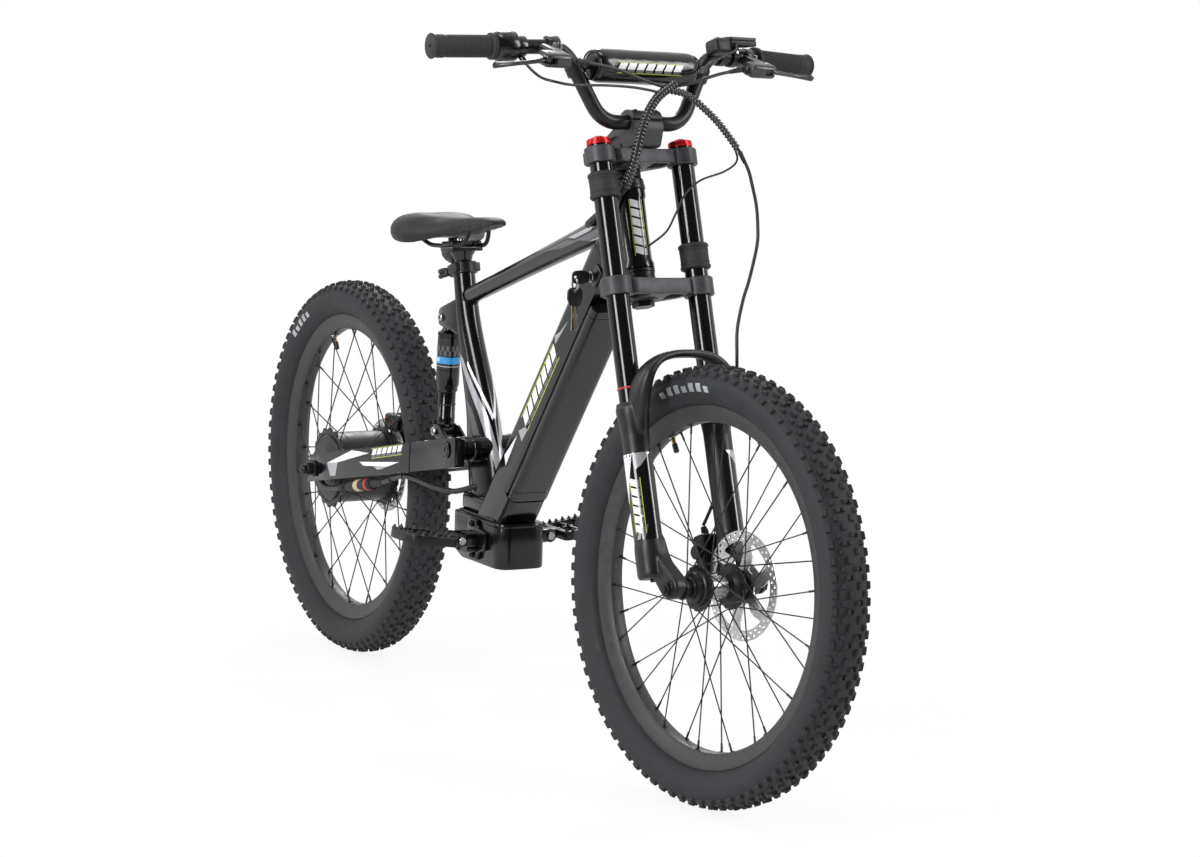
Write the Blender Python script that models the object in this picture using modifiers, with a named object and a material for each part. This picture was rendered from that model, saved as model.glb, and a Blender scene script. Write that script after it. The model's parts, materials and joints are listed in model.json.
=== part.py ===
"""Electric off-road bicycle: double-crown fork, hub motor, battery in the down tube, low control box.

Metres, +X forward, +Y to the rider's left, +Z up. The origin is on the middle of the control box's
underside. The bicycle is at rest with its handlebar turned a little to the left. Everything that
steers is modelled in the fork's own frame: X ahead of the steering axis, Z up along it, from the
height of the front axle.
"""

import math

import bmesh
import bpy
from mathutils import Matrix, Vector

# Layout of the bicycle. Heights are above the ground and lengths ahead of the rear axle.
WHEELBASE = 1.220
WHEEL_RADIUS = 0.320
BOX_AHEAD = 0.550
BOX_CLEARANCE = 0.248
HEAD_TILT = math.radians(18.3)
CROWN_OFFSET = 0.040
FORK_OFFSET = 0.043
STEER_AT_REST = math.radians(8.25)
GAP = 0.0003

# Wheels
TYRE_WIDTH = 0.074
KNOB_HEIGHT = 0.0055
TREAD_STEPS = 32
RIM_RADIUS = 0.2605
RIM_INNER_RADIUS = 0.235
RIM_WIDTH = 0.036
SPOKE_BED = 0.018
SPOKES = 36
SPOKE_RADIUS = 0.0011
SPOKE_SPREAD = 0.0012
ROTOR_RADIUS = 0.080
ROTOR_THICKNESS = 0.002
ROTOR_SEAT = 0.0115
AXLE_RADIUS = 0.006

# Front hub
HUB_FLANGE_RADIUS = 0.034
HUB_FLANGE_HALF = 0.029
HUB_FLANGE_THICKNESS = 0.003
HUB_BARREL_RADIUS = 0.017
FORK_INNER_HALF = 0.055
FRONT_ROTOR_Y = 0.0505

# Hub motor
MOTOR_RADIUS = 0.060
MOTOR_FLANGE_RADIUS = 0.0675
MOTOR_FLANGE_HALF = 0.051
MOTOR_FLANGE_THICKNESS = 0.004
MOTOR_SCALLOP = 0.002
REAR_ROTOR_Y = 0.057

# Fork
STANCHION_HALF = 0.074
STANCHION_RADIUS = 0.017
STANCHION_FOOT = 0.130
STANCHION_PROUD = 0.003
LOWER_LEG_RADIUS = 0.0205
LOWER_LEG_TOP = 0.285
FORK_TRAVEL = 0.080
CLAMP_RADIUS = 0.0225
UPPER_CROWN = 0.630
UPPER_CROWN_HEIGHT = 0.024
LOWER_CROWN = 0.434
LOWER_CROWN_HEIGHT = 0.027
STEERER_RADIUS = 0.0143
HEAD_TUBE_RADIUS = 0.021
HEAD_TUBE_LOW = 0.482
HEAD_TUBE_HIGH = 0.600
ARCH_RISE = 0.0175
RIGHT_BUMPER_DROP = 0.052
LEFT_BUMPER_RISE = 0.040
BUMPER_HEIGHT = 0.038

# Frame tubes
DOWN_TUBE_FOOT = (0.539, 0.324)
DOWN_TUBE_SLOPE = math.radians(51.35)
DOWN_TUBE_LENGTH = 0.590
DOWN_TUBE_WIDTH = 0.066
DOWN_TUBE_DEPTH = 0.055
CHANNEL_WALL = 0.003
CHANNEL_DEPTH = 0.040
BATTERY_START = 0.099
LOCK_FROM_TOP = 0.037
LOCK_ROOM = 0.076
BATTERY_DEPTH = 0.080
TIPPING_ROOM = 0.006
SEAT_TUBE_TOP = (0.392, 0.690)
SEAT_TUBE_RADIUS = 0.0165
SEAT_POST_RADIUS = 0.0135
TOP_TUBE_REAR = (0.405, 0.648)
TOP_TUBE_DROP = 0.035
PIVOT = (0.519, 0.424)
PIVOT_AXLE_RADIUS = 0.007
LOCK_RADIUS = 0.0085
KEY_RING_RADIUS = 0.009
KEY_HOLE_RADIUS = 0.003

# Control box and footpegs
BOX_LENGTH = 0.180
BOX_WIDTH = 0.084
BOX_HEIGHT = 0.072
PEG_AHEAD = 0.567
PEG_HEIGHT = 0.288
PEG_Y = 0.078
PEG_LENGTH = 0.085
PEG_WIDTH = 0.090
PEG_PIN_RADIUS = 0.004

# Swingarm and shock
ARM_INNER_HALF = 0.062
ARM_THICKNESS = 0.018
SHOCK_TOP = (0.360, 0.615)
SHOCK_FOOT = (0.348, 0.428)
SHOCK_BOLT_RADIUS = 0.005
SHOCK_PLAY = 0.0013
SHOCK_CAN_RADIUS = 0.024
SHOCK_SHAFT_RADIUS = 0.011

# Saddle
SADDLE_REAR = 0.250
SADDLE_NOSE = 0.525
SADDLE_HALF_WIDTH = 0.078
NOSE_HALF_WIDTH = 0.020
SADDLE_TOP = 0.791
RAIL_RADIUS = 0.0035

# Handlebar
BAR_RADIUS = 0.011
BAR_AHEAD = 0.050
STEM_RISE = 0.038
BAR_END_Y = 0.338
BAR_END_AHEAD = 0.032
BAR_END_RISE = 0.104
BAR_CORNER_Y = 0.130
BAR_CORNER_AHEAD = 0.060
BAR_CORNER_RISE = 0.105
BAR_BEND_Y = 0.072
CROSSBAR_RISE = 0.077
CROSSBAR_AHEAD = 0.068
CROSSBAR_RADIUS = 0.006
PAD_RADIUS = 0.0265
PAD_HALF = 0.092
GRIP_RADIUS = 0.0165
LEVER_RISE = 0.070
LEVER_PIN_RADIUS = 0.0025
BUTTON_RADIUS = 0.005

# Cables
LOOM_RADIUS = 0.0060
BRAKE_CABLE_RADIUS = 0.0025
WIRE_RADIUS = 0.0017
MOTOR_CABLE_RADIUS = 0.0045

# Sides of large, middling and small rounds
LARGE_ROUND = 16
ROUND = 12
SMALL_ROUND = 8

# Sizes that follow from those above
BATTERY_LENGTH = DOWN_TUBE_LENGTH - BATTERY_START - LOCK_ROOM
STANCHION_TOP = UPPER_CROWN + UPPER_CROWN_HEIGHT + STANCHION_PROUD
RIGHT_BUMPER = UPPER_CROWN - RIGHT_BUMPER_DROP
LEFT_BUMPER = LOWER_CROWN + LEFT_BUMPER_RISE
ARCH_HEIGHT = WHEEL_RADIUS + ARCH_RISE
BAR_HEIGHT = UPPER_CROWN + UPPER_CROWN_HEIGHT + STEM_RISE
CROSSBAR_HEIGHT = BAR_HEIGHT + CROSSBAR_RISE
LEVER_HEIGHT = BAR_HEIGHT + LEVER_RISE

PARTS = "electric bicycle"
SHAPING = "bicycle shaping pieces"
TURN_TO_Y = Matrix.Rotation(-math.pi / 2, 4, "X")
SIDE_VIEW = Matrix.Rotation(math.pi / 2, 4, "X")

# Paints, metals and plastics: colour, roughness, metallic
FINISHES = {
    "frame_paint": ((0.012, 0.012, 0.013), 0.30, 0.0),
    "black_anodised": ((0.015, 0.015, 0.016), 0.35, 0.6),
    "grey_anodised": ((0.07, 0.07, 0.075), 0.40, 0.7),
    "red_anodised": ((0.55, 0.02, 0.02), 0.35, 0.6),
    "steel": ((0.45, 0.45, 0.46), 0.30, 1.0),
    "black_steel": ((0.02, 0.02, 0.02), 0.45, 0.7),
    "rim_alloy": ((0.022, 0.022, 0.024), 0.45, 0.5),
    "tyre_rubber": ((0.018, 0.018, 0.018), 0.85, 0.0),
    "rubber": ((0.014, 0.014, 0.014), 0.80, 0.0),
    "plastic": ((0.016, 0.016, 0.017), 0.55, 0.0),
    "battery_case": ((0.013, 0.013, 0.014), 0.35, 0.0),
    "saddle_cover": ((0.020, 0.020, 0.021), 0.60, 0.0),
    "cable_jacket": ((0.015, 0.015, 0.015), 0.50, 0.0),
    "pad_cover": ((0.014, 0.014, 0.015), 0.55, 0.0),
}


def clear_scene():
    for obj in list(bpy.data.objects):
        bpy.data.objects.remove(obj)
    for name in (PARTS, SHAPING):
        bpy.context.scene.collection.children.link(bpy.data.collections.new(name))


def make_materials():
    for name, (colour, roughness, metallic) in FINISHES.items():
        material = bpy.data.materials.new(name)
        material.use_nodes = True
        shader = material.node_tree.nodes["Principled BSDF"]
        shader.inputs["Base Color"].default_value = (*colour, 1.0)
        shader.inputs["Roughness"].default_value = roughness
        shader.inputs["Metallic"].default_value = metallic


def at(ahead, height, y=0.0):
    """A frame point, from its place ahead of the rear axle and its height above the ground."""
    return Vector((ahead - BOX_AHEAD, y, height - BOX_CLEARANCE))


def leg(side, height=0.0):
    """A point on the middle of a fork leg, in the fork's frame. Side is 1 on the left, -1 on the right."""
    return Vector((CROWN_OFFSET, side * STANCHION_HALF, height))


def steering_matrix():
    """From the fork's frame to the bicycle's."""
    ahead = Vector((math.cos(HEAD_TILT), 0, math.sin(HEAD_TILT)))
    base = at(WHEELBASE, WHEEL_RADIUS) - ahead * (CROWN_OFFSET + FORK_OFFSET)
    tilt = Matrix.Rotation(-HEAD_TILT, 4, "Y")
    return Matrix.Translation(base) @ tilt @ Matrix.Rotation(STEER_AT_REST, 4, "Z")


def head_matrix():
    """From the steering axis, unturned, to the bicycle's frame."""
    return steering_matrix() @ Matrix.Rotation(-STEER_AT_REST, 4, "Z")


def down_tube_matrix():
    """From the down tube's own frame: X up along its upper face, Z out of that face."""
    return Matrix.Translation(at(*DOWN_TUBE_FOOT)) @ Matrix.Rotation(-DOWN_TUBE_SLOPE, 4, "Y")


# Shaping tools


def scratch(bm):
    """A shaping piece from a bmesh."""
    mesh = bpy.data.meshes.new("shape")
    bm.to_mesh(mesh)
    bm.free()
    obj = bpy.data.objects.new("shape", mesh)
    bpy.data.collections[SHAPING].objects.link(obj)
    return obj


def evaluated_mesh(obj):
    graph = bpy.context.evaluated_depsgraph_get()
    return bpy.data.meshes.new_from_object(obj.evaluated_get(graph))


def cleaned(mesh, weld=0.00001):
    bm = bmesh.new()
    bm.from_mesh(mesh)
    bmesh.ops.remove_doubles(bm, verts=bm.verts, dist=weld)
    bmesh.ops.recalc_face_normals(bm, faces=bm.faces)
    return bm


def baked(obj, weld=0.00001):
    """The object as one plain mesh, with its modifiers applied."""
    mesh = evaluated_mesh(obj)
    bpy.data.objects.remove(obj)
    return scratch(cleaned(mesh, weld))


def placed(obj, matrix):
    obj.data.transform(matrix)
    if matrix.determinant() < 0:
        obj.data.flip_normals()
    return obj


def turned_towards(direction):
    return Vector(direction).to_track_quat("Z", "Y").to_matrix().to_4x4()


def around(radius, sides=ROUND):
    """The corner radius of a faceted bore whose flats stay clear of the round piece that it holds."""
    return (radius + GAP) / math.cos(math.pi / sides)


def block(size, centre, rounding=0.0, turn=None, segments=1):
    bm = bmesh.new()
    bmesh.ops.create_cube(bm, size=1)
    bm.transform(Matrix.Diagonal((*size, 1)))
    if rounding:
        bmesh.ops.bevel(bm, geom=bm.edges[:], offset=rounding, segments=segments, affect="EDGES", profile=0.5)
    bm.transform(Matrix.Translation(centre) @ (turn or Matrix()))
    return scratch(bm)


def rod(radius, start, end, sides=ROUND, end_radius=None):
    """A cylinder, or a cone with an end radius, between two points."""
    start, end = Vector(start), Vector(end)
    tip = radius if end_radius is None else end_radius
    bm = bmesh.new()
    length = (end - start).length
    bmesh.ops.create_cone(bm, cap_ends=True, segments=sides, radius1=radius, radius2=tip, depth=length)
    bm.transform(Matrix.Translation((start + end) / 2) @ turned_towards(end - start))
    return scratch(bm)


def turned(profile, steps=LARGE_ROUND, place=None, closed=False):
    """A turned shape: a profile of (radius, height) points, outer side down, round the Z axis."""
    bm = bmesh.new()
    points = [bm.verts.new((radius, 0, height)) for radius, height in profile]
    for first, second in zip(points, points[1:]):
        bm.edges.new((first, second))
    if closed:
        bm.edges.new((points[-1], points[0]))
    obj = scratch(bm)
    screw = obj.modifiers.new("turn", "SCREW")
    screw.steps = steps
    screw.render_steps = steps
    screw.use_merge_vertices = True
    screw.merge_threshold = 0.00001
    return placed(baked(obj), place or Matrix())


def ring(outer, inner, low, high, steps=ROUND, place=None, chamfer=0.0):
    """A turned sleeve from one height to another."""
    profile = [(inner, high), (outer - chamfer, high)]
    if chamfer:
        profile += [(outer, high - chamfer), (outer, low + chamfer)]
    else:
        profile += [(outer, low)]
    if chamfer:
        profile += [(outer - chamfer, low)]
    profile += [(inner, low)]
    return turned(profile, steps, place, closed=True)


def bar(points, radius, resolution=3):
    """A round bar along a line of points."""
    curve = bpy.data.curves.new("bar", "CURVE")
    curve.dimensions = "3D"
    curve.bevel_depth = radius
    curve.bevel_resolution = resolution
    curve.use_fill_caps = True
    spline = curve.splines.new("POLY")
    spline.points.add(len(points) - 1)
    for point, place in zip(spline.points, points):
        point.co = (*place, 1)
    obj = bpy.data.objects.new("bar", curve)
    bpy.data.collections[SHAPING].objects.link(obj)
    return baked(obj)


def plate(outlines, thickness, place=None):
    """A flat piece from its outline and any holes in it, its thickness shared by both sides."""
    curve = bpy.data.curves.new("plate", "CURVE")
    curve.dimensions = "2D"
    curve.fill_mode = "BOTH"
    curve.extrude = thickness / 2
    for outline in outlines:
        spline = curve.splines.new("POLY")
        spline.points.add(len(outline) - 1)
        for point, (x, y) in zip(spline.points, outline):
            point.co = (x, y, 0, 1)
        spline.use_cyclic_u = True
    obj = bpy.data.objects.new("plate", curve)
    bpy.data.collections[SHAPING].objects.link(obj)
    return placed(baked(obj), place or Matrix())


def loft(rings):
    """A closed skin through rings of points, each with the same count."""
    bm = bmesh.new()
    rows = [[bm.verts.new(point) for point in points] for points in rings]
    for row, following in zip(rows, rows[1:]):
        for i in range(len(row)):
            j = (i + 1) % len(row)
            bm.faces.new((row[i], row[j], following[j], following[i]))
    bm.faces.new(rows[0][::-1])
    bm.faces.new(rows[-1])
    bmesh.ops.recalc_face_normals(bm, faces=bm.faces)
    return scratch(bm)


def combined(base, others, operation):
    for other in others:
        step = base.modifiers.new("combine", "BOOLEAN")
        step.operation = operation
        step.solver = "EXACT"
        step.object = other
    result = baked(base)
    for other in others:
        bpy.data.objects.remove(other)
    return result


def union(base, *others):
    return combined(base, others, "UNION")


def cut(base, *others):
    return combined(base, others, "DIFFERENCE")


def common(base, *others):
    return combined(base, others, "INTERSECT")


def circle(radius, count, centre=(0, 0), turn=0.0):
    angles = [turn + 2 * math.pi * i / count for i in range(count)]
    return [(centre[0] + radius * math.cos(a), centre[1] + radius * math.sin(a)) for a in angles]


def rounded(points, radius, steps=2, closed=True):
    """The points with each corner drawn as a curve that starts and ends one radius from it."""
    points = [Vector(point) for point in points]
    count = len(points)
    result = []
    for i, corner in enumerate(points):
        if not closed and i in (0, count - 1):
            result.append(tuple(corner))
            continue
        before, after = points[i - 1], points[(i + 1) % count]
        start = corner + (before - corner).normalized() * min(radius, (before - corner).length * 0.49)
        end = corner + (after - corner).normalized() * min(radius, (after - corner).length * 0.49)
        for step in range(steps + 1):
            t = step / steps
            result.append(tuple(start * (1 - t) ** 2 + corner * 2 * t * (1 - t) + end * t**2))
    return result


def smooth(points, spacing):
    """Evenly spaced points on a smooth curve through the given ones."""
    points = [Vector(point) for point in points]
    ends = [points[0] * 2 - points[1]] + points + [points[-1] * 2 - points[-2]]
    fine = []
    for a, b, c, d in zip(ends, ends[1:], ends[2:], ends[3:]):
        for step in range(16):
            t = step / 16
            bend = (a * 2 - b * 5 + c * 4 - d) * t**2 + (b * 3 - a - c * 3 + d) * t**3
            fine.append((b * 2 + (c - a) * t + bend) / 2)
    fine.append(points[-1])
    lengths = [0.0]
    for a, b in zip(fine, fine[1:]):
        lengths.append(lengths[-1] + (b - a).length)
    count = max(2, round(lengths[-1] / spacing))
    result = []
    i = 0
    for step in range(count + 1):
        target = lengths[-1] * step / count
        while i < len(fine) - 2 and lengths[i + 1] < target:
            i += 1
        share = (target - lengths[i]) / (lengths[i + 1] - lengths[i])
        result.append(fine[i].lerp(fine[i + 1], min(share, 1.0)))
    return result


def part(name, obj, finish, parent=None, pivot=(0, 0, 0), smooth_angle=35):
    """Keeps a shaped piece as a named part, its origin on the pivot."""
    pivot = Vector(pivot)
    obj.data.transform(Matrix.Translation(-pivot))
    obj.name = name
    obj.data.name = name
    obj.location = pivot
    obj.parent = parent
    obj.data.materials.clear()
    obj.data.materials.append(bpy.data.materials[finish])
    obj.data.shade_smooth()
    obj.data.set_sharp_from_angle(angle=math.radians(smooth_angle))
    bpy.data.collections[SHAPING].objects.unlink(obj)
    bpy.data.collections[PARTS].objects.link(obj)
    return obj


# Wheels, modelled round the Y axis at the origin


def tyre():
    """A knobbly tyre: a turned casing whose tread faces are raised in four staggered rows."""
    half = TYRE_WIDTH / 2 - 0.0025
    crown = WHEEL_RADIUS - KNOB_HEIGHT
    bead = RIM_RADIUS + GAP
    side = [
        (bead, RIM_WIDTH / 2 - 0.0005),
        (bead + 0.028, half),
        (crown - 0.006, half * 0.70),
    ]
    profile = side + [(crown, 0)] + [(radius, -y) for radius, y in reversed(side)]
    obj = turned(profile, TREAD_STEPS, TURN_TO_Y, closed=True)
    bm = bmesh.new()
    bm.from_mesh(obj.data)
    middle = half * 0.6
    chosen = []
    for face in bm.faces:
        centre = face.calc_center_median()
        if math.hypot(centre.x, centre.z) < bead + 0.032:
            continue
        step = math.floor(math.atan2(centre.z, centre.x) % (2 * math.pi) / (2 * math.pi) * TREAD_STEPS)
        row = (centre.y > 0) * 2 + (abs(centre.y) > middle)
        if (step + (row in (0, 3))) % 2:
            chosen.append(face)
    raised = bmesh.ops.extrude_discrete_faces(bm, faces=chosen)["faces"]
    bm.normal_update()
    for face in raised:
        centre = face.calc_center_median()
        lift = face.normal * KNOB_HEIGHT * (0.95 if abs(centre.y) < middle else 0.75)
        for vert in face.verts:
            vert.co = centre + (vert.co - centre) * 0.82 + lift
    bm.to_mesh(obj.data)
    bm.free()
    return obj


def spoke_ends(flange_edge, flange_half, lead):
    """Both ends of each spoke, from the edge of a flange to the rim, every second one leading."""
    rim = RIM_INNER_RADIUS + 0.004
    tilt = math.atan2(rim * math.sin(lead), rim * math.cos(lead) - flange_edge)
    hub = flange_edge + SPOKE_RADIUS * math.sin(tilt) + GAP
    per_side = SPOKES // 2
    for side in (1, -1):
        for i in range(per_side):
            angle = 2 * math.pi * (i + (0.5 if side < 0 else 0)) / per_side
            way = 1 if i % 2 == 0 else -1
            hub_y = side * (flange_half + way * SPOKE_SPREAD)
            rim_y = side * (0.0055 + way * 0.0013)
            rim_angle = angle + way * lead
            start = Vector((hub * math.cos(angle), hub_y, hub * math.sin(angle)))
            end = Vector((rim * math.cos(rim_angle), rim_y, rim * math.sin(rim_angle)))
            yield start, end


def spoked_rim(flange_edge, flange_half, lead):
    """A deep rim with its crossed spokes, which reach the hub's flanges."""
    half = RIM_WIDTH / 2
    bed = SPOKE_BED / 2
    side = [(RIM_RADIUS, half), (RIM_INNER_RADIUS, bed)]
    profile = side + [(radius, -y) for radius, y in reversed(side)]
    rim = turned(profile, TREAD_STEPS, TURN_TO_Y, closed=True)
    bm = bmesh.new()
    for start, end in spoke_ends(flange_edge, flange_half, lead):
        spoke = bmesh.ops.create_cone(
            bm,
            cap_ends=True,
            segments=3,
            radius1=SPOKE_RADIUS,
            radius2=SPOKE_RADIUS,
            depth=(end - start).length,
        )
        place = Matrix.Translation((start + end) / 2) @ turned_towards(end - start)
        bmesh.ops.transform(bm, matrix=place, verts=spoke["verts"])
    return union(rim, scratch(bm))


def rotor(y):
    """A brake disc: a band carried by slanted arms, cut from one plate."""
    arms = 5
    band = ROTOR_RADIUS - 0.014
    carrier = 0.027
    outlines = [circle(ROTOR_RADIUS, 24), circle(around(ROTOR_SEAT, SMALL_ROUND), SMALL_ROUND)]
    for i in range(arms):
        start = 2 * math.pi * i / arms
        outer = [start + 0.32 + 0.90 * t / 3 for t in range(4)]
        inner = [start + 0.12 + 0.75 * t / 2 for t in range(3)]
        window = [(band * math.cos(a), band * math.sin(a)) for a in outer]
        window += [(carrier * math.cos(a), carrier * math.sin(a)) for a in reversed(inner)]
        outlines.append(window)
    return plate(outlines, ROTOR_THICKNESS, Matrix.Translation((0, y, 0)) @ SIDE_VIEW)


def front_hub():
    flange = HUB_FLANGE_HALF
    half = HUB_FLANGE_THICKNESS / 2
    barrel = HUB_BARREL_RADIUS
    disc_face = FRONT_ROTOR_Y - ROTOR_THICKNESS / 2 - GAP
    seat = ROTOR_SEAT
    end = FORK_INNER_HALF - GAP
    bore = around(AXLE_RADIUS)
    profile = [
        (bore, end),
        (seat, end),
        (seat, disc_face),
        (0.024, disc_face),
        (barrel + 0.002, flange + half + 0.004),
        (HUB_FLANGE_RADIUS, flange + half),
        (HUB_FLANGE_RADIUS, flange - half),
        (barrel, flange - half - 0.006),
        (barrel, -flange + half + 0.006),
        (HUB_FLANGE_RADIUS, -flange + half),
        (HUB_FLANGE_RADIUS, -flange - half),
        (barrel, -flange - half - 0.006),
        (seat, -end),
        (bore, -end),
    ]
    return turned(profile, ROUND, TURN_TO_Y, closed=True)


def hub_motor():
    """The motor's drum with its end covers, and two flanges with a lobe at each spoke."""
    bore = around(AXLE_RADIUS, LARGE_ROUND)
    end = ARM_INNER_HALF - GAP
    disc_face = REAR_ROTOR_Y - ROTOR_THICKNESS / 2 - GAP
    flange = MOTOR_FLANGE_HALF
    inner = flange - MOTOR_FLANGE_THICKNESS
    profile = [
        (bore, end),
        (ROTOR_SEAT, end),
        (ROTOR_SEAT, disc_face),
        (0.030, disc_face),
        (0.034, flange + 0.003),
        (0.056, flange + 0.002),
        (MOTOR_RADIUS, inner + 0.002),
        (MOTOR_RADIUS, -inner - 0.002),
        (0.056, -flange - 0.003),
        (0.030, -flange - 0.007),
        (0.014, -end),
        (bore, -end),
    ]
    drum = turned(profile, LARGE_ROUND, TURN_TO_Y, closed=True)
    flanges = []
    for side in (1, -1):
        outline = []
        for i in range(SPOKES):
            angle = 2 * math.pi * i / SPOKES
            radius = MOTOR_FLANGE_RADIUS + side * (-1) ** i * MOTOR_SCALLOP
            outline.append((radius * math.cos(angle), radius * math.sin(angle)))
        middle = side * (flange - MOTOR_FLANGE_THICKNESS / 2)
        place = Matrix.Translation((0, middle, 0)) @ SIDE_VIEW
        hole = circle(MOTOR_RADIUS - 0.004, SMALL_ROUND)
        flanges.append(plate([outline, hole], MOTOR_FLANGE_THICKNESS, place))
    return union(drum, *flanges)


# Frame


def oval(centre, half_width, half_height, along, count=12):
    """A ring of points square to a direction in the middle plane."""
    along = Vector(along).normalized()
    across = Vector((0, 1, 0))
    up = along.cross(across)
    ring_points = []
    for i in range(count):
        angle = 2 * math.pi * i / count
        offset = across * half_width * math.cos(angle) + up * half_height * math.sin(angle)
        ring_points.append(Vector(centre) + offset)
    return ring_points


def steering_point(height):
    """A frame point on the steering axis."""
    return head_matrix() @ Vector((0, 0, height))


def down_tube():
    """A deep closed beam whose lower side is a channel that takes the battery."""
    middle = (DOWN_TUBE_LENGTH / 2, 0, -DOWN_TUBE_DEPTH / 2)
    beam = block((DOWN_TUBE_LENGTH, DOWN_TUBE_WIDTH, DOWN_TUBE_DEPTH), middle, 0.009, segments=2)
    foot_length = BATTERY_START - 0.001
    foot_size = (foot_length + 0.03, DOWN_TUBE_WIDTH - 0.002, BATTERY_DEPTH)
    foot = block(foot_size, (foot_length / 2 - 0.015, 0, -BATTERY_DEPTH / 2), 0.010)
    inner = DOWN_TUBE_WIDTH - 2 * CHANNEL_WALL
    start = BATTERY_START - 0.0005
    length = BATTERY_LENGTH + 0.002
    depth = BATTERY_DEPTH + 0.05
    top = -(DOWN_TUBE_DEPTH - CHANNEL_DEPTH)
    channel = block((length, inner, depth), (start + length / 2, 0, top - depth / 2))
    return placed(cut(union(beam, foot), channel), down_tube_matrix())


def seat_tube():
    """Round at the collar, swelling to a deep oval where it meets the down tube."""
    stations = [
        (SEAT_TUBE_TOP[0], SEAT_TUBE_TOP[1], SEAT_TUBE_RADIUS, SEAT_TUBE_RADIUS),
        (0.415, 0.600, SEAT_TUBE_RADIUS + 0.0015, SEAT_TUBE_RADIUS + 0.002),
        (0.4645, 0.490, 0.019, 0.027),
        (0.488, 0.426, 0.021, 0.038),
        (0.505, 0.370, 0.022, 0.044),
        (0.517, 0.330, 0.023, 0.046),
    ]
    axis = seat_direction()
    return loft([oval(at(x, z), width, depth, axis, 16) for x, z, width, depth in stations])


def top_tube():
    """A tapered, creased tube from the seat tube to the head tube."""
    start = at(*TOP_TUBE_REAR)
    end = steering_point(HEAD_TUBE_HIGH - TOP_TUBE_DROP)
    along = end - start
    rings = []
    stations = ((0, 0.014, 0.0135), (0.45, 0.016, 0.0155), (0.8, 0.018, 0.0195), (0.985, 0.019, 0.0235))
    for share, half_width, half_height in stations:
        rings.append(oval(start + along * share, half_width, half_height, along, SMALL_ROUND))
    return loft(rings)


def head_tube():
    return placed(rod(HEAD_TUBE_RADIUS, (0, 0, HEAD_TUBE_LOW), (0, 0, HEAD_TUBE_HIGH), ROUND), head_matrix())


def shock_bracket():
    """Two ears behind the seat tube that hold the shock's upper bolt."""
    top = Vector(SHOCK_TOP)
    outline = rounded(
        [
            (top.x - 0.013, top.y + 0.013),
            (top.x - 0.013, top.y - 0.014),
            (top.x + 0.030, top.y - 0.016),
            (top.x + 0.062, top.y - 0.024),
            (top.x + 0.052, top.y + 0.036),
        ],
        0.009,
    )
    ears = []
    for side in (1, -1):
        place = Matrix.Translation((-BOX_AHEAD, side * 0.0165, -BOX_CLEARANCE)) @ SIDE_VIEW
        ears.append(plate([outline], 0.005, place))
    bridge = block((0.020, 0.034, 0.030), at(top.x + 0.045, top.y + 0.004))
    return union(bridge, *ears)


def main_frame():
    """Tubes, brackets and bosses welded into one frame, then bored for what it holds."""
    foot = block((0.110, 0.052, 0.036), at(0.532, BOX_CLEARANCE + BOX_HEIGHT + GAP + 0.018), 0.006)
    boss_end = ARM_INNER_HALF - GAP
    boss = rod(0.0185, at(*PIVOT, -boss_end), at(*PIVOT, boss_end), ROUND)
    gusset = loft(
        [
            oval(steering_point(0.500), 0.012, 0.006, (0.3, 0, 1), 8),
            oval(at(0.905, 0.775), 0.012, 0.006, (0.3, 0, 1), 8),
        ]
    )
    frame = union(head_tube(), top_tube(), down_tube(), seat_tube(), foot, boss, shock_bracket(), gusset)
    below = block((0.4, 0.2, 0.2), at(0.550, BOX_CLEARANCE + BOX_HEIGHT + GAP - 0.1))
    axis_top, axis_low = steering_point(HEAD_TUBE_HIGH + 0.02), steering_point(HEAD_TUBE_LOW - 0.02)
    steerer_bore = rod(STEERER_RADIUS + 0.0012, axis_low, axis_top, ROUND)
    seat_axis = seat_direction()
    seat_mouth = at(*SEAT_TUBE_TOP)
    post_bore = rod(around(SEAT_POST_RADIUS), seat_mouth - seat_axis * 0.235, seat_mouth + seat_axis * 0.02)
    pivot_bore = rod(around(PIVOT_AXLE_RADIUS), at(*PIVOT, -0.1), at(*PIVOT, 0.1))
    bolt_bore = rod(around(SHOCK_BOLT_RADIUS), at(*SHOCK_TOP, -0.03), at(*SHOCK_TOP, 0.03))
    lock_bore = rod(around(LOCK_RADIUS), lock_point(-0.010), lock_point(0.05))
    inward = Vector((0, 0.010, 0))
    ports = []
    for port, radius in ((loom_port(), LOOM_RADIUS), (motor_port(), MOTOR_CABLE_RADIUS)):
        ports.append(rod(radius + 0.0015, port + inward, port - inward * 3, SMALL_ROUND))
    return cut(frame, below, steerer_bore, post_bore, pivot_bore, bolt_bore, lock_bore, *ports)


def seat_direction():
    """Up the upper part of the seat tube."""
    low = at(0.415, 0.600)
    return (at(*SEAT_TUBE_TOP) - low).normalized()


def lock_point(outward):
    """A point on the lock's axis, outward of the down tube's right side."""
    inside = down_tube_matrix() @ Vector((DOWN_TUBE_LENGTH - LOCK_FROM_TOP, 0, -0.034))
    return Vector((inside.x, -DOWN_TUBE_WIDTH / 2 - outward, inside.z))


def loom_port():
    """Where the cables enter the frame, on the right side of the top tube's front end."""
    return at(0.905, 0.814, -0.020)


def motor_port():
    """Where the motor's cable enters the frame, low on the right side of the seat tube."""
    return at(0.512, 0.362, -0.022)


def headset_cups():
    bore = around(STEERER_RADIUS)
    place = head_matrix()
    low = ring(0.0235, bore, HEAD_TUBE_LOW - 0.0205, HEAD_TUBE_LOW - GAP, ROUND, place, 0.002)
    top = ring(0.0245, bore, HEAD_TUBE_HIGH + GAP, HEAD_TUBE_HIGH + 0.018, ROUND, place, 0.003)
    return low, top


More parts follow.
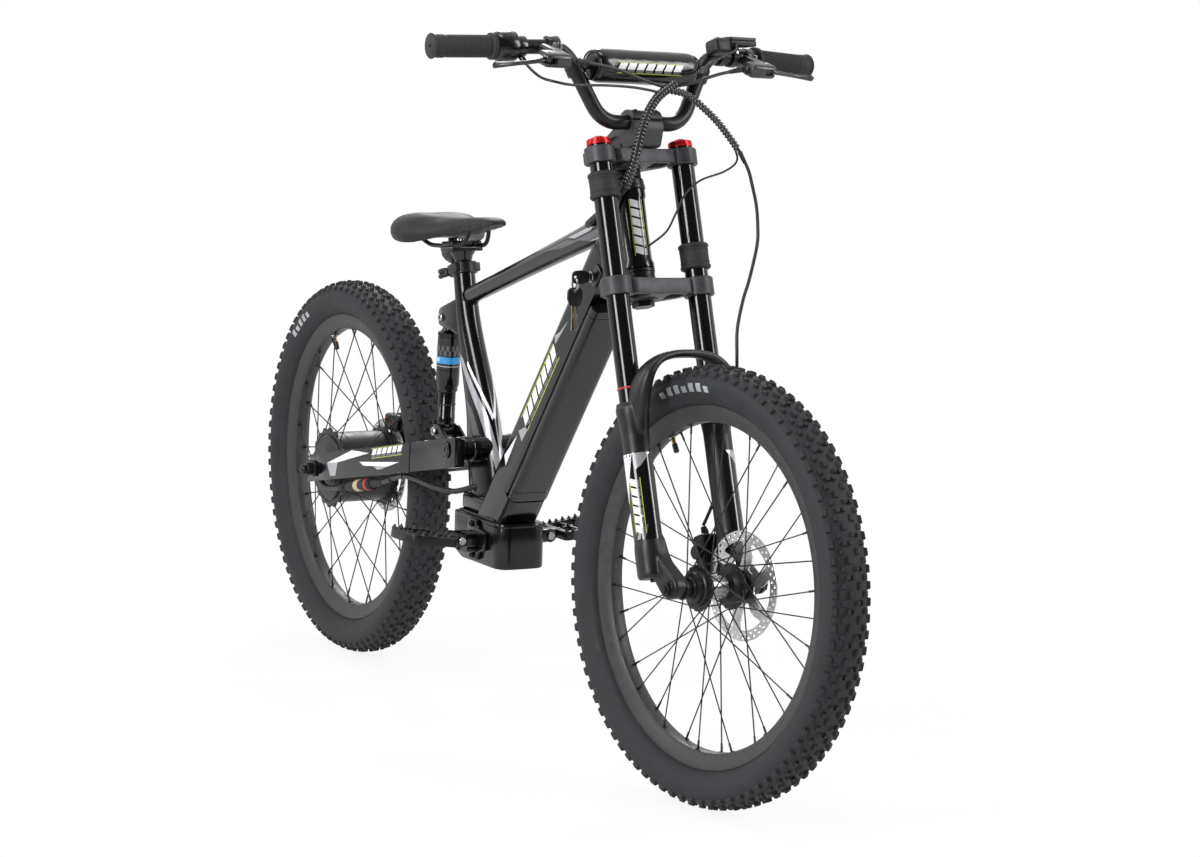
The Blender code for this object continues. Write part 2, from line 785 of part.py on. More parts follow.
def control_box():
    """The motor controller's housing: rounded front, underside cut up at the rear, peg brackets bolted on."""
    middle = at(0.550, BOX_CLEARANCE + BOX_HEIGHT / 2)
    box = block((BOX_LENGTH, BOX_WIDTH, BOX_HEIGHT), middle, 0.0001)
    front = BOX_LENGTH / 2
    half = BOX_WIDTH / 2
    outline = [(-front, -half), (front, -half), (front, half), (-front, half)]
    plan = plate([rounded(outline, 0.024, 5)], BOX_HEIGHT + 0.02, Matrix.Translation(middle))
    cut_up = Matrix.Rotation(math.radians(20), 4, "Y")
    low_rear = block((0.08, 0.2, 0.04), at(0.478, BOX_CLEARANCE - 0.008), turn=cut_up)
    return cut(common(box, plan), low_rear)


def peg_bracket(side):
    """A plate on the side of the box with two ears that hold the peg's pin, which lies fore and aft."""
    wall = BOX_WIDTH / 2 + GAP
    pin = at(PEG_AHEAD, PEG_HEIGHT, side * PEG_Y)
    flange = block((0.062, 0.005, 0.040), (pin.x, side * (wall + 0.0025), pin.z), 0.0012)
    neck = block((0.046, PEG_Y - wall - 0.004, 0.020), (pin.x, side * (wall + PEG_Y) / 2, pin.z))
    bracket = union(flange, neck)
    for end in (1, -1):
        ear = rod(0.010, pin + Vector((end * 0.0150, 0, 0)), pin + Vector((end * 0.0224, 0, 0)), 16)
        bracket = union(bracket, ear)
    slot = block((0.031, 0.028, 0.030), (pin.x, side * (PEG_Y + 0.0015), pin.z))
    bore = rod(around(PEG_PIN_RADIUS), pin - Vector((0.04, 0, 0)), pin + Vector((0.04, 0, 0)))
    return cut(bracket, slot, bore)


def footpeg(side):
    """A toothed cage on an eye that turns on a pin, which is fused to it."""
    pin = Vector((0, 0, 0))
    eye = rod(0.009, (-0.0150, 0, 0), (0.0150, 0, 0), 16)
    shaft = rod(PEG_PIN_RADIUS, (-0.026, 0, 0), (0.026, 0, 0), SMALL_ROUND)
    stem = block((0.024, 0.024, 0.012), (0, side * 0.012, 0))
    reach = PEG_LENGTH
    middle = side * (0.016 + reach / 2)
    half = PEG_WIDTH / 2
    outline = [(-half, -reach / 2), (half, -reach / 2), (half, reach / 2), (-half, reach / 2)]
    window = [(x * 0.84, y * 0.80) for x, y in outline]
    place = Matrix.Translation((0, middle, 0))
    cage = plate([rounded(outline, 0.014, 2), rounded(window, 0.010, 1)], 0.012, place)
    rail = block((0.010, reach - 0.004, 0.010), (0, middle, 0))
    teeth = []
    for end in (1, -1):
        for i in range(3):
            y = middle + (i - 1) * reach / 3.4
            x = end * (PEG_WIDTH / 2 - 0.0045)
            teeth.append(rod(0.0035, (x, y, 0.004), (x, y, 0.0115), 4, 0.0015))
    peg = union(cage, rail, stem, eye, shaft, *teeth)
    return placed(peg, Matrix.Translation(at(PEG_AHEAD, PEG_HEIGHT, side * PEG_Y) - pin))


def collar_rear():
    """The direction straight back from the seat tube."""
    axis = seat_direction()
    return Vector((-axis.z, 0, axis.x))


def collar_lug():
    """The middle of the lug behind the seat collar."""
    return at(*SEAT_TUBE_TOP) - seat_direction() * 0.008 + collar_rear() * 0.0255


def seat_collar():
    """A clamp round the top of the seat tube, split at the rear, with a bolt and its nut across the lug."""
    axis = seat_direction()
    place = Matrix.Translation(at(*SEAT_TUBE_TOP)) @ turned_towards(axis)
    outer = SEAT_TUBE_RADIUS + 0.004
    tube_bore, post_bore = around(SEAT_TUBE_RADIUS + 0.0005), around(SEAT_POST_RADIUS)
    top, low = 0.006, -0.018
    section = [(outer, top), (outer, low), (tube_bore, low)]
    section += [(tube_bore, GAP), (post_bore, GAP), (post_bore, top)]
    band = turned(section, ROUND, place, closed=True)
    middle = collar_lug()
    slope = Matrix.Rotation(math.atan2(axis.x, axis.z), 4, "Y")
    lug = block((0.014, 0.024, 0.015), middle, turn=slope)
    split = block((0.030, 0.002, 0.040), middle + collar_rear() * 0.004, turn=slope)
    across = Vector((0, 1, 0))
    bolt = rod(0.0025, middle - across * 0.006, middle + across * 0.006, SMALL_ROUND)
    nut = rod(0.0055, middle + across * 0.0110, middle + across * 0.016, 6)
    return union(cut(union(band, lug), split), bolt, nut)


def lever_cam():
    """The seat lever turns here, on the lug's right side."""
    return collar_lug() - Vector((0, 0.0183 + GAP, 0))


def seat_lever():
    """The quick-release lever: a cam barrel, and a blade that lies back along the right side."""
    cam = lever_cam()
    axis = seat_direction()
    barrel = rod(0.0060, cam - axis * 0.006, cam + axis * 0.006, SMALL_ROUND)
    rear = collar_rear()
    path = [cam, cam + rear * 0.018 - Vector((0, 0.004, 0)), cam + rear * 0.050 + Vector((0, 0.004, 0))]
    return union(barrel, bar(smooth(path, 0.012), 0.0042, 1))


# Battery and its lock


def battery():
    """Its inner part fits the channel, its outer part is flush with the tube and has rounded corners."""
    play = 0.0006
    inner_width = DOWN_TUBE_WIDTH - 2 * CHANNEL_WALL - 2 * play
    top = DOWN_TUBE_DEPTH - CHANNEL_DEPTH + play
    middle = BATTERY_START + BATTERY_LENGTH / 2
    inner_depth = BATTERY_DEPTH - 0.006 - top
    inner_middle = (middle - TIPPING_ROOM / 2, 0, -top - inner_depth / 2)
    inner = block((BATTERY_LENGTH - TIPPING_ROOM, inner_width, inner_depth), inner_middle, 0.004)
    seam = DOWN_TUBE_DEPTH + play
    outer_depth = BATTERY_DEPTH - seam
    outer = block((BATTERY_LENGTH, DOWN_TUBE_WIDTH, outer_depth), (middle, 0, -seam - outer_depth / 2))
    half = DOWN_TUBE_WIDTH / 2
    corners = [(-half, 0.012), (-half, -outer_depth / 2), (half, -outer_depth / 2), (half, 0.012)]
    section = rounded(corners, 0.011, 4)
    lengthways = Matrix.Rotation(math.pi / 2, 4, "Y") @ Matrix.Rotation(math.pi / 2, 4, "Z")
    place = Matrix.Translation((middle, 0, -seam - outer_depth / 2)) @ lengthways
    case = common(outer, plate([section], BATTERY_LENGTH + 0.02, place))
    return placed(union(inner, case), down_tube_matrix())


def battery_lock():
    """The lock's plug in the tube's right side, with its keyway."""
    plug = rod(LOCK_RADIUS, lock_point(-0.0095), lock_point(0.0035))
    keyway = block((0.0034, 0.016, 0.0094), lock_point(0.0))
    return cut(plug, keyway)


def key():
    """A blade in the keyway and a bow that stands out of the lock, with a hole for the ring."""
    blade = block((0.0022, 0.020, 0.0080), lock_point(0.0035))
    bow = block((0.0032, 0.022, 0.020), lock_point(0.0235), 0.0012)
    through = Vector((0.01, 0, 0))
    hole = rod(KEY_HOLE_RADIUS, key_hole() - through, key_hole() + through, SMALL_ROUND)
    return cut(union(bow, blade), hole)


def key_hole():
    return lock_point(0.0300)


def spare_key():
    """A ring through the key's bow, with a second key that hangs from it."""
    wire = 0.0009
    hang = KEY_HOLE_RADIUS * math.cos(math.pi / SMALL_ROUND) - wire - GAP
    centre = key_hole() - Vector((0, 0, KEY_RING_RADIUS + hang - 0.0002))
    section = [(KEY_RING_RADIUS + x, z) for x, z in circle(wire, 4)]
    loop = turned(section, 20, Matrix.Translation(centre) @ TURN_TO_Y, closed=True)
    low = centre - Vector((0, 0, KEY_RING_RADIUS))
    bow = block((0.020, 0.0032, 0.020), low - Vector((0, 0, 0.0080)), 0.0012)
    blade = block((0.0080, 0.0022, 0.030), low - Vector((0, 0, 0.030)))
    return union(bow, blade, loop)


# Swingarm, rear brake and shock


def swingarm():
    """Two deep arms joined by a bridge ahead of the tyre, with the shock's clevis on it."""
    pivot = Vector(PIVOT)
    outline = rounded(
        [
            (pivot.x + 0.030, pivot.y + 0.024),
            (0.040, 0.3525),
            (-0.030, 0.3440),
            (-0.040, 0.3080),
            (-0.006, 0.2960),
            (0.050, 0.3070),
            (pivot.x + 0.030, pivot.y - 0.024),
        ],
        0.018,
    )
    middle = ARM_INNER_HALF + ARM_THICKNESS / 2
    pieces = []
    for side in (1, -1):
        place = Matrix.Translation((-BOX_AHEAD, side * middle, -BOX_CLEARANCE)) @ SIDE_VIEW
        pieces.append(plate([outline], ARM_THICKNESS, place))
    slope = Matrix.Rotation(math.radians(-10), 4, "Y")
    bridge = block((0.036, 2 * ARM_INNER_HALF + 0.01, 0.034), at(0.383, 0.402), 0.005, turn=slope)
    foot = Vector(SHOCK_FOOT)
    ear_outline = rounded(
        [
            (foot.x - 0.012, foot.y + 0.012),
            (foot.x - 0.012, foot.y - 0.012),
            (foot.x + 0.044, foot.y - 0.030),
            (foot.x + 0.048, foot.y - 0.010),
            (foot.x + 0.014, foot.y + 0.012),
        ],
        0.009,
    )
    for side in (1, -1):
        place = Matrix.Translation((-BOX_AHEAD, side * 0.0165, -BOX_CLEARANCE)) @ SIDE_VIEW
        pieces.append(plate([ear_outline], 0.005, place))
    bolt = rod(SHOCK_BOLT_RADIUS, at(*SHOCK_FOOT, -0.0215), at(*SHOCK_FOOT, 0.0215), SMALL_ROUND)
    arm = union(bridge, *pieces, bolt)
    pivot_bore = rod(around(PIVOT_AXLE_RADIUS), at(*PIVOT, -0.1), at(*PIVOT, 0.1))
    axle_bore = rod(around(AXLE_RADIUS), at(0, WHEEL_RADIUS, -0.1), at(0, WHEEL_RADIUS, 0.1))
    return cut(arm, pivot_bore, axle_bore)


def pivot_axle():
    """The swingarm's pivot bolt, held by the frame's boss, with a wide head on each side."""
    end = ARM_INNER_HALF + ARM_THICKNESS + 0.004
    pin = rod(PIVOT_AXLE_RADIUS, at(*PIVOT, -end), at(*PIVOT, end), ROUND)
    heads = []
    for side in (1, -1):
        inner = side * (ARM_INNER_HALF + ARM_THICKNESS + GAP)
        heads.append(rod(0.0150, at(*PIVOT, inner), at(*PIVOT, inner + side * 0.006), ROUND))
    return union(pin, *heads)


def rear_axle():
    end = ARM_INNER_HALF + ARM_THICKNESS + 0.014
    pin = rod(AXLE_RADIUS, (0, -end, 0), (0, end, 0), ROUND)
    nuts = []
    for side in (1, -1):
        inner = side * (ARM_INNER_HALF + ARM_THICKNESS + GAP)
        nuts.append(rod(0.0150, (0, inner, 0), (0, inner + side * 0.002, 0), ROUND))
        nuts.append(rod(0.0105, (0, inner + side * 0.001, 0), (0, inner + side * 0.010, 0), 6))
    return placed(union(pin, *nuts), Matrix.Translation(at(0, WHEEL_RADIUS)))


def rear_caliper():
    """On the left arm, straddling the top of the disc."""
    body = block((0.060, 0.0235, 0.033), at(0.022, WHEEL_RADIUS + 0.0755, 0.06375), 0.003)
    tab = block((0.054, 0.010, 0.030), at(0.022, 0.3696, 0.0710), 0.002)
    hose_inlet = rod(0.0045, at(0.048, 0.398, 0.066), at(0.064, 0.402, 0.066), SMALL_ROUND)
    slot = block((0.2, ROTOR_THICKNESS + 0.0024, 0.1), at(0.022, WHEEL_RADIUS + 0.0825 - 0.05, REAR_ROTOR_Y))
    return cut(union(body, tab, hose_inlet), slot)


def shock_direction():
    return (at(*SHOCK_TOP) - at(*SHOCK_FOOT)).normalized()


def shock_can():
    """The shock's upper eye and its can, which the shaft slides into."""
    axis = shock_direction()
    top = at(*SHOCK_TOP)
    place = Matrix.Translation(top) @ turned_towards(axis)
    profile = [
        (0, -0.006),
        (0.0125, -0.0095),
        (0.0130, -0.0165),
        (0.0225, -0.026),
        (SHOCK_CAN_RADIUS, -0.032),
        (SHOCK_CAN_RADIUS, -0.086),
        (0.0235, -0.088),
        (0.0235, -0.104),
        (0.0205, -0.120),
        (around(SHOCK_SHAFT_RADIUS), -0.120),
        (around(SHOCK_SHAFT_RADIUS), -0.036),
        (0, -0.036),
    ]
    can = turned(profile, ROUND, place)
    eye = rod(0.0115, top - Vector((0, 0.0137, 0)), top + Vector((0, 0.0137, 0)), ROUND)
    bolt = rod(SHOCK_BOLT_RADIUS, at(*SHOCK_TOP, -0.0205), at(*SHOCK_TOP, 0.0205), SMALL_ROUND)
    return union(can, eye, bolt)


def shock_shaft():
    """The shaft with its lower eye, which has play round the swingarm's bolt."""
    axis = shock_direction()
    foot = at(*SHOCK_FOOT)
    reach = (at(*SHOCK_TOP) - foot).length
    shaft = rod(SHOCK_SHAFT_RADIUS, foot + axis * 0.008, foot + axis * (reach - 0.068), ROUND)
    seat = rod(0.0135, foot + axis * 0.012, foot + axis * 0.026, ROUND)
    eye = rod(0.0115, foot - Vector((0, 0.0137, 0)), foot + Vector((0, 0.0137, 0)), ROUND)
    across = Vector((0, 0.03, 0))
    bore = rod(around(SHOCK_BOLT_RADIUS + SHOCK_PLAY), foot - across, foot + across)
    return cut(union(shaft, seat, eye), bore)


# Seat


def seat_post():
    axis = seat_direction()
    mouth = at(*SEAT_TUBE_TOP)
    post = rod(SEAT_POST_RADIUS, mouth - axis * 0.225, mouth + axis * 0.0345, ROUND)
    head = block((0.046, 0.034, 0.010), mouth + axis * 0.037 + Vector((0.002, 0, 0)), 0.002)
    return union(post, head)


def rail(side, radius):
    """One bent rail, whose ends reach up into the saddle."""
    path = [
        (0.290, 0.7535, side * 0.034),
        (0.320, 0.740, side * 0.026),
        (0.360, 0.7355, side * 0.022),
        (0.410, 0.7355, side * 0.022),
        (0.450, 0.748, side * 0.017),
        (0.494, 0.779, side * 0.010),
    ]
    return bar(smooth([at(*point) for point in path], 0.040), radius, 1)


def saddle_rails():
    """Two bent rails under the saddle, held by a clamp plate on the post."""
    clamp = at(0.385, 0.7355)
    plate_piece = block((0.050, 0.050, 0.0085), clamp, 0.0015)
    bolt = rod(0.0045, clamp, clamp + Vector((0, 0, 0.009)), 6)
    return union(plate_piece, bolt, rail(1, RAIL_RADIUS), rail(-1, RAIL_RADIUS))


def saddle():
    """A padded saddle: a cage of cross-sections from tail to nose, rounded, with sockets for the rails."""
    stations = [
        (0.000, 0.30, 0.768, 0.745),
        (0.020, 0.82, 0.7775, 0.737),
        (0.075, 1.00, 0.7830, 0.733),
        (0.150, 0.72, 0.7860, 0.738),
        (0.210, 0.42, 0.7900, 0.752),
        (0.262, 0.285, SADDLE_TOP, 0.764),
        (0.275, 0.20, 0.7860, 0.772),
    ]
    rings = []
    length = SADDLE_NOSE - SADDLE_REAR
    for x, share, top, skirt in stations:
        half = SADDLE_HALF_WIDTH * share
        ahead = SADDLE_REAR + x / stations[-1][0] * length
        drop = top - skirt
        section = [
            (0.0, top - 0.0015),
            (0.45, top),
            (0.82, top - drop * 0.18),
            (1.02, top - drop * 0.62),
            (0.90, skirt),
            (0.70, skirt + 0.004),
            (0.35, skirt + 0.012),
            (0.0, skirt + 0.014),
        ]
        right = [(-side, z) for side, z in section[1:-1]]
        rings.append([at(ahead, z, half * side) for side, z in section + right[::-1]])
    cage = loft(rings)
    soft = cage.modifiers.new("soft", "SUBSURF")
    soft.levels = 1
    soft.render_levels = 1
    return cut(baked(cage), rail(1, RAIL_RADIUS + GAP), rail(-1, RAIL_RADIUS + GAP))


# Fork, in its own frame


def crown(low, height):
    """A forged crown: two clamps joined by a web that reaches back to the steerer, pocketed underneath."""
    inner = around(STANCHION_RADIUS)
    web = [
        (CROWN_OFFSET + 0.014, -STANCHION_HALF),
        (CROWN_OFFSET + 0.014, STANCHION_HALF),
        (CROWN_OFFSET - 0.016, STANCHION_HALF),
        (-0.016, 0.020),
        (-0.016, -0.020),
        (CROWN_OFFSET - 0.016, -STANCHION_HALF),
    ]
    middle = low + height / 2
    body = plate([web], height - 0.004, Matrix.Translation((0, 0, middle)))
    boss = rod(0.0235, (0, 0, low), (0, 0, low + height), ROUND)
    clamps = [rod(CLAMP_RADIUS, leg(side, low), leg(side, low + height), ROUND) for side in (1, -1)]
    pinch = []
    for side in (1, -1):
        centre = leg(side, middle) + Vector((-0.012, side * 0.014, 0))
        pinch.append(block((0.022, 0.018, height - 0.006), centre))
    solid = union(body, boss, *clamps, *pinch)
    cutters = [rod(inner, leg(side, low - 0.01), leg(side, low + height + 0.01), ROUND) for side in (1, -1)]
    for side in (1, -1):
        cutters.append(block((0.020, 0.030, height), (CROWN_OFFSET - 0.008, side * 0.033, low - 0.002)))
    cutters.append(rod(around(STEERER_RADIUS), (0, 0, low - 0.01), (0, 0, low + height + 0.01), ROUND))
    return cut(solid, *cutters)


def steerer():
    """The column in the head tube, with the collar that holds the upper cup down."""
    top = UPPER_CROWN + UPPER_CROWN_HEIGHT - 0.002
    column = rod(STEERER_RADIUS, (0, 0, LOWER_CROWN - 0.002), (0, 0, top), ROUND)
    low = HEAD_TUBE_HIGH + 0.018 + GAP
    collar = rod(0.0205, (0, 0, low), (0, 0, UPPER_CROWN - GAP), ROUND)
    head = rod(0.0170, (0, 0, LOWER_CROWN - 0.008), (0, 0, LOWER_CROWN - GAP), 6)
    return union(column, collar, head)


def stanchion(side):
    return rod(STANCHION_RADIUS, leg(side, STANCHION_FOOT), leg(side, STANCHION_TOP), ROUND)


def fork_cap(side):
    low = STANCHION_TOP + GAP
    profile = [(0, low + 0.009), (0.0135, low + 0.009), (0.0165, low + 0.006), (0.0175, low), (0, low)]
    cap = turned(profile, ROUND, Matrix.Translation(leg(side)))
    knob = rod(0.0075, leg(side, low + 0.008), leg(side, low + 0.0125), 6)
    return union(cap, knob)


def bumper(low, side):
    """A rubber stop with a waist, clamped round a stanchion."""
    inner = around(STANCHION_RADIUS)
    top = low + BUMPER_HEIGHT
    outer = CLAMP_RADIUS
    profile = [
        (inner, top),
        (outer - 0.002, top),
        (outer, top - 0.003),
        (outer - 0.0015, low + BUMPER_HEIGHT / 2),
        (outer, low + 0.003),
        (outer - 0.002, low),
        (inner, low),
    ]
    return turned(profile, ROUND, Matrix.Translation(leg(side)), closed=True)


def fork_leg(side):
    """One lower leg: the tube with its flared top, and the foot that carries the axle ahead of it."""
    top = LOWER_LEG_TOP
    flared = LOWER_LEG_RADIUS + 0.003
    radius = LOWER_LEG_RADIUS
    profile = [(0, top), (flared, top), (flared, top - 0.022)]
    profile += [(radius, top - 0.050), (radius, 0.026), (0, 0.026)]
    tube = turned(profile, ROUND, Matrix.Translation(leg(side)))
    ahead = CROWN_OFFSET + FORK_OFFSET
    outline = rounded(
        [
            (CROWN_OFFSET - 0.0195, 0.062),
            (CROWN_OFFSET - 0.0175, 0.018),
            (CROWN_OFFSET + 0.010, -0.004),
            (ahead, -0.0165),
            (ahead + 0.0165, 0.0),
            (ahead, 0.0165),
            (CROWN_OFFSET + 0.0195, 0.040),
            (CROWN_OFFSET + 0.0195, 0.062),
        ],
        0.009,
    )
    inner = FORK_INNER_HALF
    width = 0.031
    place = Matrix.Translation((0, side * (inner + 0.001 + width / 2), 0)) @ SIDE_VIEW
    foot = plate([outline], width, place)
    boss = rod(0.0172, (ahead, side * inner, 0), (ahead, side * (inner + width + 0.003), 0), ROUND)
    return union(tube, foot, boss)


def arch():
    """The brace over the tyre: a flat bow that leaves the front of each leg's top."""
    half = [
        (CROWN_OFFSET + 0.008, STANCHION_HALF + 0.002, 0.252),
        (CROWN_OFFSET + 0.024, STANCHION_HALF + 0.001, 0.284),
        (CROWN_OFFSET + 0.038, STANCHION_HALF - 0.008, 0.310),
        (CROWN_OFFSET + 0.044, STANCHION_HALF - 0.026, 0.3275),
        (CROWN_OFFSET + 0.046, STANCHION_HALF - 0.050, ARCH_HEIGHT - 0.001),
    ]
    path = [Vector(point) for point in half]
    path += [Vector((point[0], -point[1], point[2])) for point in reversed(half)]
    rings = []
    for i, point in enumerate(path):
        along = (path[min(i + 1, len(path) - 1)] - path[max(i - 1, 0)]).normalized()
        ahead = Vector((1, 0, 0)) - along * along.x
        ahead.normalize()
        out = ahead.cross(along)
        edge = abs(point.y) / STANCHION_HALF
        wide, thick = 0.012 + 0.001 * edge, 0.0065 + 0.0015 * edge
        section = [(1, 0), (0.6, 1), (-0.6, 1), (-1, 0), (-0.6, -1), (0.6, -1)]
        rings.append([point + ahead * wide * a + out * thick * b for a, b in section])
    return loft(rings)


def fork_lowers():
    """Both legs and the arch, cast as one, bored for the stanchions and the axle."""
    ahead = CROWN_OFFSET + FORK_OFFSET
    tab = block((0.026, 0.0075, 0.050), (CROWN_OFFSET - 0.026, STANCHION_HALF + 0.001, 0.062), 0.002)
    solid = union(fork_leg(1), fork_leg(-1), arch(), tab)
    bores = []
    for side in (1, -1):
        low = STANCHION_FOOT - FORK_TRAVEL - 0.006
        bores.append(rod(around(STANCHION_RADIUS), leg(side, low), leg(side, 0.4)))
    bores.append(rod(around(AXLE_RADIUS), (ahead, -0.2, 0), (ahead, 0.2, 0)))
    return cut(solid, *bores)


def front_axle():
    """A round axle with a hexagon on each end."""
    end = FORK_INNER_HALF + 0.0345 + GAP
    pin = rod(AXLE_RADIUS, (0, -end, 0), (0, end, 0), ROUND)
    heads = [rod(0.0105, (0, side * (end - 0.0004), 0), (0, side * (end + 0.0035), 0), 6) for side in (1, -1)]
    return placed(union(pin, *heads), Matrix.Translation((CROWN_OFFSET + FORK_OFFSET, 0, 0)))


def front_caliper():
    """Behind the left leg, bolted to its tab, straddling the rear of the disc."""
    ahead, height = CROWN_OFFSET - 0.035, 0.058
    outer = STANCHION_HALF - 0.0030
    body = block((0.026, 0.031, 0.060), (ahead, outer - 0.0155, height), 0.004)
    slot = block((0.060, ROTOR_THICKNESS + 0.0030, 0.080), (ahead + 0.024, FRONT_ROTOR_Y, height - 0.012))
    top = caliper_inlet()
    inlet = rod(0.0045, top - Vector((-0.004, 0, 0.016)), top, SMALL_ROUND)
    return cut(union(body, inlet), slot)


def caliper_inlet():
    """Where the hose enters the front caliper, in the fork's frame."""
    return Vector((CROWN_OFFSET - 0.043, FRONT_ROTOR_Y + 0.010, 0.100))


# Cockpit, in the fork's frame


def stem():
    """A forward clamp block on the upper crown, with recessed sides and a cradle for the bar."""
    base = UPPER_CROWN + UPPER_CROWN_HEIGHT + GAP
    outline = rounded(
        [
            (-0.042, base),
            (-0.044, base + 0.016),
            (-0.010, base + 0.026),
            (BAR_AHEAD - 0.019, BAR_HEIGHT + 0.004),
            (BAR_AHEAD - 0.0185, BAR_HEIGHT + 0.020),
            (BAR_AHEAD + 0.0185, BAR_HEIGHT + 0.020),
            (BAR_AHEAD + 0.0185, BAR_HEIGHT - 0.013),
            (BAR_AHEAD + 0.006, base),
        ],
        0.005,
        1,
    )
    body = plate([outline], 0.052, SIDE_VIEW)
    pockets = []
    for side in (1, -1):
        corners = [(-0.030, 0.006), (-0.028, 0.0125), (0.020, 0.023), (0.030, 0.006)]
        pocket = rounded([(x, base + z) for x, z in corners], 0.003, 1)
        pockets.append(plate([pocket], 0.012, Matrix.Translation((0, side * 0.027, 0)) @ SIDE_VIEW))
    top_cut = block((0.06, 0.08, 0.04), (BAR_AHEAD, 0, BAR_HEIGHT + 0.0195))
    column = rod(0.0100, (0, 0, base - 0.01), (0, 0, base + 0.014), 16)
    return cut(body, *pockets, top_cut, bar_tunnel(), column)


def bar_clamp():
    """The cap that holds the bar down, with four bolt bosses."""
    low = BAR_HEIGHT - 0.0005 + GAP
    half = [(0.0185, 0.0), (0.0185, 0.006), (0.013, 0.015), (0.0, 0.0185)]
    outline = half + [(-x, z) for x, z in half[-2::-1]]
    outline = rounded([(BAR_AHEAD + x, low + z) for x, z in outline], 0.004, 2)
    cap = plate([outline], 0.052, SIDE_VIEW)
    return cut(cap, bar_tunnel())


def on_bar(y):
    """The middle of the bar's straight outer part at a distance from the middle plane."""
    share = (abs(y) - BAR_CORNER_Y) / (BAR_END_Y - BAR_CORNER_Y)
    ahead = BAR_CORNER_AHEAD + (BAR_END_AHEAD - BAR_CORNER_AHEAD) * share
    height = BAR_HEIGHT + BAR_CORNER_RISE + (BAR_END_RISE - BAR_CORNER_RISE) * share
    return Vector((ahead, y, height))


def turning_bore(inner_y, outer_y):
    """A bore for a piece that turns on the bar's straight outer part."""
    return rod(around(BAR_RADIUS), on_bar(inner_y), on_bar(outer_y), ROUND)


def bent_bar(radius):
    """The bar's bent tube, from end to end."""
    half = [
        (BAR_AHEAD, 0, BAR_HEIGHT),
        (BAR_AHEAD, BAR_BEND_Y, BAR_HEIGHT - 0.003),
        (BAR_CORNER_AHEAD, BAR_CORNER_Y, BAR_HEIGHT + BAR_CORNER_RISE),
        (BAR_END_AHEAD, BAR_END_Y, BAR_HEIGHT + BAR_END_RISE),
    ]
    left = [Vector(point) for point in rounded(half, 0.026, 3, closed=False)]
    right = [Vector((point.x, -point.y, point.z)) for point in left[1:]]
    return bar(right[::-1] + left, radius, 2)


def bar_tunnel():
    """The room that the bent bar takes in a piece clamped to it."""
    return bent_bar(BAR_RADIUS + GAP)


def handlebar():
    """One bent bar with a cross bar clamped between its uprights."""
    ends = [(CROSSBAR_AHEAD, y, CROSSBAR_HEIGHT) for y in (-0.112, 0.112)]
    cross = rod(CROSSBAR_RADIUS, *ends, 16)
    pieces = [cross]
    for side in (1, -1):
        low_end = (0.0560, side * 0.1085, CROSSBAR_HEIGHT - 0.012)
        high_end = (0.0585, side * 0.1175, CROSSBAR_HEIGHT + 0.007)
        clamp = rod(0.0145, low_end, high_end)
        tab = block((0.020, 0.012, 0.016), (CROSSBAR_AHEAD - 0.004, side * 0.107, CROSSBAR_HEIGHT), 0.002)
        pieces += [clamp, tab]
    return union(bent_bar(BAR_RADIUS), *pieces)


def bar_pad():
    """A round foam pad on the cross bar."""
    place = Matrix.Translation((CROSSBAR_AHEAD, 0, CROSSBAR_HEIGHT)) @ TURN_TO_Y
    return ring(PAD_RADIUS, around(CROSSBAR_RADIUS), -PAD_HALF, PAD_HALF, ROUND, place, 0.008)


def left_grip():
    """A rubber sleeve with a flange at its inner end, closed over the bar's end."""
    sleeve = rod(GRIP_RADIUS, on_bar(0.232), on_bar(0.342), ROUND)
    flange = rod(GRIP_RADIUS + 0.003, on_bar(0.226), on_bar(0.233), ROUND)
    return cut(union(sleeve, flange), turning_bore(0.20, BAR_END_Y + 2 * GAP))


def throttle_grip():
    """The twisting sleeve, with a collar that runs inside the housing's mouth."""
    sleeve = rod(GRIP_RADIUS, on_bar(-0.245), on_bar(-0.342), ROUND)
    flange = rod(GRIP_RADIUS + 0.003, on_bar(-0.2415), on_bar(-0.248), ROUND)
    return cut(union(sleeve, flange), turning_bore(-0.20, -BAR_END_Y - 2 * GAP))


def throttle_housing():
    """The throttle's drum with its cable exit below."""
    drum = rod(0.0200, on_bar(-0.198), on_bar(-0.2411), ROUND)
    lip = rod(0.0175, on_bar(-0.194), on_bar(-0.200), ROUND)
    exit_start = on_bar(-0.206)
    exit_tube = rod(0.0042, exit_start + Vector((0.004, 0, -0.012)), throttle_exit(), SMALL_ROUND)
    return cut(union(drum, lip, exit_tube), bar_tunnel())


def throttle_exit():
    """Where the throttle's wire leaves its housing."""
    return on_bar(-0.206) + Vector((0.013, 0.004, -0.029))


def lever_axis():
    """The levers turn about this axis: square to the bar, leaning forward from the steering axis."""
    return Vector((0.534, 0, 0.845)).normalized()


def lever_pivot(side):
    return Vector((CROWN_OFFSET + 0.070, side * 0.197, LEVER_HEIGHT))


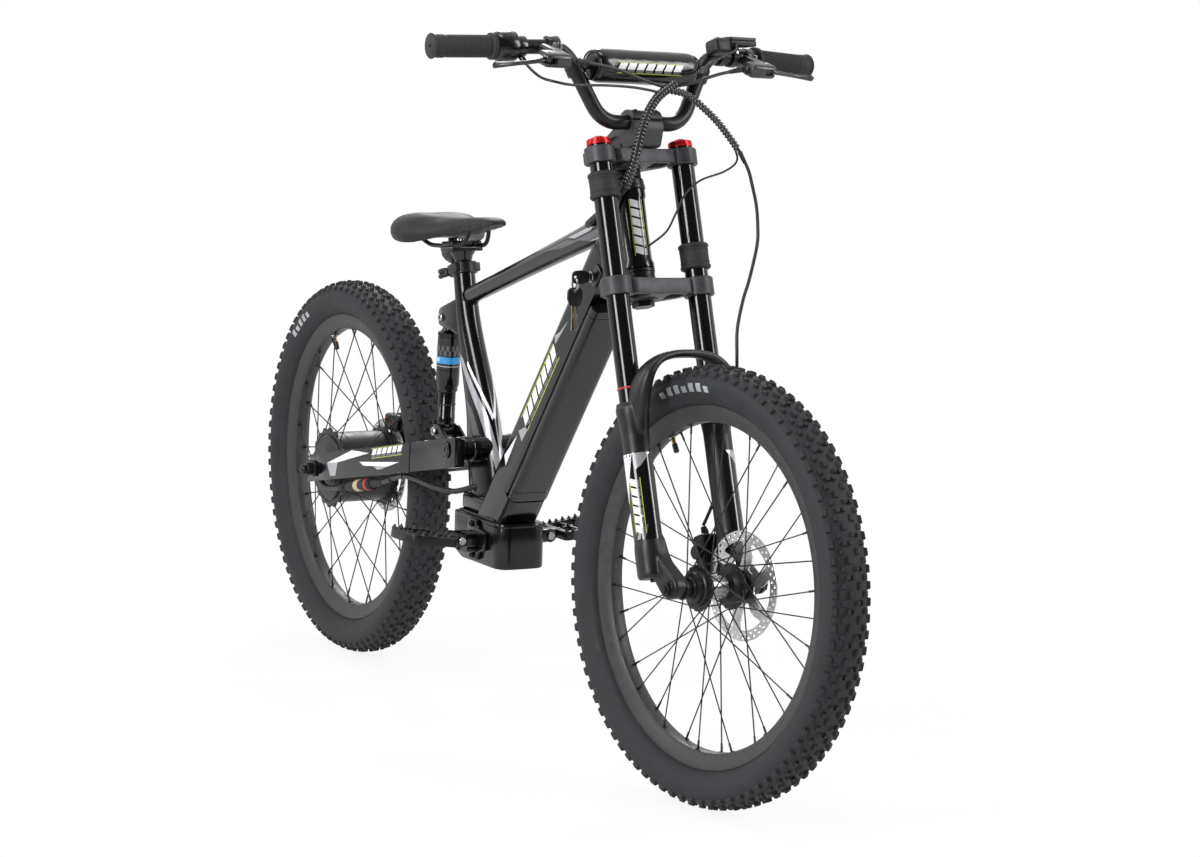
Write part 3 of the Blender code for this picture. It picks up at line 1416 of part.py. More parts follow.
def lever_perch(side, ring_y):
    """The clamp on the bar, the arm ahead of it and the lever's fork."""
    low, high = ring_y - 0.009, ring_y + 0.009
    clamp = rod(0.0155, on_bar(side * low), on_bar(side * high), ROUND)
    pivot = lever_pivot(side)
    axis = lever_axis()
    body_turn = Matrix.Rotation(math.atan2(axis.x, axis.z), 4, "Y")
    start = on_bar(side * ring_y)
    reach = pivot - start
    reach.y = 0
    arm_middle = start + reach * 0.52 + Vector((0, side * (0.190 - ring_y) * 0.5, 0))
    arm = block((reach.length * 0.70, 0.024, 0.018), arm_middle, 0.003, body_turn)
    fork = block((0.028, 0.046, 0.021), pivot - Vector((0, side * 0.012, 0)), 0.003, body_turn)
    slot = block((0.060, 0.060, 0.0086), pivot + Vector((0, side * 0.0215, 0)), 0, body_turn)
    pin_bore = rod(around(LEVER_PIN_RADIUS), pivot - axis * 0.02, pivot + axis * 0.02)
    barrel = rod(0.0055, pivot - Vector((0, side * 0.030, 0)), barrel_end(side), SMALL_ROUND)
    solid = union(clamp, arm, fork, barrel)
    return cut(solid, slot, pin_bore, bar_tunnel())


def barrel_end(side):
    """Where a brake cable leaves its lever's adjuster."""
    return lever_pivot(side) + Vector((0.001, -side * 0.046, -0.001))


def brake_lever(side):
    """A curved blade on a hub that turns on the pin fused to it."""
    pivot = lever_pivot(side)
    axis = lever_axis()
    hub = rod(0.0075, pivot - axis * 0.0038, pivot + axis * 0.0038, 16)
    pin = rod(LEVER_PIN_RADIUS, pivot - axis * 0.0098, pivot + axis * 0.0098, SMALL_ROUND)
    ahead = Vector((axis.z, 0, -axis.x))
    path = [
        pivot,
        pivot + Vector((0, side * 0.016, 0)) + ahead * 0.004,
        pivot + Vector((0, side * 0.050, 0)) + ahead * 0.0015,
        pivot + Vector((0, side * 0.086, 0)) + ahead * 0.005,
    ]
    blade = bar(smooth(path, 0.022), 0.0036, 1)
    knob = ball(0.0052, path[-1])
    return union(hub, pin, blade, knob)


def ball(radius, centre):
    bm = bmesh.new()
    bmesh.ops.create_uvsphere(bm, u_segments=8, v_segments=5, radius=radius)
    bm.transform(Matrix.Translation(centre))
    return scratch(bm)


def display():
    """A small screen on a bracket that is clamped to the bar."""
    tilt = Matrix.Rotation(math.radians(12), 4, "Y")
    middle = Vector((CROWN_OFFSET + 0.032, 0.180, BAR_HEIGHT + 0.130))
    case = block((0.034, 0.052, 0.013), middle, 0.003, tilt)
    clamp = rod(0.0150, on_bar(0.174), on_bar(0.186), ROUND)
    neck = block((0.016, 0.010, 0.022), (CROWN_OFFSET + 0.022, 0.180, BAR_HEIGHT + 0.120))
    return cut(union(case, neck, clamp), bar_tunnel())


def switch_pod():
    """The switch housing on the bar, inboard of the display, with a bore for its button."""
    clamp = rod(0.0150, on_bar(0.150), on_bar(0.163), ROUND)
    body = block((0.030, 0.030, 0.024), button_point(-0.012), 0.005)
    bore = rod(around(BUTTON_RADIUS), button_point(-0.0055), button_point(0.02))
    return cut(union(body, clamp), bar_tunnel(), bore)


def button_point(outward):
    """A point on the button's axis, outward of the pod's upper face."""
    return on_bar(0.146) + Vector((0.022, -0.0085, 0.018 + outward))


def mode_button():
    return rod(BUTTON_RADIUS, button_point(-0.0030), button_point(0.0025), SMALL_ROUND)


# Cables, each along its real route


def ahead_of_legs(points):
    """Route points in the fork's frame, from (ahead of the stanchions, sideways, height)."""
    return [Vector((CROWN_OFFSET + f, y, s)) for f, y, s in points]


def below_bar(points):
    """Route points in the fork's frame, from (ahead of the stanchions, sideways, above the bar's middle)."""
    return ahead_of_legs([(f, y, BAR_HEIGHT + rise) for f, y, rise in points])


def in_fork(point):
    """A bicycle point in the fork's frame."""
    return steering_matrix().inverted() @ point


def control_cables():
    """Both brake cables, the throttle and display wires and the two wrapped looms that they gather into."""
    gather = (0.050, 0.026, 0.041)
    right_barrel = barrel_end(-1) + Vector((0, 0.0010, 0))
    left_barrel = barrel_end(1) - Vector((0, 0.0010, 0))
    right_route = [(0.066, -0.110, 0.067), (0.062, -0.070, 0.062), (0.056, -0.020, 0.050), gather]
    right_brake = [right_barrel] + below_bar(right_route)
    left_brake = [left_barrel] + below_bar([(0.068, 0.110, 0.061), (0.061, 0.066, 0.049), gather])
    throttle = [throttle_exit() + Vector((0.0004, 0, -0.0009))]
    throttle += below_bar(
        [
            (0.036, -0.200, 0.060),
            (0.054, -0.199, 0.046),
            (0.072, -0.190, 0.036),
            (0.074, -0.160, 0.032),
            (0.070, -0.100, 0.035),
            (0.062, -0.040, 0.036),
            (0.0515, 0.022, 0.032),
        ]
    )
    display_wire = below_bar(
        [
            (0.0485, 0.165, 0.116),
            (0.062, 0.152, 0.101),
            (0.066, 0.128, 0.091),
            (0.064, 0.090, 0.073),
            (0.060, 0.055, 0.052),
            (0.050, 0.030, 0.042),
        ]
    )
    port = in_fork(loom_port() + Vector((0, 0.005, 0)))
    outside = in_fork(loom_port() - Vector((-0.001, 0.014, 0)))
    beside = in_fork(loom_port() - Vector((-0.012, 0.026, -0.001)))
    loom = below_bar([(0.054, 0.034, 0.046), (0.050, 0.014, 0.022), (0.046, -0.004, -0.006)])
    loom += ahead_of_legs(
        [
            (0.040, -0.020, 0.656),
            (0.030, -0.034, 0.624),
            (0.006, -0.038, 0.597),
            (-0.030, -0.040, 0.582),
        ]
    )
    loom += [beside, outside, port]
    second = below_bar([(0.050, 0.020, 0.040), (0.060, 0.052, 0.030), (0.067, 0.072, 0.010)])
    second += ahead_of_legs([(0.073, 0.090, 0.680), (0.078, 0.104, 0.657), (0.081, 0.114, 0.639)])
    wire = ahead_of_legs(
        [
            (0.079, 0.110, 0.646),
            (0.072, 0.119, 0.622),
            (0.064, 0.099, 0.607),
            (0.057, 0.060, 0.595),
            (0.050, 0.034, 0.576),
            (0.038, 0.020, 0.548),
            (0.018, 0.014, 0.526),
            (-0.0165, 0.004, 0.512),
        ]
    )
    pieces = [bar(smooth(route, 0.030), BRAKE_CABLE_RADIUS, 1) for route in (right_brake, left_brake)]
    pieces.append(bar(smooth(throttle, 0.026), WIRE_RADIUS + 0.0003, 1))
    pieces.append(bar(smooth(display_wire, 0.026), WIRE_RADIUS, 1))
    pieces.append(bar(smooth(second, 0.024), LOOM_RADIUS - 0.0005, 1))
    pieces.append(bar(smooth(wire, 0.028), WIRE_RADIUS, 0))
    return union(bar(smooth(loom, 0.024), LOOM_RADIUS, 1), *pieces)


def front_brake_hose():
    """From the second loom's end, down in front of the left stanchion and round the leg to the caliper."""
    route = ahead_of_legs(
        [
            (0.0822, 0.1176, 0.6325),
            (0.0800, 0.131, 0.607),
            (0.075, 0.139, 0.583),
            (0.072, 0.144, 0.555),
            (0.068, 0.145, 0.526),
            (0.064, 0.142, 0.497),
            (0.056, 0.126, 0.448),
            (0.050, 0.114, 0.418),
            (0.043, 0.102, 0.376),
            (0.036, 0.100, 0.335),
            (0.022, 0.103, 0.295),
            (0.000, 0.1005, 0.250),
            (-0.014, 0.096, 0.200),
            (-0.024, 0.087, 0.160),
            (-0.034, 0.071, 0.125),
        ]
    )
    route.append(caliper_inlet() + Vector((-0.0006, 0.0004, 0.0020)))
    return bar(smooth(route, 0.030), BRAKE_CABLE_RADIUS, 1)


def motor_cable():
    """Out of the axle's right end, along the arm's lower edge through its connector, into the frame."""
    arm = -ARM_INNER_HALF - ARM_THICKNESS / 2
    end = -ARM_INNER_HALF - ARM_THICKNESS - 0.014
    out = Vector((0, 1, 0))
    start = at(0, WHEEL_RADIUS, end - GAP)
    route = [
        start - out * 0.008,
        at(0.014, 0.306, end - 0.011),
        at(0.036, 0.293, -0.092),
        at(0.070, 0.2935, arm - 0.004),
        at(0.110, 0.3020, arm),
        at(0.180, 0.3160, arm),
        at(0.260, 0.3305, arm),
        at(0.330, 0.3440, arm),
        at(0.400, 0.3540, -0.066),
        at(0.455, 0.3580, -0.056),
        at(0.500, 0.3610, -0.046),
        motor_port() - Vector((0.001, 0.010, 0)),
        motor_port() + Vector((0, 0.007, 0)),
    ]
    cable = bar([start] + smooth(route, 0.024), MOTOR_CABLE_RADIUS, 1)
    low, high = at(0.100, 0.3000, arm), at(0.262, 0.3310, arm)
    along = high - low
    body = rod(0.0085, low, high, SMALL_ROUND)
    rings = []
    for share in (0.10, 0.42, 0.72):
        rings.append(rod(0.0112, low + along * share, low + along * (share + 0.10), SMALL_ROUND))
    return union(cable, body, *rings)


# Assembly


def add_wheels(steering):
    front_lead, rear_lead = math.radians(60), math.radians(20)
    front = Vector((CROWN_OFFSET + FORK_OFFSET, 0, 0))
    rear = at(0, WHEEL_RADIUS)
    motor_edge = MOTOR_FLANGE_RADIUS + MOTOR_SCALLOP
    motor_half = MOTOR_FLANGE_HALF - MOTOR_FLANGE_THICKNESS / 2
    front_rim = spoked_rim(HUB_FLANGE_RADIUS, HUB_FLANGE_HALF, front_lead)
    rear_rim = spoked_rim(motor_edge, motor_half, rear_lead)
    pieces = [
        ("front_tyre", tyre(), "tyre_rubber", steering, front),
        ("front_rim", front_rim, "rim_alloy", steering, front),
        ("front_hub", front_hub(), "black_anodised", steering, front),
        ("front_rotor", rotor(FRONT_ROTOR_Y), "steel", steering, front),
        ("rear_tyre", tyre(), "tyre_rubber", None, rear),
        ("rear_rim", rear_rim, "rim_alloy", None, rear),
        ("hub_motor", hub_motor(), "black_anodised", None, rear),
        ("rear_rotor", rotor(REAR_ROTOR_Y), "steel", None, rear),
    ]
    for name, obj, finish, parent, centre in pieces:
        placed(obj, Matrix.Translation(centre))
        part(name, obj, finish, parent, centre)


def add_frame():
    part("main_frame", main_frame(), "frame_paint")
    low_cup, top_cup = headset_cups()
    part("lower_headset_cup", low_cup, "black_anodised", None, steering_point(HEAD_TUBE_LOW))
    part("upper_headset_cup", top_cup, "black_anodised", None, steering_point(HEAD_TUBE_HIGH))
    part("control_box", control_box(), "frame_paint")
    for side, name in ((-1, "right"), (1, "left")):
        pin = at(PEG_AHEAD, PEG_HEIGHT, side * PEG_Y)
        part("peg_bracket_" + name, peg_bracket(side), "black_steel", None, pin)
        part("footpeg_" + name, footpeg(side), "black_steel", None, pin)
    part("seat_collar", seat_collar(), "black_anodised", None, at(*SEAT_TUBE_TOP))
    part("seat_lever", seat_lever(), "black_anodised", None, lever_cam())
    part("battery_lock", battery_lock(), "steel", None, lock_point(0))
    part("battery", battery(), "battery_case", None, battery_hinge())
    part("key", key(), "steel", None, lock_point(0.01))
    part("spare_key", spare_key(), "steel", None, key_hole())


def battery_hinge():
    """The battery tips out about the outer edge of its lower end."""
    return down_tube_matrix() @ Vector((BATTERY_START, 0, -BATTERY_DEPTH))


def add_rear():
    part("swingarm", swingarm(), "frame_paint", None, at(*PIVOT))
    part("pivot_axle", pivot_axle(), "black_steel", None, at(*PIVOT))
    part("rear_axle", rear_axle(), "black_steel", None, at(0, WHEEL_RADIUS))
    part("rear_caliper", rear_caliper(), "black_anodised", None, at(0, WHEEL_RADIUS))
    part("motor_cable", motor_cable(), "cable_jacket")
    part("shock_can", shock_can(), "black_anodised", None, at(*SHOCK_TOP))
    part("shock_shaft", shock_shaft(), "black_anodised", None, at(*SHOCK_FOOT))


def add_seat():
    mouth = at(*SEAT_TUBE_TOP)
    part("seat_post", seat_post(), "black_anodised", None, mouth)
    part("saddle_rails", saddle_rails(), "steel", None, mouth)
    part("saddle", saddle(), "saddle_cover", None, mouth, 60)


def add_fork(steering):
    part("steerer", steerer(), "black_steel", steering)
    part("upper_crown", crown(UPPER_CROWN, UPPER_CROWN_HEIGHT), "grey_anodised", steering)
    part("lower_crown", crown(LOWER_CROWN, LOWER_CROWN_HEIGHT), "grey_anodised", steering)
    for side, name, low in ((-1, "right", RIGHT_BUMPER), (1, "left", LEFT_BUMPER)):
        part("stanchion_" + name, stanchion(side), "black_anodised", steering, leg(side))
        part("fork_cap_" + name, fork_cap(side), "red_anodised", steering, leg(side, STANCHION_TOP))
        part("bumper_" + name, bumper(low, side), "rubber", steering, leg(side, low))
    part("fork_lowers", fork_lowers(), "frame_paint", steering)
    part("front_axle", front_axle(), "black_steel", steering, (CROWN_OFFSET + FORK_OFFSET, 0, 0))
    part("front_caliper", front_caliper(), "black_anodised", steering)


def add_cockpit(steering):
    part("stem", stem(), "black_anodised", steering)
    part("bar_clamp", bar_clamp(), "black_anodised", steering)
    part("handlebar", handlebar(), "black_anodised", steering)
    part("bar_pad", bar_pad(), "pad_cover", steering)
    part("left_grip", left_grip(), "rubber", steering, on_bar(0.232))
    part("throttle_grip", throttle_grip(), "rubber", steering, on_bar(-0.245))
    part("throttle_housing", throttle_housing(), "plastic", steering)
    for side, name, ring_y in ((-1, "right", 0.150), (1, "left", 0.210)):
        part("lever_perch_" + name, lever_perch(side, ring_y), "black_anodised", steering)
        part("brake_lever_" + name, brake_lever(side), "black_anodised", steering, lever_pivot(side))
    part("display", display(), "plastic", steering)
    part("switch_pod", switch_pod(), "plastic", steering)
    part("mode_button", mode_button(), "rubber", steering, button_point(0))
    part("control_cables", control_cables(), "cable_jacket", steering)
    part("front_brake_hose", front_brake_hose(), "cable_jacket", steering)


def main():
    clear_scene()
    make_materials()
    steering = bpy.data.objects.new("steering", None)
    bpy.data.collections[PARTS].objects.link(steering)
    steering.matrix_world = steering_matrix()
    add_frame()
    add_rear()
    add_seat()
    add_fork(steering)
    add_cockpit(steering)
    add_wheels(steering)
    bpy.data.collections.remove(bpy.data.collections[SHAPING])


main()
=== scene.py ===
"""Electric off-road bicycle, dressed for the studio.

Every piece lies in the bicycle's frame: metres, +X forward, +Y to the rider's left, +Z up. Pieces of
the fork and the handlebar are shaped in the fork's own frame, X ahead of the steering axis and Z up
along it, and are then laid in place.
"""

import json
import math

import bmesh
import bpy
from mathutils import Matrix, Vector

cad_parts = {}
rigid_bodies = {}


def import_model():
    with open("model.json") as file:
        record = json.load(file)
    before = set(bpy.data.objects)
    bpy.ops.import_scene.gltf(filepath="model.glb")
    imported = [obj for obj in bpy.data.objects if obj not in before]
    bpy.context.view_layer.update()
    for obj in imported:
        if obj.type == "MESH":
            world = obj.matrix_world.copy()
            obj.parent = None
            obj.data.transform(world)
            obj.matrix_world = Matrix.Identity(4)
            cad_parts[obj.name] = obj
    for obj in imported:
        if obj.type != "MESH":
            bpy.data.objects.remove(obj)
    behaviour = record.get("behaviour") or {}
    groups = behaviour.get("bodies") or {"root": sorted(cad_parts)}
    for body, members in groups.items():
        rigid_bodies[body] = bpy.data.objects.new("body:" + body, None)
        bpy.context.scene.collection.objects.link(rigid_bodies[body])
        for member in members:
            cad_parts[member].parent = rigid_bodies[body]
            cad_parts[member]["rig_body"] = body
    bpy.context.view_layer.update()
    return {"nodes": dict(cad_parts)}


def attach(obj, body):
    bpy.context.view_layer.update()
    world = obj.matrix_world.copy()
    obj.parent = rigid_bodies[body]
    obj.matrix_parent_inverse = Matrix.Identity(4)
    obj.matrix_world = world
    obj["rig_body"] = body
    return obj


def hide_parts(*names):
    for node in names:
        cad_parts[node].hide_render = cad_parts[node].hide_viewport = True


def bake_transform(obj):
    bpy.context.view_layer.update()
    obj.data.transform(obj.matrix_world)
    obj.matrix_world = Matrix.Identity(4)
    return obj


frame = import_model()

# Layout, as in the solids
BOX_AHEAD = 0.55
BOX_CLEARANCE = 0.248
WHEELBASE = 1.22
WHEEL_RADIUS = 0.32
HEAD_TILT = math.radians(18.3)
CROWN_OFFSET = 0.04
FORK_OFFSET = 0.043
STEER_AT_REST = math.radians(8.25)
STANCHION_HALF = 0.074
STANCHION_RADIUS = 0.017
STANCHION_TOP = 0.657
SPOKES = 36
ARM_INNER_HALF = 0.062
ARM_THICKNESS = 0.018
DOWN_TUBE_SLOPE = math.radians(51.35)
DOWN_TUBE_WIDTH = 0.066
DOWN_TUBE_DEPTH = 0.055
DOWN_TUBE_LENGTH = 0.59
BATTERY_START = 0.099
BATTERY_LENGTH = 0.415
BATTERY_TOP = -0.0558
BATTERY_UNDERSIDE = -0.0745
UPPER_CROWN = 0.63
LOWER_CROWN = 0.434
BAR_RADIUS = 0.011
BAR_BORE = 0.0113

BAR_AHEAD = 0.05
BAR_HEIGHT = 0.692
BAR_END = (0.032, 0.338, 0.796)
BAR_CORNER = (0.06, 0.13, 0.797)
GRIP_RADIUS = 0.0165
PIVOT = (0.519, 0.424)
SEAT_TUBE_TOP = (0.392, 0.69)
SHOCK_TOP = (0.36, 0.615)
SHOCK_FOOT = (0.348, 0.428)
CABLE_PORT = (0.905, 0.814, -0.02)
MOTOR_PORT = (0.512, 0.362)
BOX_TOP = BOX_CLEARANCE + 0.0723

TURN_TO_Y = Matrix.Rotation(-math.pi / 2, 4, "X")
SIDE_VIEW = Matrix.Rotation(math.pi / 2, 4, "X")
TURN = 2 * math.pi


def at(ahead, height, y=0.0):
    """A frame point, from its place ahead of the rear axle and its height above the ground."""
    return Vector((ahead - BOX_AHEAD, y, height - BOX_CLEARANCE))


def fork_matrix():
    ahead = Vector((math.cos(HEAD_TILT), 0, math.sin(HEAD_TILT)))
    base = at(WHEELBASE, WHEEL_RADIUS) - ahead * (CROWN_OFFSET + FORK_OFFSET)
    tilt = Matrix.Rotation(-HEAD_TILT, 4, "Y")
    return Matrix.Translation(base) @ tilt @ Matrix.Rotation(STEER_AT_REST, 4, "Z")


FORK = fork_matrix()
HEAD = FORK @ Matrix.Rotation(-STEER_AT_REST, 4, "Z")
DOWN_TUBE = Matrix.Translation(at(0.539, 0.324)) @ Matrix.Rotation(-DOWN_TUBE_SLOPE, 4, "Y")
REAR_WHEEL = Matrix.Translation(at(0, WHEEL_RADIUS))
FRONT_WHEEL = FORK @ Matrix.Translation((CROWN_OFFSET + FORK_OFFSET, 0, 0))


def steering_point(height):
    return HEAD @ Vector((0, 0, height))


def leg(side, height=0.0):
    """A point on the middle of a fork leg. Side is 1 on the left and -1 on the right."""
    return Vector((CROWN_OFFSET, side * STANCHION_HALF, height))


# Materials


def linear(code, alpha=1.0):
    """An sRGB hex colour as linear values."""
    values = [int(code[i : i + 2], 16) / 255 for i in (0, 2, 4)]
    return (*[v / 12.92 if v <= 0.04045 else ((v + 0.055) / 1.055) ** 2.4 for v in values], alpha)


def add(tree, kind, settings=None, **links):
    """Adds a node, a shader's where its kind is given without a prefix. Settings are its properties and sockets'
    values. Links name what feeds a socket, which is given by its name or by i and its index."""
    node = tree.nodes.new(kind if "Node" in kind else "ShaderNode" + kind)
    for name, value in (settings or {}).items():
        if isinstance(name, str) and hasattr(node, name):
            setattr(node, name, value)
        else:
            node.inputs[name].default_value = value
    for name, source in links.items():
        key = int(name[1:]) if name[0] == "i" and name[1:].isdigit() else name.replace("_", " ")
        tree.links.new(source, node.inputs[key])
    return node


def blank_material(name):
    material = bpy.data.materials.new(name)
    material.use_nodes = True
    tree = material.node_tree
    return material, tree, tree.nodes["Principled BSDF"]


def mix(tree, share, first, second):
    """A colour between two, each a colour or another node's output."""
    node = tree.nodes.new("ShaderNodeMix")
    node.data_type = "RGBA"
    for index, value in ((0, share), (6, first), (7, second)):
        if isinstance(value, bpy.types.NodeSocket):
            tree.links.new(value, node.inputs[index])
        else:
            node.inputs[index].default_value = value
    return node.outputs[2]


def ramp(tree, source, low, high, start=0.0, end=1.0):
    """Source scaled from low..high to start..end, held at both."""
    settings = {1: low, 2: high, 3: start, 4: end, "clamp": True}
    return add(tree, "MapRange", settings, i0=source).outputs[0]


def object_coordinates(tree):
    return add(tree, "TexCoord").outputs["Object"]


def surface(name, base, second, roughness, grain_mm, bump=0.1, depth_mm=0.1, metallic=0.0, coat=0.0, spread=0.08,
            coordinates="Object", specular=0.5):
    """A finish with two tones that drift, an uneven gloss and a fine relief, all sized in millimetres."""
    material, tree, shader = blank_material(name)
    place = add(tree, "TexCoord").outputs[coordinates]
    cloud = add(tree, "TexNoise", {"Scale": 1000 / (grain_mm * 14), "Detail": 4.0, "Roughness": 0.6}, Vector=place)
    grain = add(tree, "TexNoise", {"Scale": 1000 / grain_mm, "Detail": 3.0}, Vector=place)
    drift = ramp(tree, cloud.outputs["Fac"], 0.35, 0.65)
    tree.links.new(mix(tree, drift, linear(base), linear(second)), shader.inputs["Base Color"])
    gloss = ramp(tree, cloud.outputs["Fac"], 0.3, 0.7, roughness - spread, roughness + spread)
    tree.links.new(gloss, shader.inputs["Roughness"])
    relief = add(tree, "Bump", {"Strength": bump, "Distance": depth_mm / 1000}, Height=grain.outputs["Fac"])
    tree.links.new(relief.outputs[0], shader.inputs["Normal"])
    shader.inputs["Metallic"].default_value = metallic
    shader.inputs["Coat Weight"].default_value = coat
    shader.inputs["Coat Roughness"].default_value = 0.06
    shader.inputs["Specular IOR Level"].default_value = specular
    return material


def make_materials():
    """One finish for each real material and the way its surface was made."""
    made = {}
    # Powder coat under clear lacquer: deep black with an orange-peel skin a few millimetres across
    made["paint"] = surface("gloss_black_lacquered_powder_coat", "050506", "070708", 0.16, 3.0, 0.012, 0.05,
                            spread=0.03, specular=0.45)
    made["box_paint"] = surface("gloss_black_lacquered_casting", "050506", "08080a", 0.18, 6.0, 0.08, 0.2,
                                spread=0.04, specular=0.4)
    # Blasted and anodised aluminium: a fine even grain with a soft metal sheen
    made["black_anodised"] = surface("black_anodised_aluminium_blasted", "101012", "161618", 0.38, 0.7, 0.08, 0.04,
                                     0.2, specular=0.4)
    made["grey_anodised"] = surface("dark_grey_anodised_aluminium_forged", "3a3a3d", "434346", 0.46, 0.7, 0.12, 0.05,
                                    0.35, specular=0.35)
    # Die-cast levers under grey lacquer: mid grey, smooth, with long soft highlights
    made["lever"] = surface("satin_grey_lacquered_die_casting", "27272a", "303034", 0.28, 1.4, 0.05, 0.04,
                            specular=0.5)
    made["red_anodised"] = surface("red_anodised_aluminium_turned", "b5141b", "cc1f24", 0.28, 0.6, 0.08, 0.03, 0.6)
    made["motor_shell"] = surface("black_painted_cast_aluminium", "0e0e10", "141416", 0.4, 1.2, 0.22, 0.1, 0.1,
                                  specular=0.4)
    made["rim"] = surface("matt_black_anodised_aluminium_rim", "2c2c2e", "363638", 0.46, 0.9, 0.08, 0.04, 0.1,
                          specular=0.4)
    made["stanchion"] = surface("gloss_black_plated_steel_tube", "040405", "060607", 0.12, 4.0, 0.006, 0.02,
                                 spread=0.015, specular=0.5)
    # Bare steels: bright, with drawn lines or a blasted face
    made["steel"] = surface("ground_stainless_steel", "b9babc", "a2a4a8", 0.3, 0.5, 0.1, 0.03, 1.0)
    made["disc_steel"] = surface("laser_cut_ground_stainless_steel", "c9c8c6", "b9b8b6", 0.34, 0.6, 0.12, 0.03, 0.9)
    made["polished"] = surface("polished_aluminium_turned", "9b9ca0", "8c8d92", 0.22, 0.5, 0.06, 0.02, 1.0)
    made["copper"] = surface("copper_plated_bolt", "b0663c", "9c5630", 0.3, 0.6, 0.06, 0.03, 1.0)
    made["brass"] = surface("nickel_plated_brass", "b39a6b", "a58a58", 0.3, 0.6, 0.06, 0.03, 1.0)
    made["black_steel"] = surface("black_oxide_steel", "131315", "1a1a1c", 0.4, 0.9, 0.12, 0.05, 0.3, specular=0.4)
    # Cast magnesium under satin lacquer: soft highlights, a faint skin of the mould's grain
    made["casting"] = surface("satin_black_lacquered_magnesium_casting", "0d0d0f", "131315", 0.4, 1.6, 0.05, 0.04,
                              spread=0.05, specular=0.4)
    made["spoke"] = surface("black_oxide_drawn_wire", "141416", "1a1a1c", 0.36, 0.8, 0.05, 0.02, 0.2)
    # Rubbers: pigment black with a dry bloom on the tyres and a finer skin on the grips
    made["tyre"] = surface("vulcanised_tyre_rubber", "1b1c1e", "28292c", 0.66, 1.6, 0.3, 0.16, spread=0.12,
                           specular=0.35)
    made["rubber"] = surface("moulded_grip_rubber", "1a1b1d", "242527", 0.66, 0.6, 0.2, 0.05, spread=0.08,
                             specular=0.4)
    made["plastic"] = surface("spark_eroded_black_nylon", "111113", "161618", 0.48, 0.5, 0.18, 0.05, specular=0.4)
    made["gloss_plastic"] = surface("gloss_moulded_black_abs", "09090a", "0d0d0e", 0.2, 4.0, 0.05, 0.05)
    made["battery"] = surface("satin_lacquered_battery_extrusion", "0e0e10", "111113", 0.24, 5.0, 0.012, 0.05,
                              specular=0.45)
    made["jacket"] = surface("extruded_pvc_cable_jacket", "121214", "1b1b1d", 0.44, 1.0, 0.08, 0.04)
    made["beige"] = surface("moulded_beige_connector_nylon", "b9a98c", "a99a7c", 0.5, 0.8, 0.1, 0.04)
    made["red_plastic"] = surface("moulded_red_connector_nylon", "b3261f", "9d1e19", 0.44, 0.8, 0.08, 0.04)
    made["green"] = surface("moulded_green_indicator_lens", "2fae4a", "37c256", 0.3, 0.8, 0.04, 0.03)
    made["saddle"] = saddle_cover()
    made["pad"] = surface("padded_gloss_vinyl", "070708", "0a0a0b", 0.2, 5.0, 0.03, 0.08, specular=0.5)
    made["screen"] = surface("tinted_display_glass", "0a0c10", "0d1014", 0.1, 6.0, 0.01, 0.01, coat=1.0, spread=0.02)
    made["stripe_white"] = surface("printed_white_film", "e4e5e7", "dadbdd", 0.28, 3.0, 0.03, 0.03, coat=0.6)
    made["stripe_silver"] = surface("printed_silver_film", "a9abaf", "9b9da2", 0.3, 3.0, 0.03, 0.03, 0.45, 0.6)
    made["stripe_grey"] = surface("printed_grey_film", "4a4b4f", "414246", 0.3, 3.0, 0.03, 0.03, 0.2, 0.6)
    made["stripe_panel"] = surface("printed_gloss_black_film", "050506", "080809", 0.12, 3.0, 0.02, 0.02,
                                   specular=0.6,
                                   spread=0.02)
    made["stripe_lime"] = surface("printed_lime_film", "b6c83c", "a8ba34", 0.3, 3.0, 0.03, 0.03, specular=0.4)
    # Extruded strip, wound in a spiral: glossy edges that catch the light at every turn
    made["wrap"] = surface("extruded_black_nylon_strip", "232325", "2c2c2f", 0.16, 0.8, 0.05, 0.03, specular=0.8)
    made["stripe_blue"] = surface("printed_blue_film", "1789c9", "1b7fb8", 0.3, 3.0, 0.03, 0.03, coat=0.5)
    return made


def saddle_cover():
    """Calendered vinyl over foam: a pebble grain 0.9 mm across, a soft sheen and worn, paler patches that drift at
    random.
    """
    material, tree, shader = blank_material("pebbled_black_vinyl")
    place = object_coordinates(tree)
    pebbles = add(tree, "TexVoronoi", {"Scale": 1000 / 1.3, "feature": "SMOOTH_F1"}, Vector=place)
    cloud = add(tree, "TexNoise", {"Scale": 28.0, "Detail": 5.0}, Vector=place)
    tone = ramp(tree, cloud.outputs["Fac"], 0.3, 0.7)
    tree.links.new(mix(tree, tone, linear("131315"), linear("1a1a1d")), shader.inputs["Base Color"])
    tree.links.new(ramp(tree, cloud.outputs["Fac"], 0.3, 0.7, 0.48, 0.64), shader.inputs["Roughness"])
    relief = add(tree, "Bump", {"Strength": 0.35, "Distance": 0.00025}, Height=pebbles.outputs["Distance"])
    tree.links.new(relief.outputs[0], shader.inputs["Normal"])
    shader.inputs["Sheen Weight"].default_value = 0.05
    shader.inputs["Specular IOR Level"].default_value = 0.32
    return material


MATERIALS = make_materials()


# Shaping tools. Each gives a loose object whose place is in its mesh.


def in_scene(obj):
    bpy.context.scene.collection.objects.link(obj)
    return obj


def new_object(bm, name="shape"):
    mesh = bpy.data.meshes.new(name)
    bm.to_mesh(mesh)
    bm.free()
    return in_scene(bpy.data.objects.new(name, mesh))


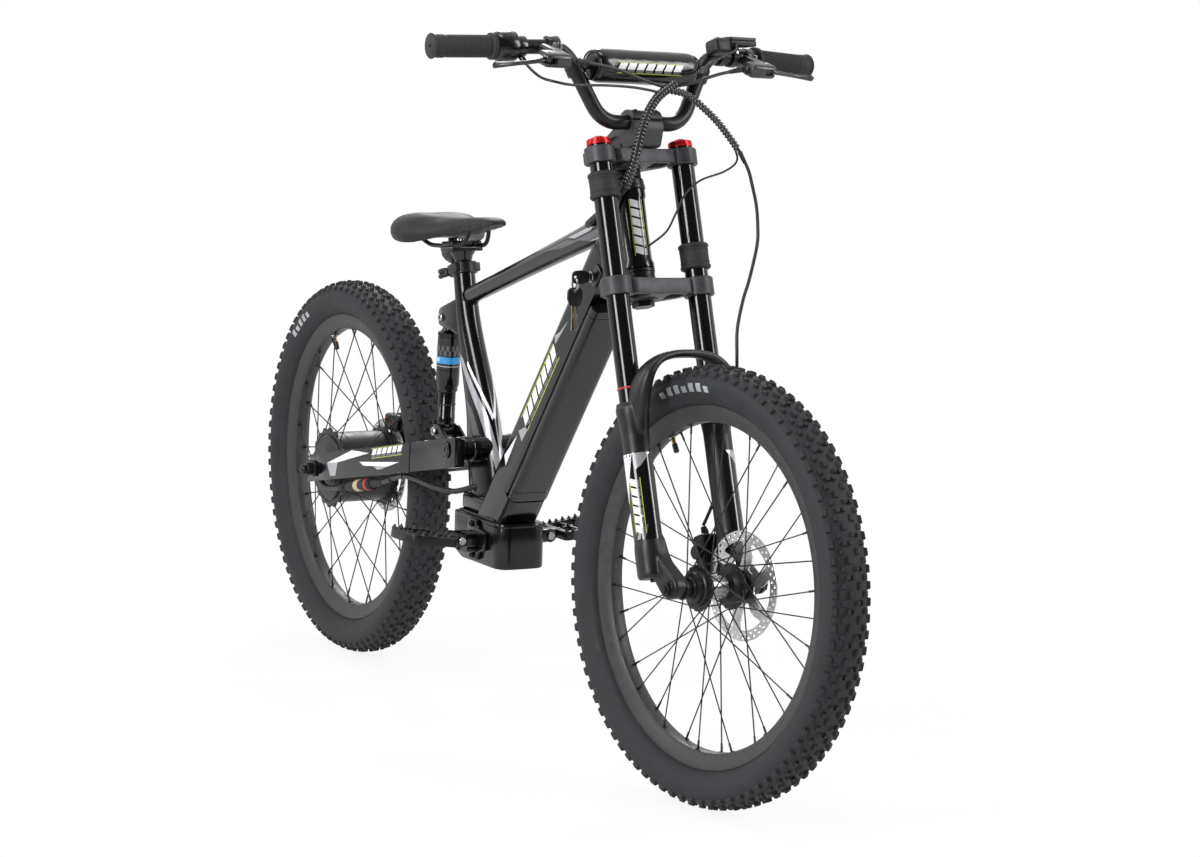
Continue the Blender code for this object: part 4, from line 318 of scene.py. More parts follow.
def baked(obj, weld=0.000005):
    """The object as one plain mesh, with its modifiers applied."""
    graph = bpy.context.evaluated_depsgraph_get()
    mesh = bpy.data.meshes.new_from_object(obj.evaluated_get(graph))
    bpy.data.objects.remove(obj)
    bm = bmesh.new()
    bm.from_mesh(mesh)
    bmesh.ops.remove_doubles(bm, verts=bm.verts, dist=weld)
    bmesh.ops.recalc_face_normals(bm, faces=bm.faces)
    return new_object(bm)


def placed(obj, matrix):
    obj.data.transform(matrix)
    if matrix.determinant() < 0:
        obj.data.flip_normals()
    return obj


def facing(place, direction):
    """A frame at a place, its Z axis along the direction."""
    return Matrix.Translation(place) @ Vector(direction).to_track_quat("Z", "Y").to_matrix().to_4x4()


def block(size, centre=(0, 0, 0), rounding=0.0, turn=None, segments=3):
    bm = bmesh.new()
    bmesh.ops.create_cube(bm, size=1)
    bm.transform(Matrix.Diagonal((*size, 1)))
    if rounding:
        bmesh.ops.bevel(bm, geom=bm.edges[:], offset=rounding, segments=segments, affect="EDGES", profile=0.5)
    bm.transform(Matrix.Translation(centre) @ (turn or Matrix()))
    return new_object(bm)


def lathe(profile, steps=48, place=None, closed=False):
    """A turned shape: a profile of (radius, height) points round the Z axis."""
    bm = bmesh.new()
    rows = []
    for radius, height in profile:
        if radius < 0.00001:
            rows.append([bm.verts.new((0, 0, height))] * steps)
        else:
            row = []
            for i in range(steps):
                angle = TURN * i / steps
                row.append(bm.verts.new((radius * math.cos(angle), radius * math.sin(angle), height)))
            rows.append(row)
    pairs = list(zip(rows, rows[1:]))
    if closed:
        pairs.append((rows[-1], rows[0]))
    for first, second in pairs:
        for i in range(steps):
            j = (i + 1) % steps
            corners = []
            for vert in (first[i], first[j], second[j], second[i]):
                if vert not in corners:
                    corners.append(vert)
            if len(corners) > 2:
                bm.faces.new(corners)
    bmesh.ops.recalc_face_normals(bm, faces=bm.faces)
    return placed(new_object(bm), place or Matrix())


def rod(radius, start, end, sides=32, chamfer=0.0, end_radius=None):
    """A cylinder or cone between two points, with eased ends."""
    start, end = Vector(start), Vector(end)
    length = (end - start).length
    tip = radius if end_radius is None else end_radius
    if chamfer:
        profile = [(0, 0), (radius - chamfer, 0), (radius, chamfer), (tip, length - chamfer), (tip - chamfer, length)]
        profile.append((0, length))
    else:
        profile = [(0, 0), (radius, 0), (tip, length), (0, length)]
    return lathe(profile, sides, facing(start, end - start))


def sleeve(outer, inner, low, high, place=None, chamfer=0.0, steps=48):
    profile = [(inner, low), (outer - chamfer, low), (outer, low + chamfer), (outer, high - chamfer)]
    profile += [(outer - chamfer, high), (inner, high)]
    return lathe(profile, steps, place, closed=True)


def plate(outlines, thickness, place=None, rounding=0.0):
    """A flat piece from its outline and any holes in it, its thickness shared by both sides."""
    curve = bpy.data.curves.new("plate", "CURVE")
    curve.dimensions = "2D"
    curve.fill_mode = "BOTH"
    curve.extrude = thickness / 2 - rounding
    curve.bevel_depth = rounding
    curve.bevel_resolution = 1
    curve.offset = -rounding
    for outline in outlines:
        spline = curve.splines.new("POLY")
        spline.points.add(len(outline) - 1)
        for point, (x, y) in zip(spline.points, outline):
            point.co = (x, y, 0, 1)
        spline.use_cyclic_u = True
    return placed(baked(in_scene(bpy.data.objects.new("plate", curve))), place or Matrix())


def tube_along(points, radius, sides=16, closed_ends=True):
    """A round tube along a line of points, its rings carried without twist. Radius may be a list."""
    points = [Vector(point) for point in points]
    count = len(points)
    radii = radius if isinstance(radius, list) else [radius] * count
    bm = bmesh.new()
    rows = []
    side = None
    for i, point in enumerate(points):
        along = (points[min(i + 1, count - 1)] - points[max(i - 1, 0)]).normalized()
        side = along.orthogonal().normalized() if side is None else (side - along * side.dot(along)).normalized()
        up = along.cross(side)
        row = []
        for j in range(sides):
            angle = TURN * j / sides
            row.append(bm.verts.new(point + (side * math.cos(angle) + up * math.sin(angle)) * radii[i]))
        rows.append(row)
    for first, second in zip(rows, rows[1:]):
        for j in range(sides):
            k = (j + 1) % sides
            bm.faces.new((first[j], first[k], second[k], second[j]))
    if closed_ends:
        bm.faces.new(rows[0][::-1])
        bm.faces.new(rows[-1])
    bmesh.ops.recalc_face_normals(bm, faces=bm.faces)
    return new_object(bm)


def loft(rings, capped=True):
    """A skin through rings of points, each with the same count."""
    bm = bmesh.new()
    rows = [[bm.verts.new(point) for point in points] for points in rings]
    for row, following in zip(rows, rows[1:]):
        for i in range(len(row)):
            j = (i + 1) % len(row)
            bm.faces.new((row[i], row[j], following[j], following[i]))
    if capped:
        bm.faces.new(rows[0][::-1])
        bm.faces.new(rows[-1])
    bmesh.ops.recalc_face_normals(bm, faces=bm.faces)
    return new_object(bm)


def combined(base, others, operation):
    for other in others:
        step = base.modifiers.new("combine", "BOOLEAN")
        step.operation = operation
        step.solver = "EXACT"
        step.object = other
    result = baked(base)
    for other in others:
        bpy.data.objects.remove(other)
    return result


def union(base, *others):
    return combined(base, others, "UNION")


def cut(base, *others):
    return combined(base, others, "DIFFERENCE")


def joined(*objects):
    """Loose pieces as one object, each keeping its own faces and materials."""
    bm = bmesh.new()
    materials = []
    for obj in objects:
        slots = list(obj.data.materials)
        start = len(bm.faces)
        bm.from_mesh(obj.data)
        bm.faces.ensure_lookup_table()
        places = {}
        for i, material in enumerate(slots):
            if material not in materials:
                materials.append(material)
            places[i] = materials.index(material)
        for face in bm.faces[start:]:
            face.material_index = places.get(face.material_index, 0)
        bpy.data.objects.remove(obj)
    result = new_object(bm)
    for material in materials:
        result.data.materials.append(material)
    return result


def painted(obj, material):
    obj.data.materials.clear()
    obj.data.materials.append(MATERIALS[material])
    return obj


def eased(obj, width, segments=2, angle=35):
    """The object with its sharp edges rounded."""
    step = obj.modifiers.new("ease", "BEVEL")
    step.width = width
    step.segments = segments
    step.limit_method = "ANGLE"
    step.angle_limit = math.radians(angle)
    step.harden_normals = False
    step.use_clamp_overlap = True
    return baked(obj)


def oval(radius, height, wide, tall, count=8):
    """The section of a ring round the Z axis: an oval round a place at a radius and a height."""
    angles = [TURN * i / count for i in range(count)]
    return [(radius + wide * math.cos(a), height + tall * math.sin(a)) for a in angles]


def rectangle(half_x, half_y):
    return [(-half_x, -half_y), (half_x, -half_y), (half_x, half_y), (-half_x, half_y)]


def collar(inner, outer, half, band):
    """The section of a ring with eased rims: half is half its length, and band half of its full-width part's."""
    return [(inner, -half), (outer - 0.0006, -half), (outer, -band), (outer, band), (outer - 0.0006, half),
            (inner, half)]


def circle(radius, count, centre=(0, 0), turn=0.0):
    return [
        (centre[0] + radius * math.cos(turn + TURN * i / count),
         centre[1] + radius * math.sin(turn + TURN * i / count))
        for i in range(count)
    ]


def rounded(points, radius, steps=6, closed=True):
    """The points with each corner drawn as a curve that starts and ends one radius from it."""
    points = [Vector(point) for point in points]
    count = len(points)
    result = []
    for i, corner in enumerate(points):
        if not closed and i in (0, count - 1):
            result.append(tuple(corner))
            continue
        before, after = points[i - 1], points[(i + 1) % count]
        start = corner + (before - corner).normalized() * min(radius, (before - corner).length * 0.49)
        end = corner + (after - corner).normalized() * min(radius, (after - corner).length * 0.49)
        for step in range(steps + 1):
            t = step / steps
            result.append(tuple(start * (1 - t) ** 2 + corner * 2 * t * (1 - t) + end * t**2))
    return result


def smooth_line(points, spacing):
    """Evenly spaced points on a smooth curve through the given ones."""
    points = [Vector(point) for point in points]
    ends = [points[0] * 2 - points[1]] + points + [points[-1] * 2 - points[-2]]
    fine = []
    for a, b, c, d in zip(ends, ends[1:], ends[2:], ends[3:]):
        for step in range(24):
            t = step / 24
            bend = (a * 2 - b * 5 + c * 4 - d) * t**2 + (b * 3 - a - c * 3 + d) * t**3
            fine.append((b * 2 + (c - a) * t + bend) / 2)
    fine.append(points[-1])
    lengths = [0.0]
    for a, b in zip(fine, fine[1:]):
        lengths.append(lengths[-1] + (b - a).length)
    count = max(2, round(lengths[-1] / spacing))
    result = []
    i = 0
    for step in range(count + 1):
        target = lengths[-1] * step / count
        while i < len(fine) - 2 and lengths[i + 1] < target:
            i += 1
        share = (target - lengths[i]) / max(lengths[i + 1] - lengths[i], 1e-9)
        result.append(fine[i].lerp(fine[i + 1], min(max(share, 0.0), 1.0)))
    return result


def finish_piece(name, obj, body, material=None, replaces=(), smooth_angle=32):
    """Names a shaped piece, gives it its material and body, and says what it stands for. A piece that spans
    two bodies is given none here."""
    if material:
        painted(obj, material)
    obj.name = name
    obj.data.name = name
    obj.data.shade_smooth()
    obj.data.set_sharp_from_angle(angle=math.radians(smooth_angle))
    if body:
        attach(obj, body)
    if replaces:
        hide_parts(*([replaces] if isinstance(replaces, str) else replaces))
    return obj


def dressed(node, pieces, smooth_angle=35, place=None, material=None):
    """Puts the shaped parts in place of a node of the solids, on its body, painted in the given material if one is
    given.
    """
    obj = joined(*pieces) if len(pieces) > 1 else pieces[0]
    if place:
        placed(obj, place)
    body = frame["nodes"][node]["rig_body"]
    return finish_piece(node + "_dressed", obj, body, material, node, smooth_angle)


# Geometry Nodes tools for what repeats


def node_tree(name, inputs):
    tree = bpy.data.node_groups.new(name, "GeometryNodeTree")
    tree.interface.new_socket("Geometry", in_out="INPUT", socket_type="NodeSocketGeometry")
    for label, kind in inputs:
        tree.interface.new_socket(label, in_out="INPUT", socket_type="NodeSocket" + kind)
    tree.interface.new_socket("Geometry", in_out="OUTPUT", socket_type="NodeSocketGeometry")
    return tree, tree.nodes.new("NodeGroupInput"), tree.nodes.new("NodeGroupOutput")


def copies_made(tree, source, sink, points, turn):
    """Ends a tree: the item on every point, made real, in its material."""
    copies = add(tree, "GeometryNodeInstanceOnPoints", Points=points.outputs[0], Instance=source.outputs["Geometry"],
                 Rotation=turn.outputs[0])
    real = add(tree, "GeometryNodeRealizeInstances", i0=copies.outputs[0])
    coat = add(tree, "GeometryNodeSetMaterial", i0=real.outputs[0], Material=source.outputs["Material"])
    tree.links.new(coat.outputs[0], sink.inputs[0])
    return tree


def ring_tree():
    """Copies of the item, evenly turned about the Y axis."""
    inputs = [("Count", "Int"), ("Arc", "Float"), ("Start", "Float"), ("Material", "Material")]
    tree, source, sink = node_tree("copies in a ring", inputs)
    points = add(tree, "GeometryNodePoints", i0=source.outputs["Count"])
    index = add(tree, "GeometryNodeInputIndex")
    share = add(tree, "ShaderNodeMath", {"operation": "DIVIDE"}, i0=index.outputs[0], i1=source.outputs["Count"])
    angle = add(tree, "ShaderNodeMath", {"operation": "MULTIPLY_ADD"}, i0=share.outputs[0], i1=source.outputs["Arc"],
                 i2=source.outputs["Start"])
    turn = add(tree, "ShaderNodeCombineXYZ", i1=angle.outputs[0])
    return copies_made(tree, source, sink, points, turn)


def path_tree():
    """Copies of the item along a path, one every spacing, its Z axis on the path."""
    inputs = [("Path", "Object"), ("Spacing", "Float"), ("Lean", "Float"), ("Material", "Material")]
    tree, source, sink = node_tree("copies along a path", inputs)
    info = add(tree, "GeometryNodeObjectInfo", i0=source.outputs["Path"])
    curve = add(tree, "GeometryNodeMeshToCurve", i0=info.outputs["Geometry"])
    even = add(tree, "GeometryNodeResampleCurve", {"mode": "LENGTH"}, Curve=curve.outputs[0],
                Length=source.outputs["Spacing"])
    tangent = add(tree, "GeometryNodeInputTangent")
    turn = add(tree, "FunctionNodeAlignRotationToVector", {"axis": "Z"}, Vector=tangent.outputs[0])
    lean = add(tree, "ShaderNodeCombineXYZ", i0=source.outputs["Lean"])
    leaned = add(tree, "FunctionNodeRotateRotation", {"rotation_space": "LOCAL"}, i0=turn.outputs[0],
                 i1=lean.outputs[0])
    return copies_made(tree, source, sink, even, leaned)


RING_TREE = ring_tree()
PATH_TREE = path_tree()


def grown(obj, tree, **values):
    """The item after its tree has run, as a plain mesh."""
    step = obj.modifiers.new("copies", "NODES")
    step.node_group = tree
    for socket in tree.interface.items_tree:
        if socket.in_out == "INPUT" and socket.name in values:
            step[socket.identifier] = values[socket.name]
    obj.update_tag()
    bpy.context.view_layer.update()
    graph = bpy.context.evaluated_depsgraph_get()
    mesh = bpy.data.meshes.new_from_object(obj.evaluated_get(graph))
    bpy.data.objects.remove(obj)
    return in_scene(bpy.data.objects.new("copies", mesh))


def in_ring(item, count, material, start=0.0, arc=TURN):
    return grown(item, RING_TREE, Count=count, Arc=arc, Start=start, Material=MATERIALS[material])


def along(item, points, spacing, material, lean=0.0):
    bm = bmesh.new()
    verts = [bm.verts.new(point) for point in points]
    for first, second in zip(verts, verts[1:]):
        bm.edges.new((first, second))
    path = new_object(bm)
    made = grown(item, PATH_TREE, Path=path, Spacing=spacing, Lean=lean, Material=MATERIALS[material])
    bpy.data.objects.remove(path)
    return made


# Wheels, shaped round the Y axis at the origin

KNOBS = 84
CASING = [(0.2608, 0.0178), (0.2655, 0.0242), (0.2745, 0.0306), (0.287, 0.0342), (0.2985, 0.0326), (0.3064, 0.0262),
          (0.3112, 0.016), (0.3134, 0.0)]


def casing_point(share):
    """A place on the tyre's cross-section, from the bead at 0 to the crown at 1, as (radius, y)."""
    line = smooth_line([(r, y, 0) for r, y in CASING], 0.0005)
    return line[min(int(share * (len(line) - 1)), len(line) - 2)]


def knob(share, side, length, width, height):
    """A tread block that stands on the casing at +X, tapered, with eased edges."""
    place = casing_point(share)
    slope = casing_point(min(share + 0.02, 1.0)) - casing_point(max(share - 0.02, 0.0))
    normal = Vector((abs(slope.y), abs(slope.x), 0)).normalized()
    bm = bmesh.new()
    bmesh.ops.create_cube(bm, size=1)
    for vert in bm.verts:
        top = vert.co.z > 0
        vert.co.x *= width * (0.78 if top else 1.0)
        vert.co.y *= length * (0.84 if top else 1.04)
        vert.co.z = height if top else -0.0022
    top_edges = [edge for edge in bm.edges if edge.verts[0].co.z > 0 and edge.verts[1].co.z > 0]
    bmesh.ops.bevel(bm, geom=top_edges, offset=0.0007, segments=1, affect="EDGES")
    outward = Vector((normal.x, normal.y * side, 0))
    around_wheel = Vector((0, 0, 1))
    across = around_wheel.cross(outward)
    turn = Matrix((across, around_wheel, outward)).transposed().to_4x4()
    bm.transform(Matrix.Translation((place.x, place.y * side, 0)) @ turn)
    bmesh.ops.recalc_face_normals(bm, faces=bm.faces)
    return new_object(bm)


SIDEWALL_MARKS = {"front_tyre": (1.26, 1.68, 7), "rear_tyre": (2.07, 2.36, 5)}


def sidewall_marks(start, end, count):
    """Generic pale bars printed on the right sidewall, slanted, in the place of the maker's lettering."""

    def skin(angle, radius, off=0.0):
        inner, outer = [pair for pair in zip(CASING, CASING[1:]) if pair[0][0] <= radius <= pair[1][0]][0]
        y = inner[1] + (outer[1] - inner[1]) * (radius - inner[0]) / (outer[0] - inner[0]) + off + 0.0004
        return Vector((radius * math.cos(angle), -y, radius * math.sin(angle)))

    pitch = (end - start) / count
    marks = []
    for i in range(count):
        low, high = start + pitch * i, start + pitch * (i + 0.62)
        top = 0.2915 if i % 3 else 0.288
        marks.append(film(skin, [(low, 0.279), (high, 0.279), (high + pitch * 0.12, top),
                                 (low + pitch * 0.12, top)],
                          "stripe_silver", 4, 4))
    return marks


def tyre(name, matrix):
    """A knobbly tyre: turned casing with a rim guard and fine rings, square shoulder blocks, small inner ones and
    ribbed pairs on the crown."""
    line = smooth_line([(r, y, 0) for r, y in CASING], 0.0016)
    profile = []
    for point in line:
        ridge = 0.0005 if 0.2705 < point.x < 0.2722 or 0.2745 < point.x < 0.276 else 0.0
        profile.append((point.x, point.y + ridge))
    profile = profile + [(radius, -y) for radius, y in profile[-2::-1]] + [(0.26, -0.015), (0.26, 0.015)]
    casing = painted(lathe(profile, 168, TURN_TO_Y, closed=True), "tyre")
    pitch = TURN / KNOBS
    blocks = []
    for side in (1, -1):
        offset = 0.0 if side > 0 else pitch / 2
        blocks.append(in_ring(knob(0.615, side, 0.0125, 0.0085, 0.0042), KNOBS, "tyre", offset))
        blocks.append(in_ring(knob(0.775, side, 0.0085, 0.0062, 0.0044), KNOBS, "tyre", offset + pitch / 2))
        blocks.append(in_ring(knob(0.905, side, 0.011, 0.0058, 0.0048), KNOBS // 2, "tyre", offset))
        blocks.append(in_ring(knob(0.855, side, 0.007, 0.0058, 0.0048), KNOBS // 2, "tyre", offset + pitch))
        blocks.append(in_ring(knob(0.965, side, 0.0065, 0.0052, 0.005), KNOBS // 2, "tyre", offset + pitch))
    marks = sidewall_marks(*SIDEWALL_MARKS[name])
    dressed(name, [casing, *blocks, *marks], 40, matrix)


VALVE_ANGLE = {"front_rim": 1.8, "rear_rim": 2.0}


def spoke_rows():
    """Four rows of spokes. Each gives its side, its way of crossing, its nipples' y and where it starts."""
    per_side = SPOKES // 2
    for side in (1, -1):
        for way in (1, -1):
            start = TURN * (0.5 if side < 0 else 0) / per_side + (0 if way > 0 else TURN / per_side)
            yield side, way, side * (0.0055 + way * 0.0013), -start


def rim(name, matrix):
    """A deep matt rim: bead lips, sloping walls with a fine step, a shallow spoke bed, and a nipple at each spoke."""
    half = [(0.2556, 0.0152), (0.26, 0.0158), (0.2604, 0.0168), (0.2604, 0.0176), (0.2598, 0.018),
            (0.256, 0.018), (0.253, 0.0171), (0.2455, 0.015), (0.2395, 0.0124), (0.2365, 0.0098), (0.2352, 0.006),
            (0.235, 0.0)]
    profile = half + [(r, -y) for r, y in half[-2::-1]] + [(0.254, -0.012), (0.254, 0.012)]
    hoop = painted(lathe(profile, 168, TURN_TO_Y, closed=True), "rim")
    eyelets = []
    for _, _, y, start in spoke_rows():
        shape = rod(0.0026, (0.2355, y, 0), (0.2342, y, 0), 12, 0.0003)
        eyelets.append(in_ring(shape, SPOKES // 4, "black_steel", start))
    angle = VALVE_ANGLE[name]
    out = Vector((math.cos(angle), 0, math.sin(angle)))
    valve = [painted(rod(0.0062, out * 0.2362, out * 0.233, 6, 0.0004), "steel"),
             painted(rod(0.003, out * 0.2352, out * 0.216, 20), "brass"),
             painted(rod(0.0041, out * 0.2235, out * 0.21, 24, 0.0008), "plastic")]
    dressed(name, [hoop, *eyelets, *valve], 30, matrix)


def spokes(name, body, matrix, flange_edge, flange_half, lead):
    """Crossed wire spokes: a bent end with its head in the flange, a long wire, and a square nipple in the rim."""
    rim_reach = 0.2362
    copies = []
    for side, way, rim_y, start in spoke_rows():
        hub_y = side * (flange_half + way * 0.0012)
        lean = way * lead
        hub = Vector(((flange_edge - 0.0035), hub_y, 0))
        end = Vector((rim_reach * math.cos(lean), rim_y, rim_reach * math.sin(lean)))
        direction = (end - hub).normalized()
        elbow = hub + direction * 0.002
        head = hub - Vector((0, side * way * 0.0026, 0))
        half_cap = Vector((0, side * way * 0.0006, 0))
        wire = tube_along([head, hub, elbow, end - direction * 0.013], 0.00105, 6)
        nipple = rod(0.0017, end - direction * 0.0135, end, 8, 0.0003)
        cap = rod(0.0021, head - half_cap, head + half_cap, 8, 0.0002)
        copies.append(in_ring(joined(wire, nipple, cap), SPOKES // 4, "spoke", start))
    finish_piece(name, placed(joined(*copies), matrix), body, None, (), 50)


def disc(name, matrix, y):
    """A brake disc laser-cut from 1.8 mm steel: two rows of rounded slots in the band, six swept arms, and a bolt
    circle on the carrier."""
    outer, band, carrier = 0.0795, 0.0645, 0.0275
    arms = 6
    outlines = [circle(outer, 144), circle(0.0124, 32)]
    for row, (radius, count, length) in enumerate(((0.0752, 36, 0.005), (0.069, 36, 0.0038))):
        for i in range(count):
            middle = TURN * (i + 0.5 * row) / count
            slot_shape = []
            for x, z in rounded(rectangle(0.0017, length / 2), 0.0012, 2):
                px, pz = radius + x, z
                slot_shape.append((px * math.cos(middle) - pz * math.sin(middle),
                                   px * math.sin(middle) + pz * math.cos(middle)))
            outlines.append(slot_shape)
    for i in range(arms):
        start = TURN * i / arms
        points = [(band, start + 0.3 + 0.74 * t / 6) for t in range(7)]
        points += [(0.05, start + 0.88), (0.04, start + 0.8), (carrier, start + 0.86), (carrier, start + 0.52)]
        points += [(0.036, start + 0.34), (0.05, start + 0.24)]
        outlines.append(rounded([(r * math.cos(a), r * math.sin(a)) for r, a in points], 0.003, 3))
    for i in range(6):
        outlines.append(circle(0.0021, 12, (0.022 * math.cos(TURN * i / 6), 0.022 * math.sin(TURN * i / 6))))
    flat = painted(plate(outlines, 0.0018, Matrix.Translation((0, y, 0)) @ SIDE_VIEW), "disc_steel")
    bolt = joined(rod(0.0036, (0.022, y + 0.0009, 0), (0.022, y + 0.003, 0), 20, 0.0005),
                  rod(0.0017, (0.022, y + 0.00305, 0), (0.022, y + 0.0031, 0), 6))
    bolts = in_ring(bolt, 6, "black_steel")
    dressed(name, [flat, bolts], 30, matrix)


def scalloped(radius, depth, lobes, steps=6, turn=0.0):
    """An outline with a lobe round each spoke hole."""
    return [
        ((radius + depth * math.cos(lobes * a)) * math.cos(a + turn),
         (radius + depth * math.cos(lobes * a)) * math.sin(a + turn))
        for a in (TURN * i / (lobes * steps) for i in range(lobes * steps))
    ]


def front_hub():
    """Turned hub: a waisted barrel with a polished band, scalloped flanges, stepped end caps and the disc's seat."""
    profile = [(0.0066, 0.0546), (0.01, 0.0546), (0.0112, 0.0536), (0.0112, 0.0494), (0.0238, 0.049),
               (0.024, 0.0455), (0.0212, 0.044), (0.0208, 0.038), (0.025, 0.033), (0.026, 0.0304), (0.03, 0.03),
               (0.03, 0.028), (0.0245, 0.027), (0.018, 0.0225), (0.0165, 0.018), (0.0162, 0.0), (0.0165, -0.018),
               (0.018, -0.0225), (0.0245, -0.027), (0.03, -0.028), (0.03, -0.03), (0.026, -0.0304), (0.025, -0.033),
               (0.0225, -0.035), (0.0218, -0.0405), (0.016, -0.042), (0.0155, -0.048), (0.0118, -0.049),
               (0.0112, -0.0536), (0.01, -0.0546), (0.0066, -0.0546)]
    barrel = painted(lathe(profile, 72, TURN_TO_Y, closed=True), "black_anodised")
    flanges = []
    for side in (1, -1):
        outlines = [scalloped(0.0332, 0.0008, 18, 6, 0 if side > 0 else TURN / 36), circle(0.0255, 48)]
        flange = plate(outlines, 0.003, Matrix.Translation((0, side * 0.029, 0)) @ SIDE_VIEW, 0.0004)
        flanges.append(painted(flange, "black_anodised"))
    band = painted(sleeve(0.0167, 0.016, -0.013, 0.013, TURN_TO_Y, 0.0003, 72), "polished")
    dressed("front_hub", [barrel, band, *flanges], 30, FRONT_WHEEL)


def hub_motor():
    """The motor's drum: a smooth cast shell, stepped covers with a ring of screws, and lobed spoke flanges."""
    profile = [(0.007, 0.0612), (0.0105, 0.0612), (0.0112, 0.0605), (0.0112, 0.0562), (0.029, 0.0558),
               (0.03, 0.0548), (0.033, 0.0538), (0.035, 0.053), (0.054, 0.0528), (0.0556, 0.052), (0.056, 0.05),
               (0.0596, 0.0494), (0.06, 0.047), (0.0592, 0.0462), (0.0592, 0.03), (0.0598, 0.029), (0.0598, -0.029),
               (0.0592, -0.03), (0.0592, -0.0462), (0.06, -0.047), (0.0596, -0.0494), (0.056, -0.05),
               (0.0556, -0.0522), (0.053, -0.054), (0.044, -0.0545), (0.0432, -0.0552), (0.033, -0.056),
               (0.0322, -0.0568), (0.02, -0.0582), (0.0145, -0.0605), (0.013, -0.0612), (0.007, -0.0612)]
    shell = painted(lathe(profile, 96, TURN_TO_Y, closed=True), "motor_shell")
    pieces = [shell]
    for side in (1, -1):
        outlines = [scalloped(0.0665, 0.0024, 18, 8, 0 if side > 0 else TURN / 36), circle(0.0585, 72)]
        for i in range(18):
            a = TURN * (i + (0 if side > 0 else 0.5)) / 18
            outlines.append(circle(0.0014, 8, (0.066 * math.cos(a), 0.066 * math.sin(a))))
        flange = plate(outlines, 0.0038, Matrix.Translation((0, side * 0.049, 0)) @ SIDE_VIEW, 0.0005)
        pieces.append(painted(flange, "motor_shell"))
        face = 0.0526 if side > 0 else 0.0522
        out = 0.05 + 0.0035 * (side < 0)
        screw = rod(0.0026, (out, side * (face - 0.002), 0), (out, side * (face + 0.0012), 0), 16, 0.0004)
        pieces.append(in_ring(screw, 8, "black_steel", 0.2))
    dot = rod(0.0034, (-0.012, -0.0566, -0.0262), (-0.012, -0.0578, -0.0262), 20, 0.0005)
    pieces.append(painted(dot, "green"))
    dressed("hub_motor", pieces, 30, REAR_WHEEL)


def wheels():
    for end, matrix, rotor_y in (("front", FRONT_WHEEL, 0.0505), ("rear", REAR_WHEEL, 0.057)):
        tyre(end + "_tyre", matrix)
        rim(end + "_rim", matrix)
        disc(end + "_rotor", matrix, rotor_y)
    spokes("front_spokes", "front_wheel", FRONT_WHEEL, 0.034, 0.029, math.radians(60))
    spokes("rear_spokes", "rear_wheel", REAR_WHEEL, 0.0695, 0.049, math.radians(20))
    front_hub()
    hub_motor()


# Frame


def film(skin, corners, material, steps=14, across=5, lift=0.00022):
    """A printed stripe laid on a skin: its four corners are given in the skin's own two measures."""
    a, b, c, d = [Vector(corner) for corner in corners]
    rings = []
    for i in range(steps + 1):
        first, last = a.lerp(b, i / steps), d.lerp(c, i / steps)
        row = [first.lerp(last, j / across) for j in range(across + 1)]
        rings.append([skin(*point, lift) for point in row] + [skin(*point, -0.0002) for point in reversed(row)])
    return painted(loft(rings), material)


def films(skin, table, **options):
    """Several stripes: each row of the table has a material and four corners."""
    return [film(skin, corners, "stripe_" + material, **options) for material, *corners in table]


def both_sides(skin, table):
    """Stripes on a round tube's right side and, mirrored, on its left."""
    mirrored = [(material, *[(share, 0.5 - turns) for share, turns in corners]) for material, *corners in table]
    return films(skin, table) + films(skin, mirrored)


def bars(skin, low, high, count):
    """A generic panel: slanted white bars with a silver foot, between two thin lime lines."""
    (start, bottom), (end, top) = low, high
    pitch = (end - start) / count
    drop = top - bottom
    made = []
    for i in range(count):
        a, b = start + pitch * i, start + pitch * (i + 0.78)
        lean = pitch * 0.3
        made += films(skin, [("white", (a + lean, bottom), (b + lean, bottom), (b, bottom + drop * 0.68),
                              (a, bottom + drop * 0.68)),
                             ("grey", (a, bottom + drop * 0.72), (b, bottom + drop * 0.72), (b, top), (a, top))],
                      steps=5)
    for edge in (-0.1, 1.04):
        here, there = bottom + drop * edge, bottom + drop * (edge + 0.06)
        made.append(film(skin, [(start, here), (end, here), (end, there), (start, there)], "stripe_lime", 16, 1))
    return made


def oval_skin(stations, direction, spacing=0.01):
    """A tube of changing oval section in the middle plane, from (ahead, height, half width, half depth). Its skin
    gives a point from the share of its length, the turns round it from its left side, and the height off it."""
    line = smooth_line(stations, spacing)
    direction = Vector(direction).normalized()
    across = Vector((0, 1, 0))
    up = direction.cross(across)

    def skin(share, turns, off=0.0):
        place = min(max(share, 0.0), 1.0) * (len(line) - 1)
        i = min(int(place), len(line) - 2)
        ahead, height, half_width, half_depth = line[i].lerp(line[i + 1], place - i)
        angle = TURN * turns
        offset = across * (half_width + off) * math.cos(angle) + up * (half_depth + off) * math.sin(angle)
        return at(ahead, height) + offset

    return skin


def skinned(skin, steps, sides=56):
    return loft([[skin(i / steps, j / sides) for j in range(sides)] for i in range(steps + 1)])


def flat_skin(place, y):
    """The side of a flat piece: measures are along and up it, in the given frame."""
    return lambda along, up, off=0.0: place @ Vector((along, y + math.copysign(off, y), up))


def round_skin(place, radius):
    """A round leg: measures are turns from straight ahead, positive to the left, and the height."""
    return lambda turns, height, off=0.0: place @ Vector(
        ((radius + off) * math.cos(TURN * turns), (radius + off) * math.sin(TURN * turns), height)
    )


def ground_height(point):
    """A frame point as its place ahead of the rear axle and its height above the ground."""
    return point.x + BOX_AHEAD, point.z + BOX_CLEARANCE


def bead(points, radius=0.0016, spacing=0.0028, closed=False):
    """A weld bead: overlapping pools along a line."""
    line = smooth_line(list(points) + ([points[0]] if closed else []), spacing)
    radii = [radius * (0.78 + 0.22 * (i % 2)) for i in range(len(line))]
    return painted(tube_along(line, radii, 8), "paint")


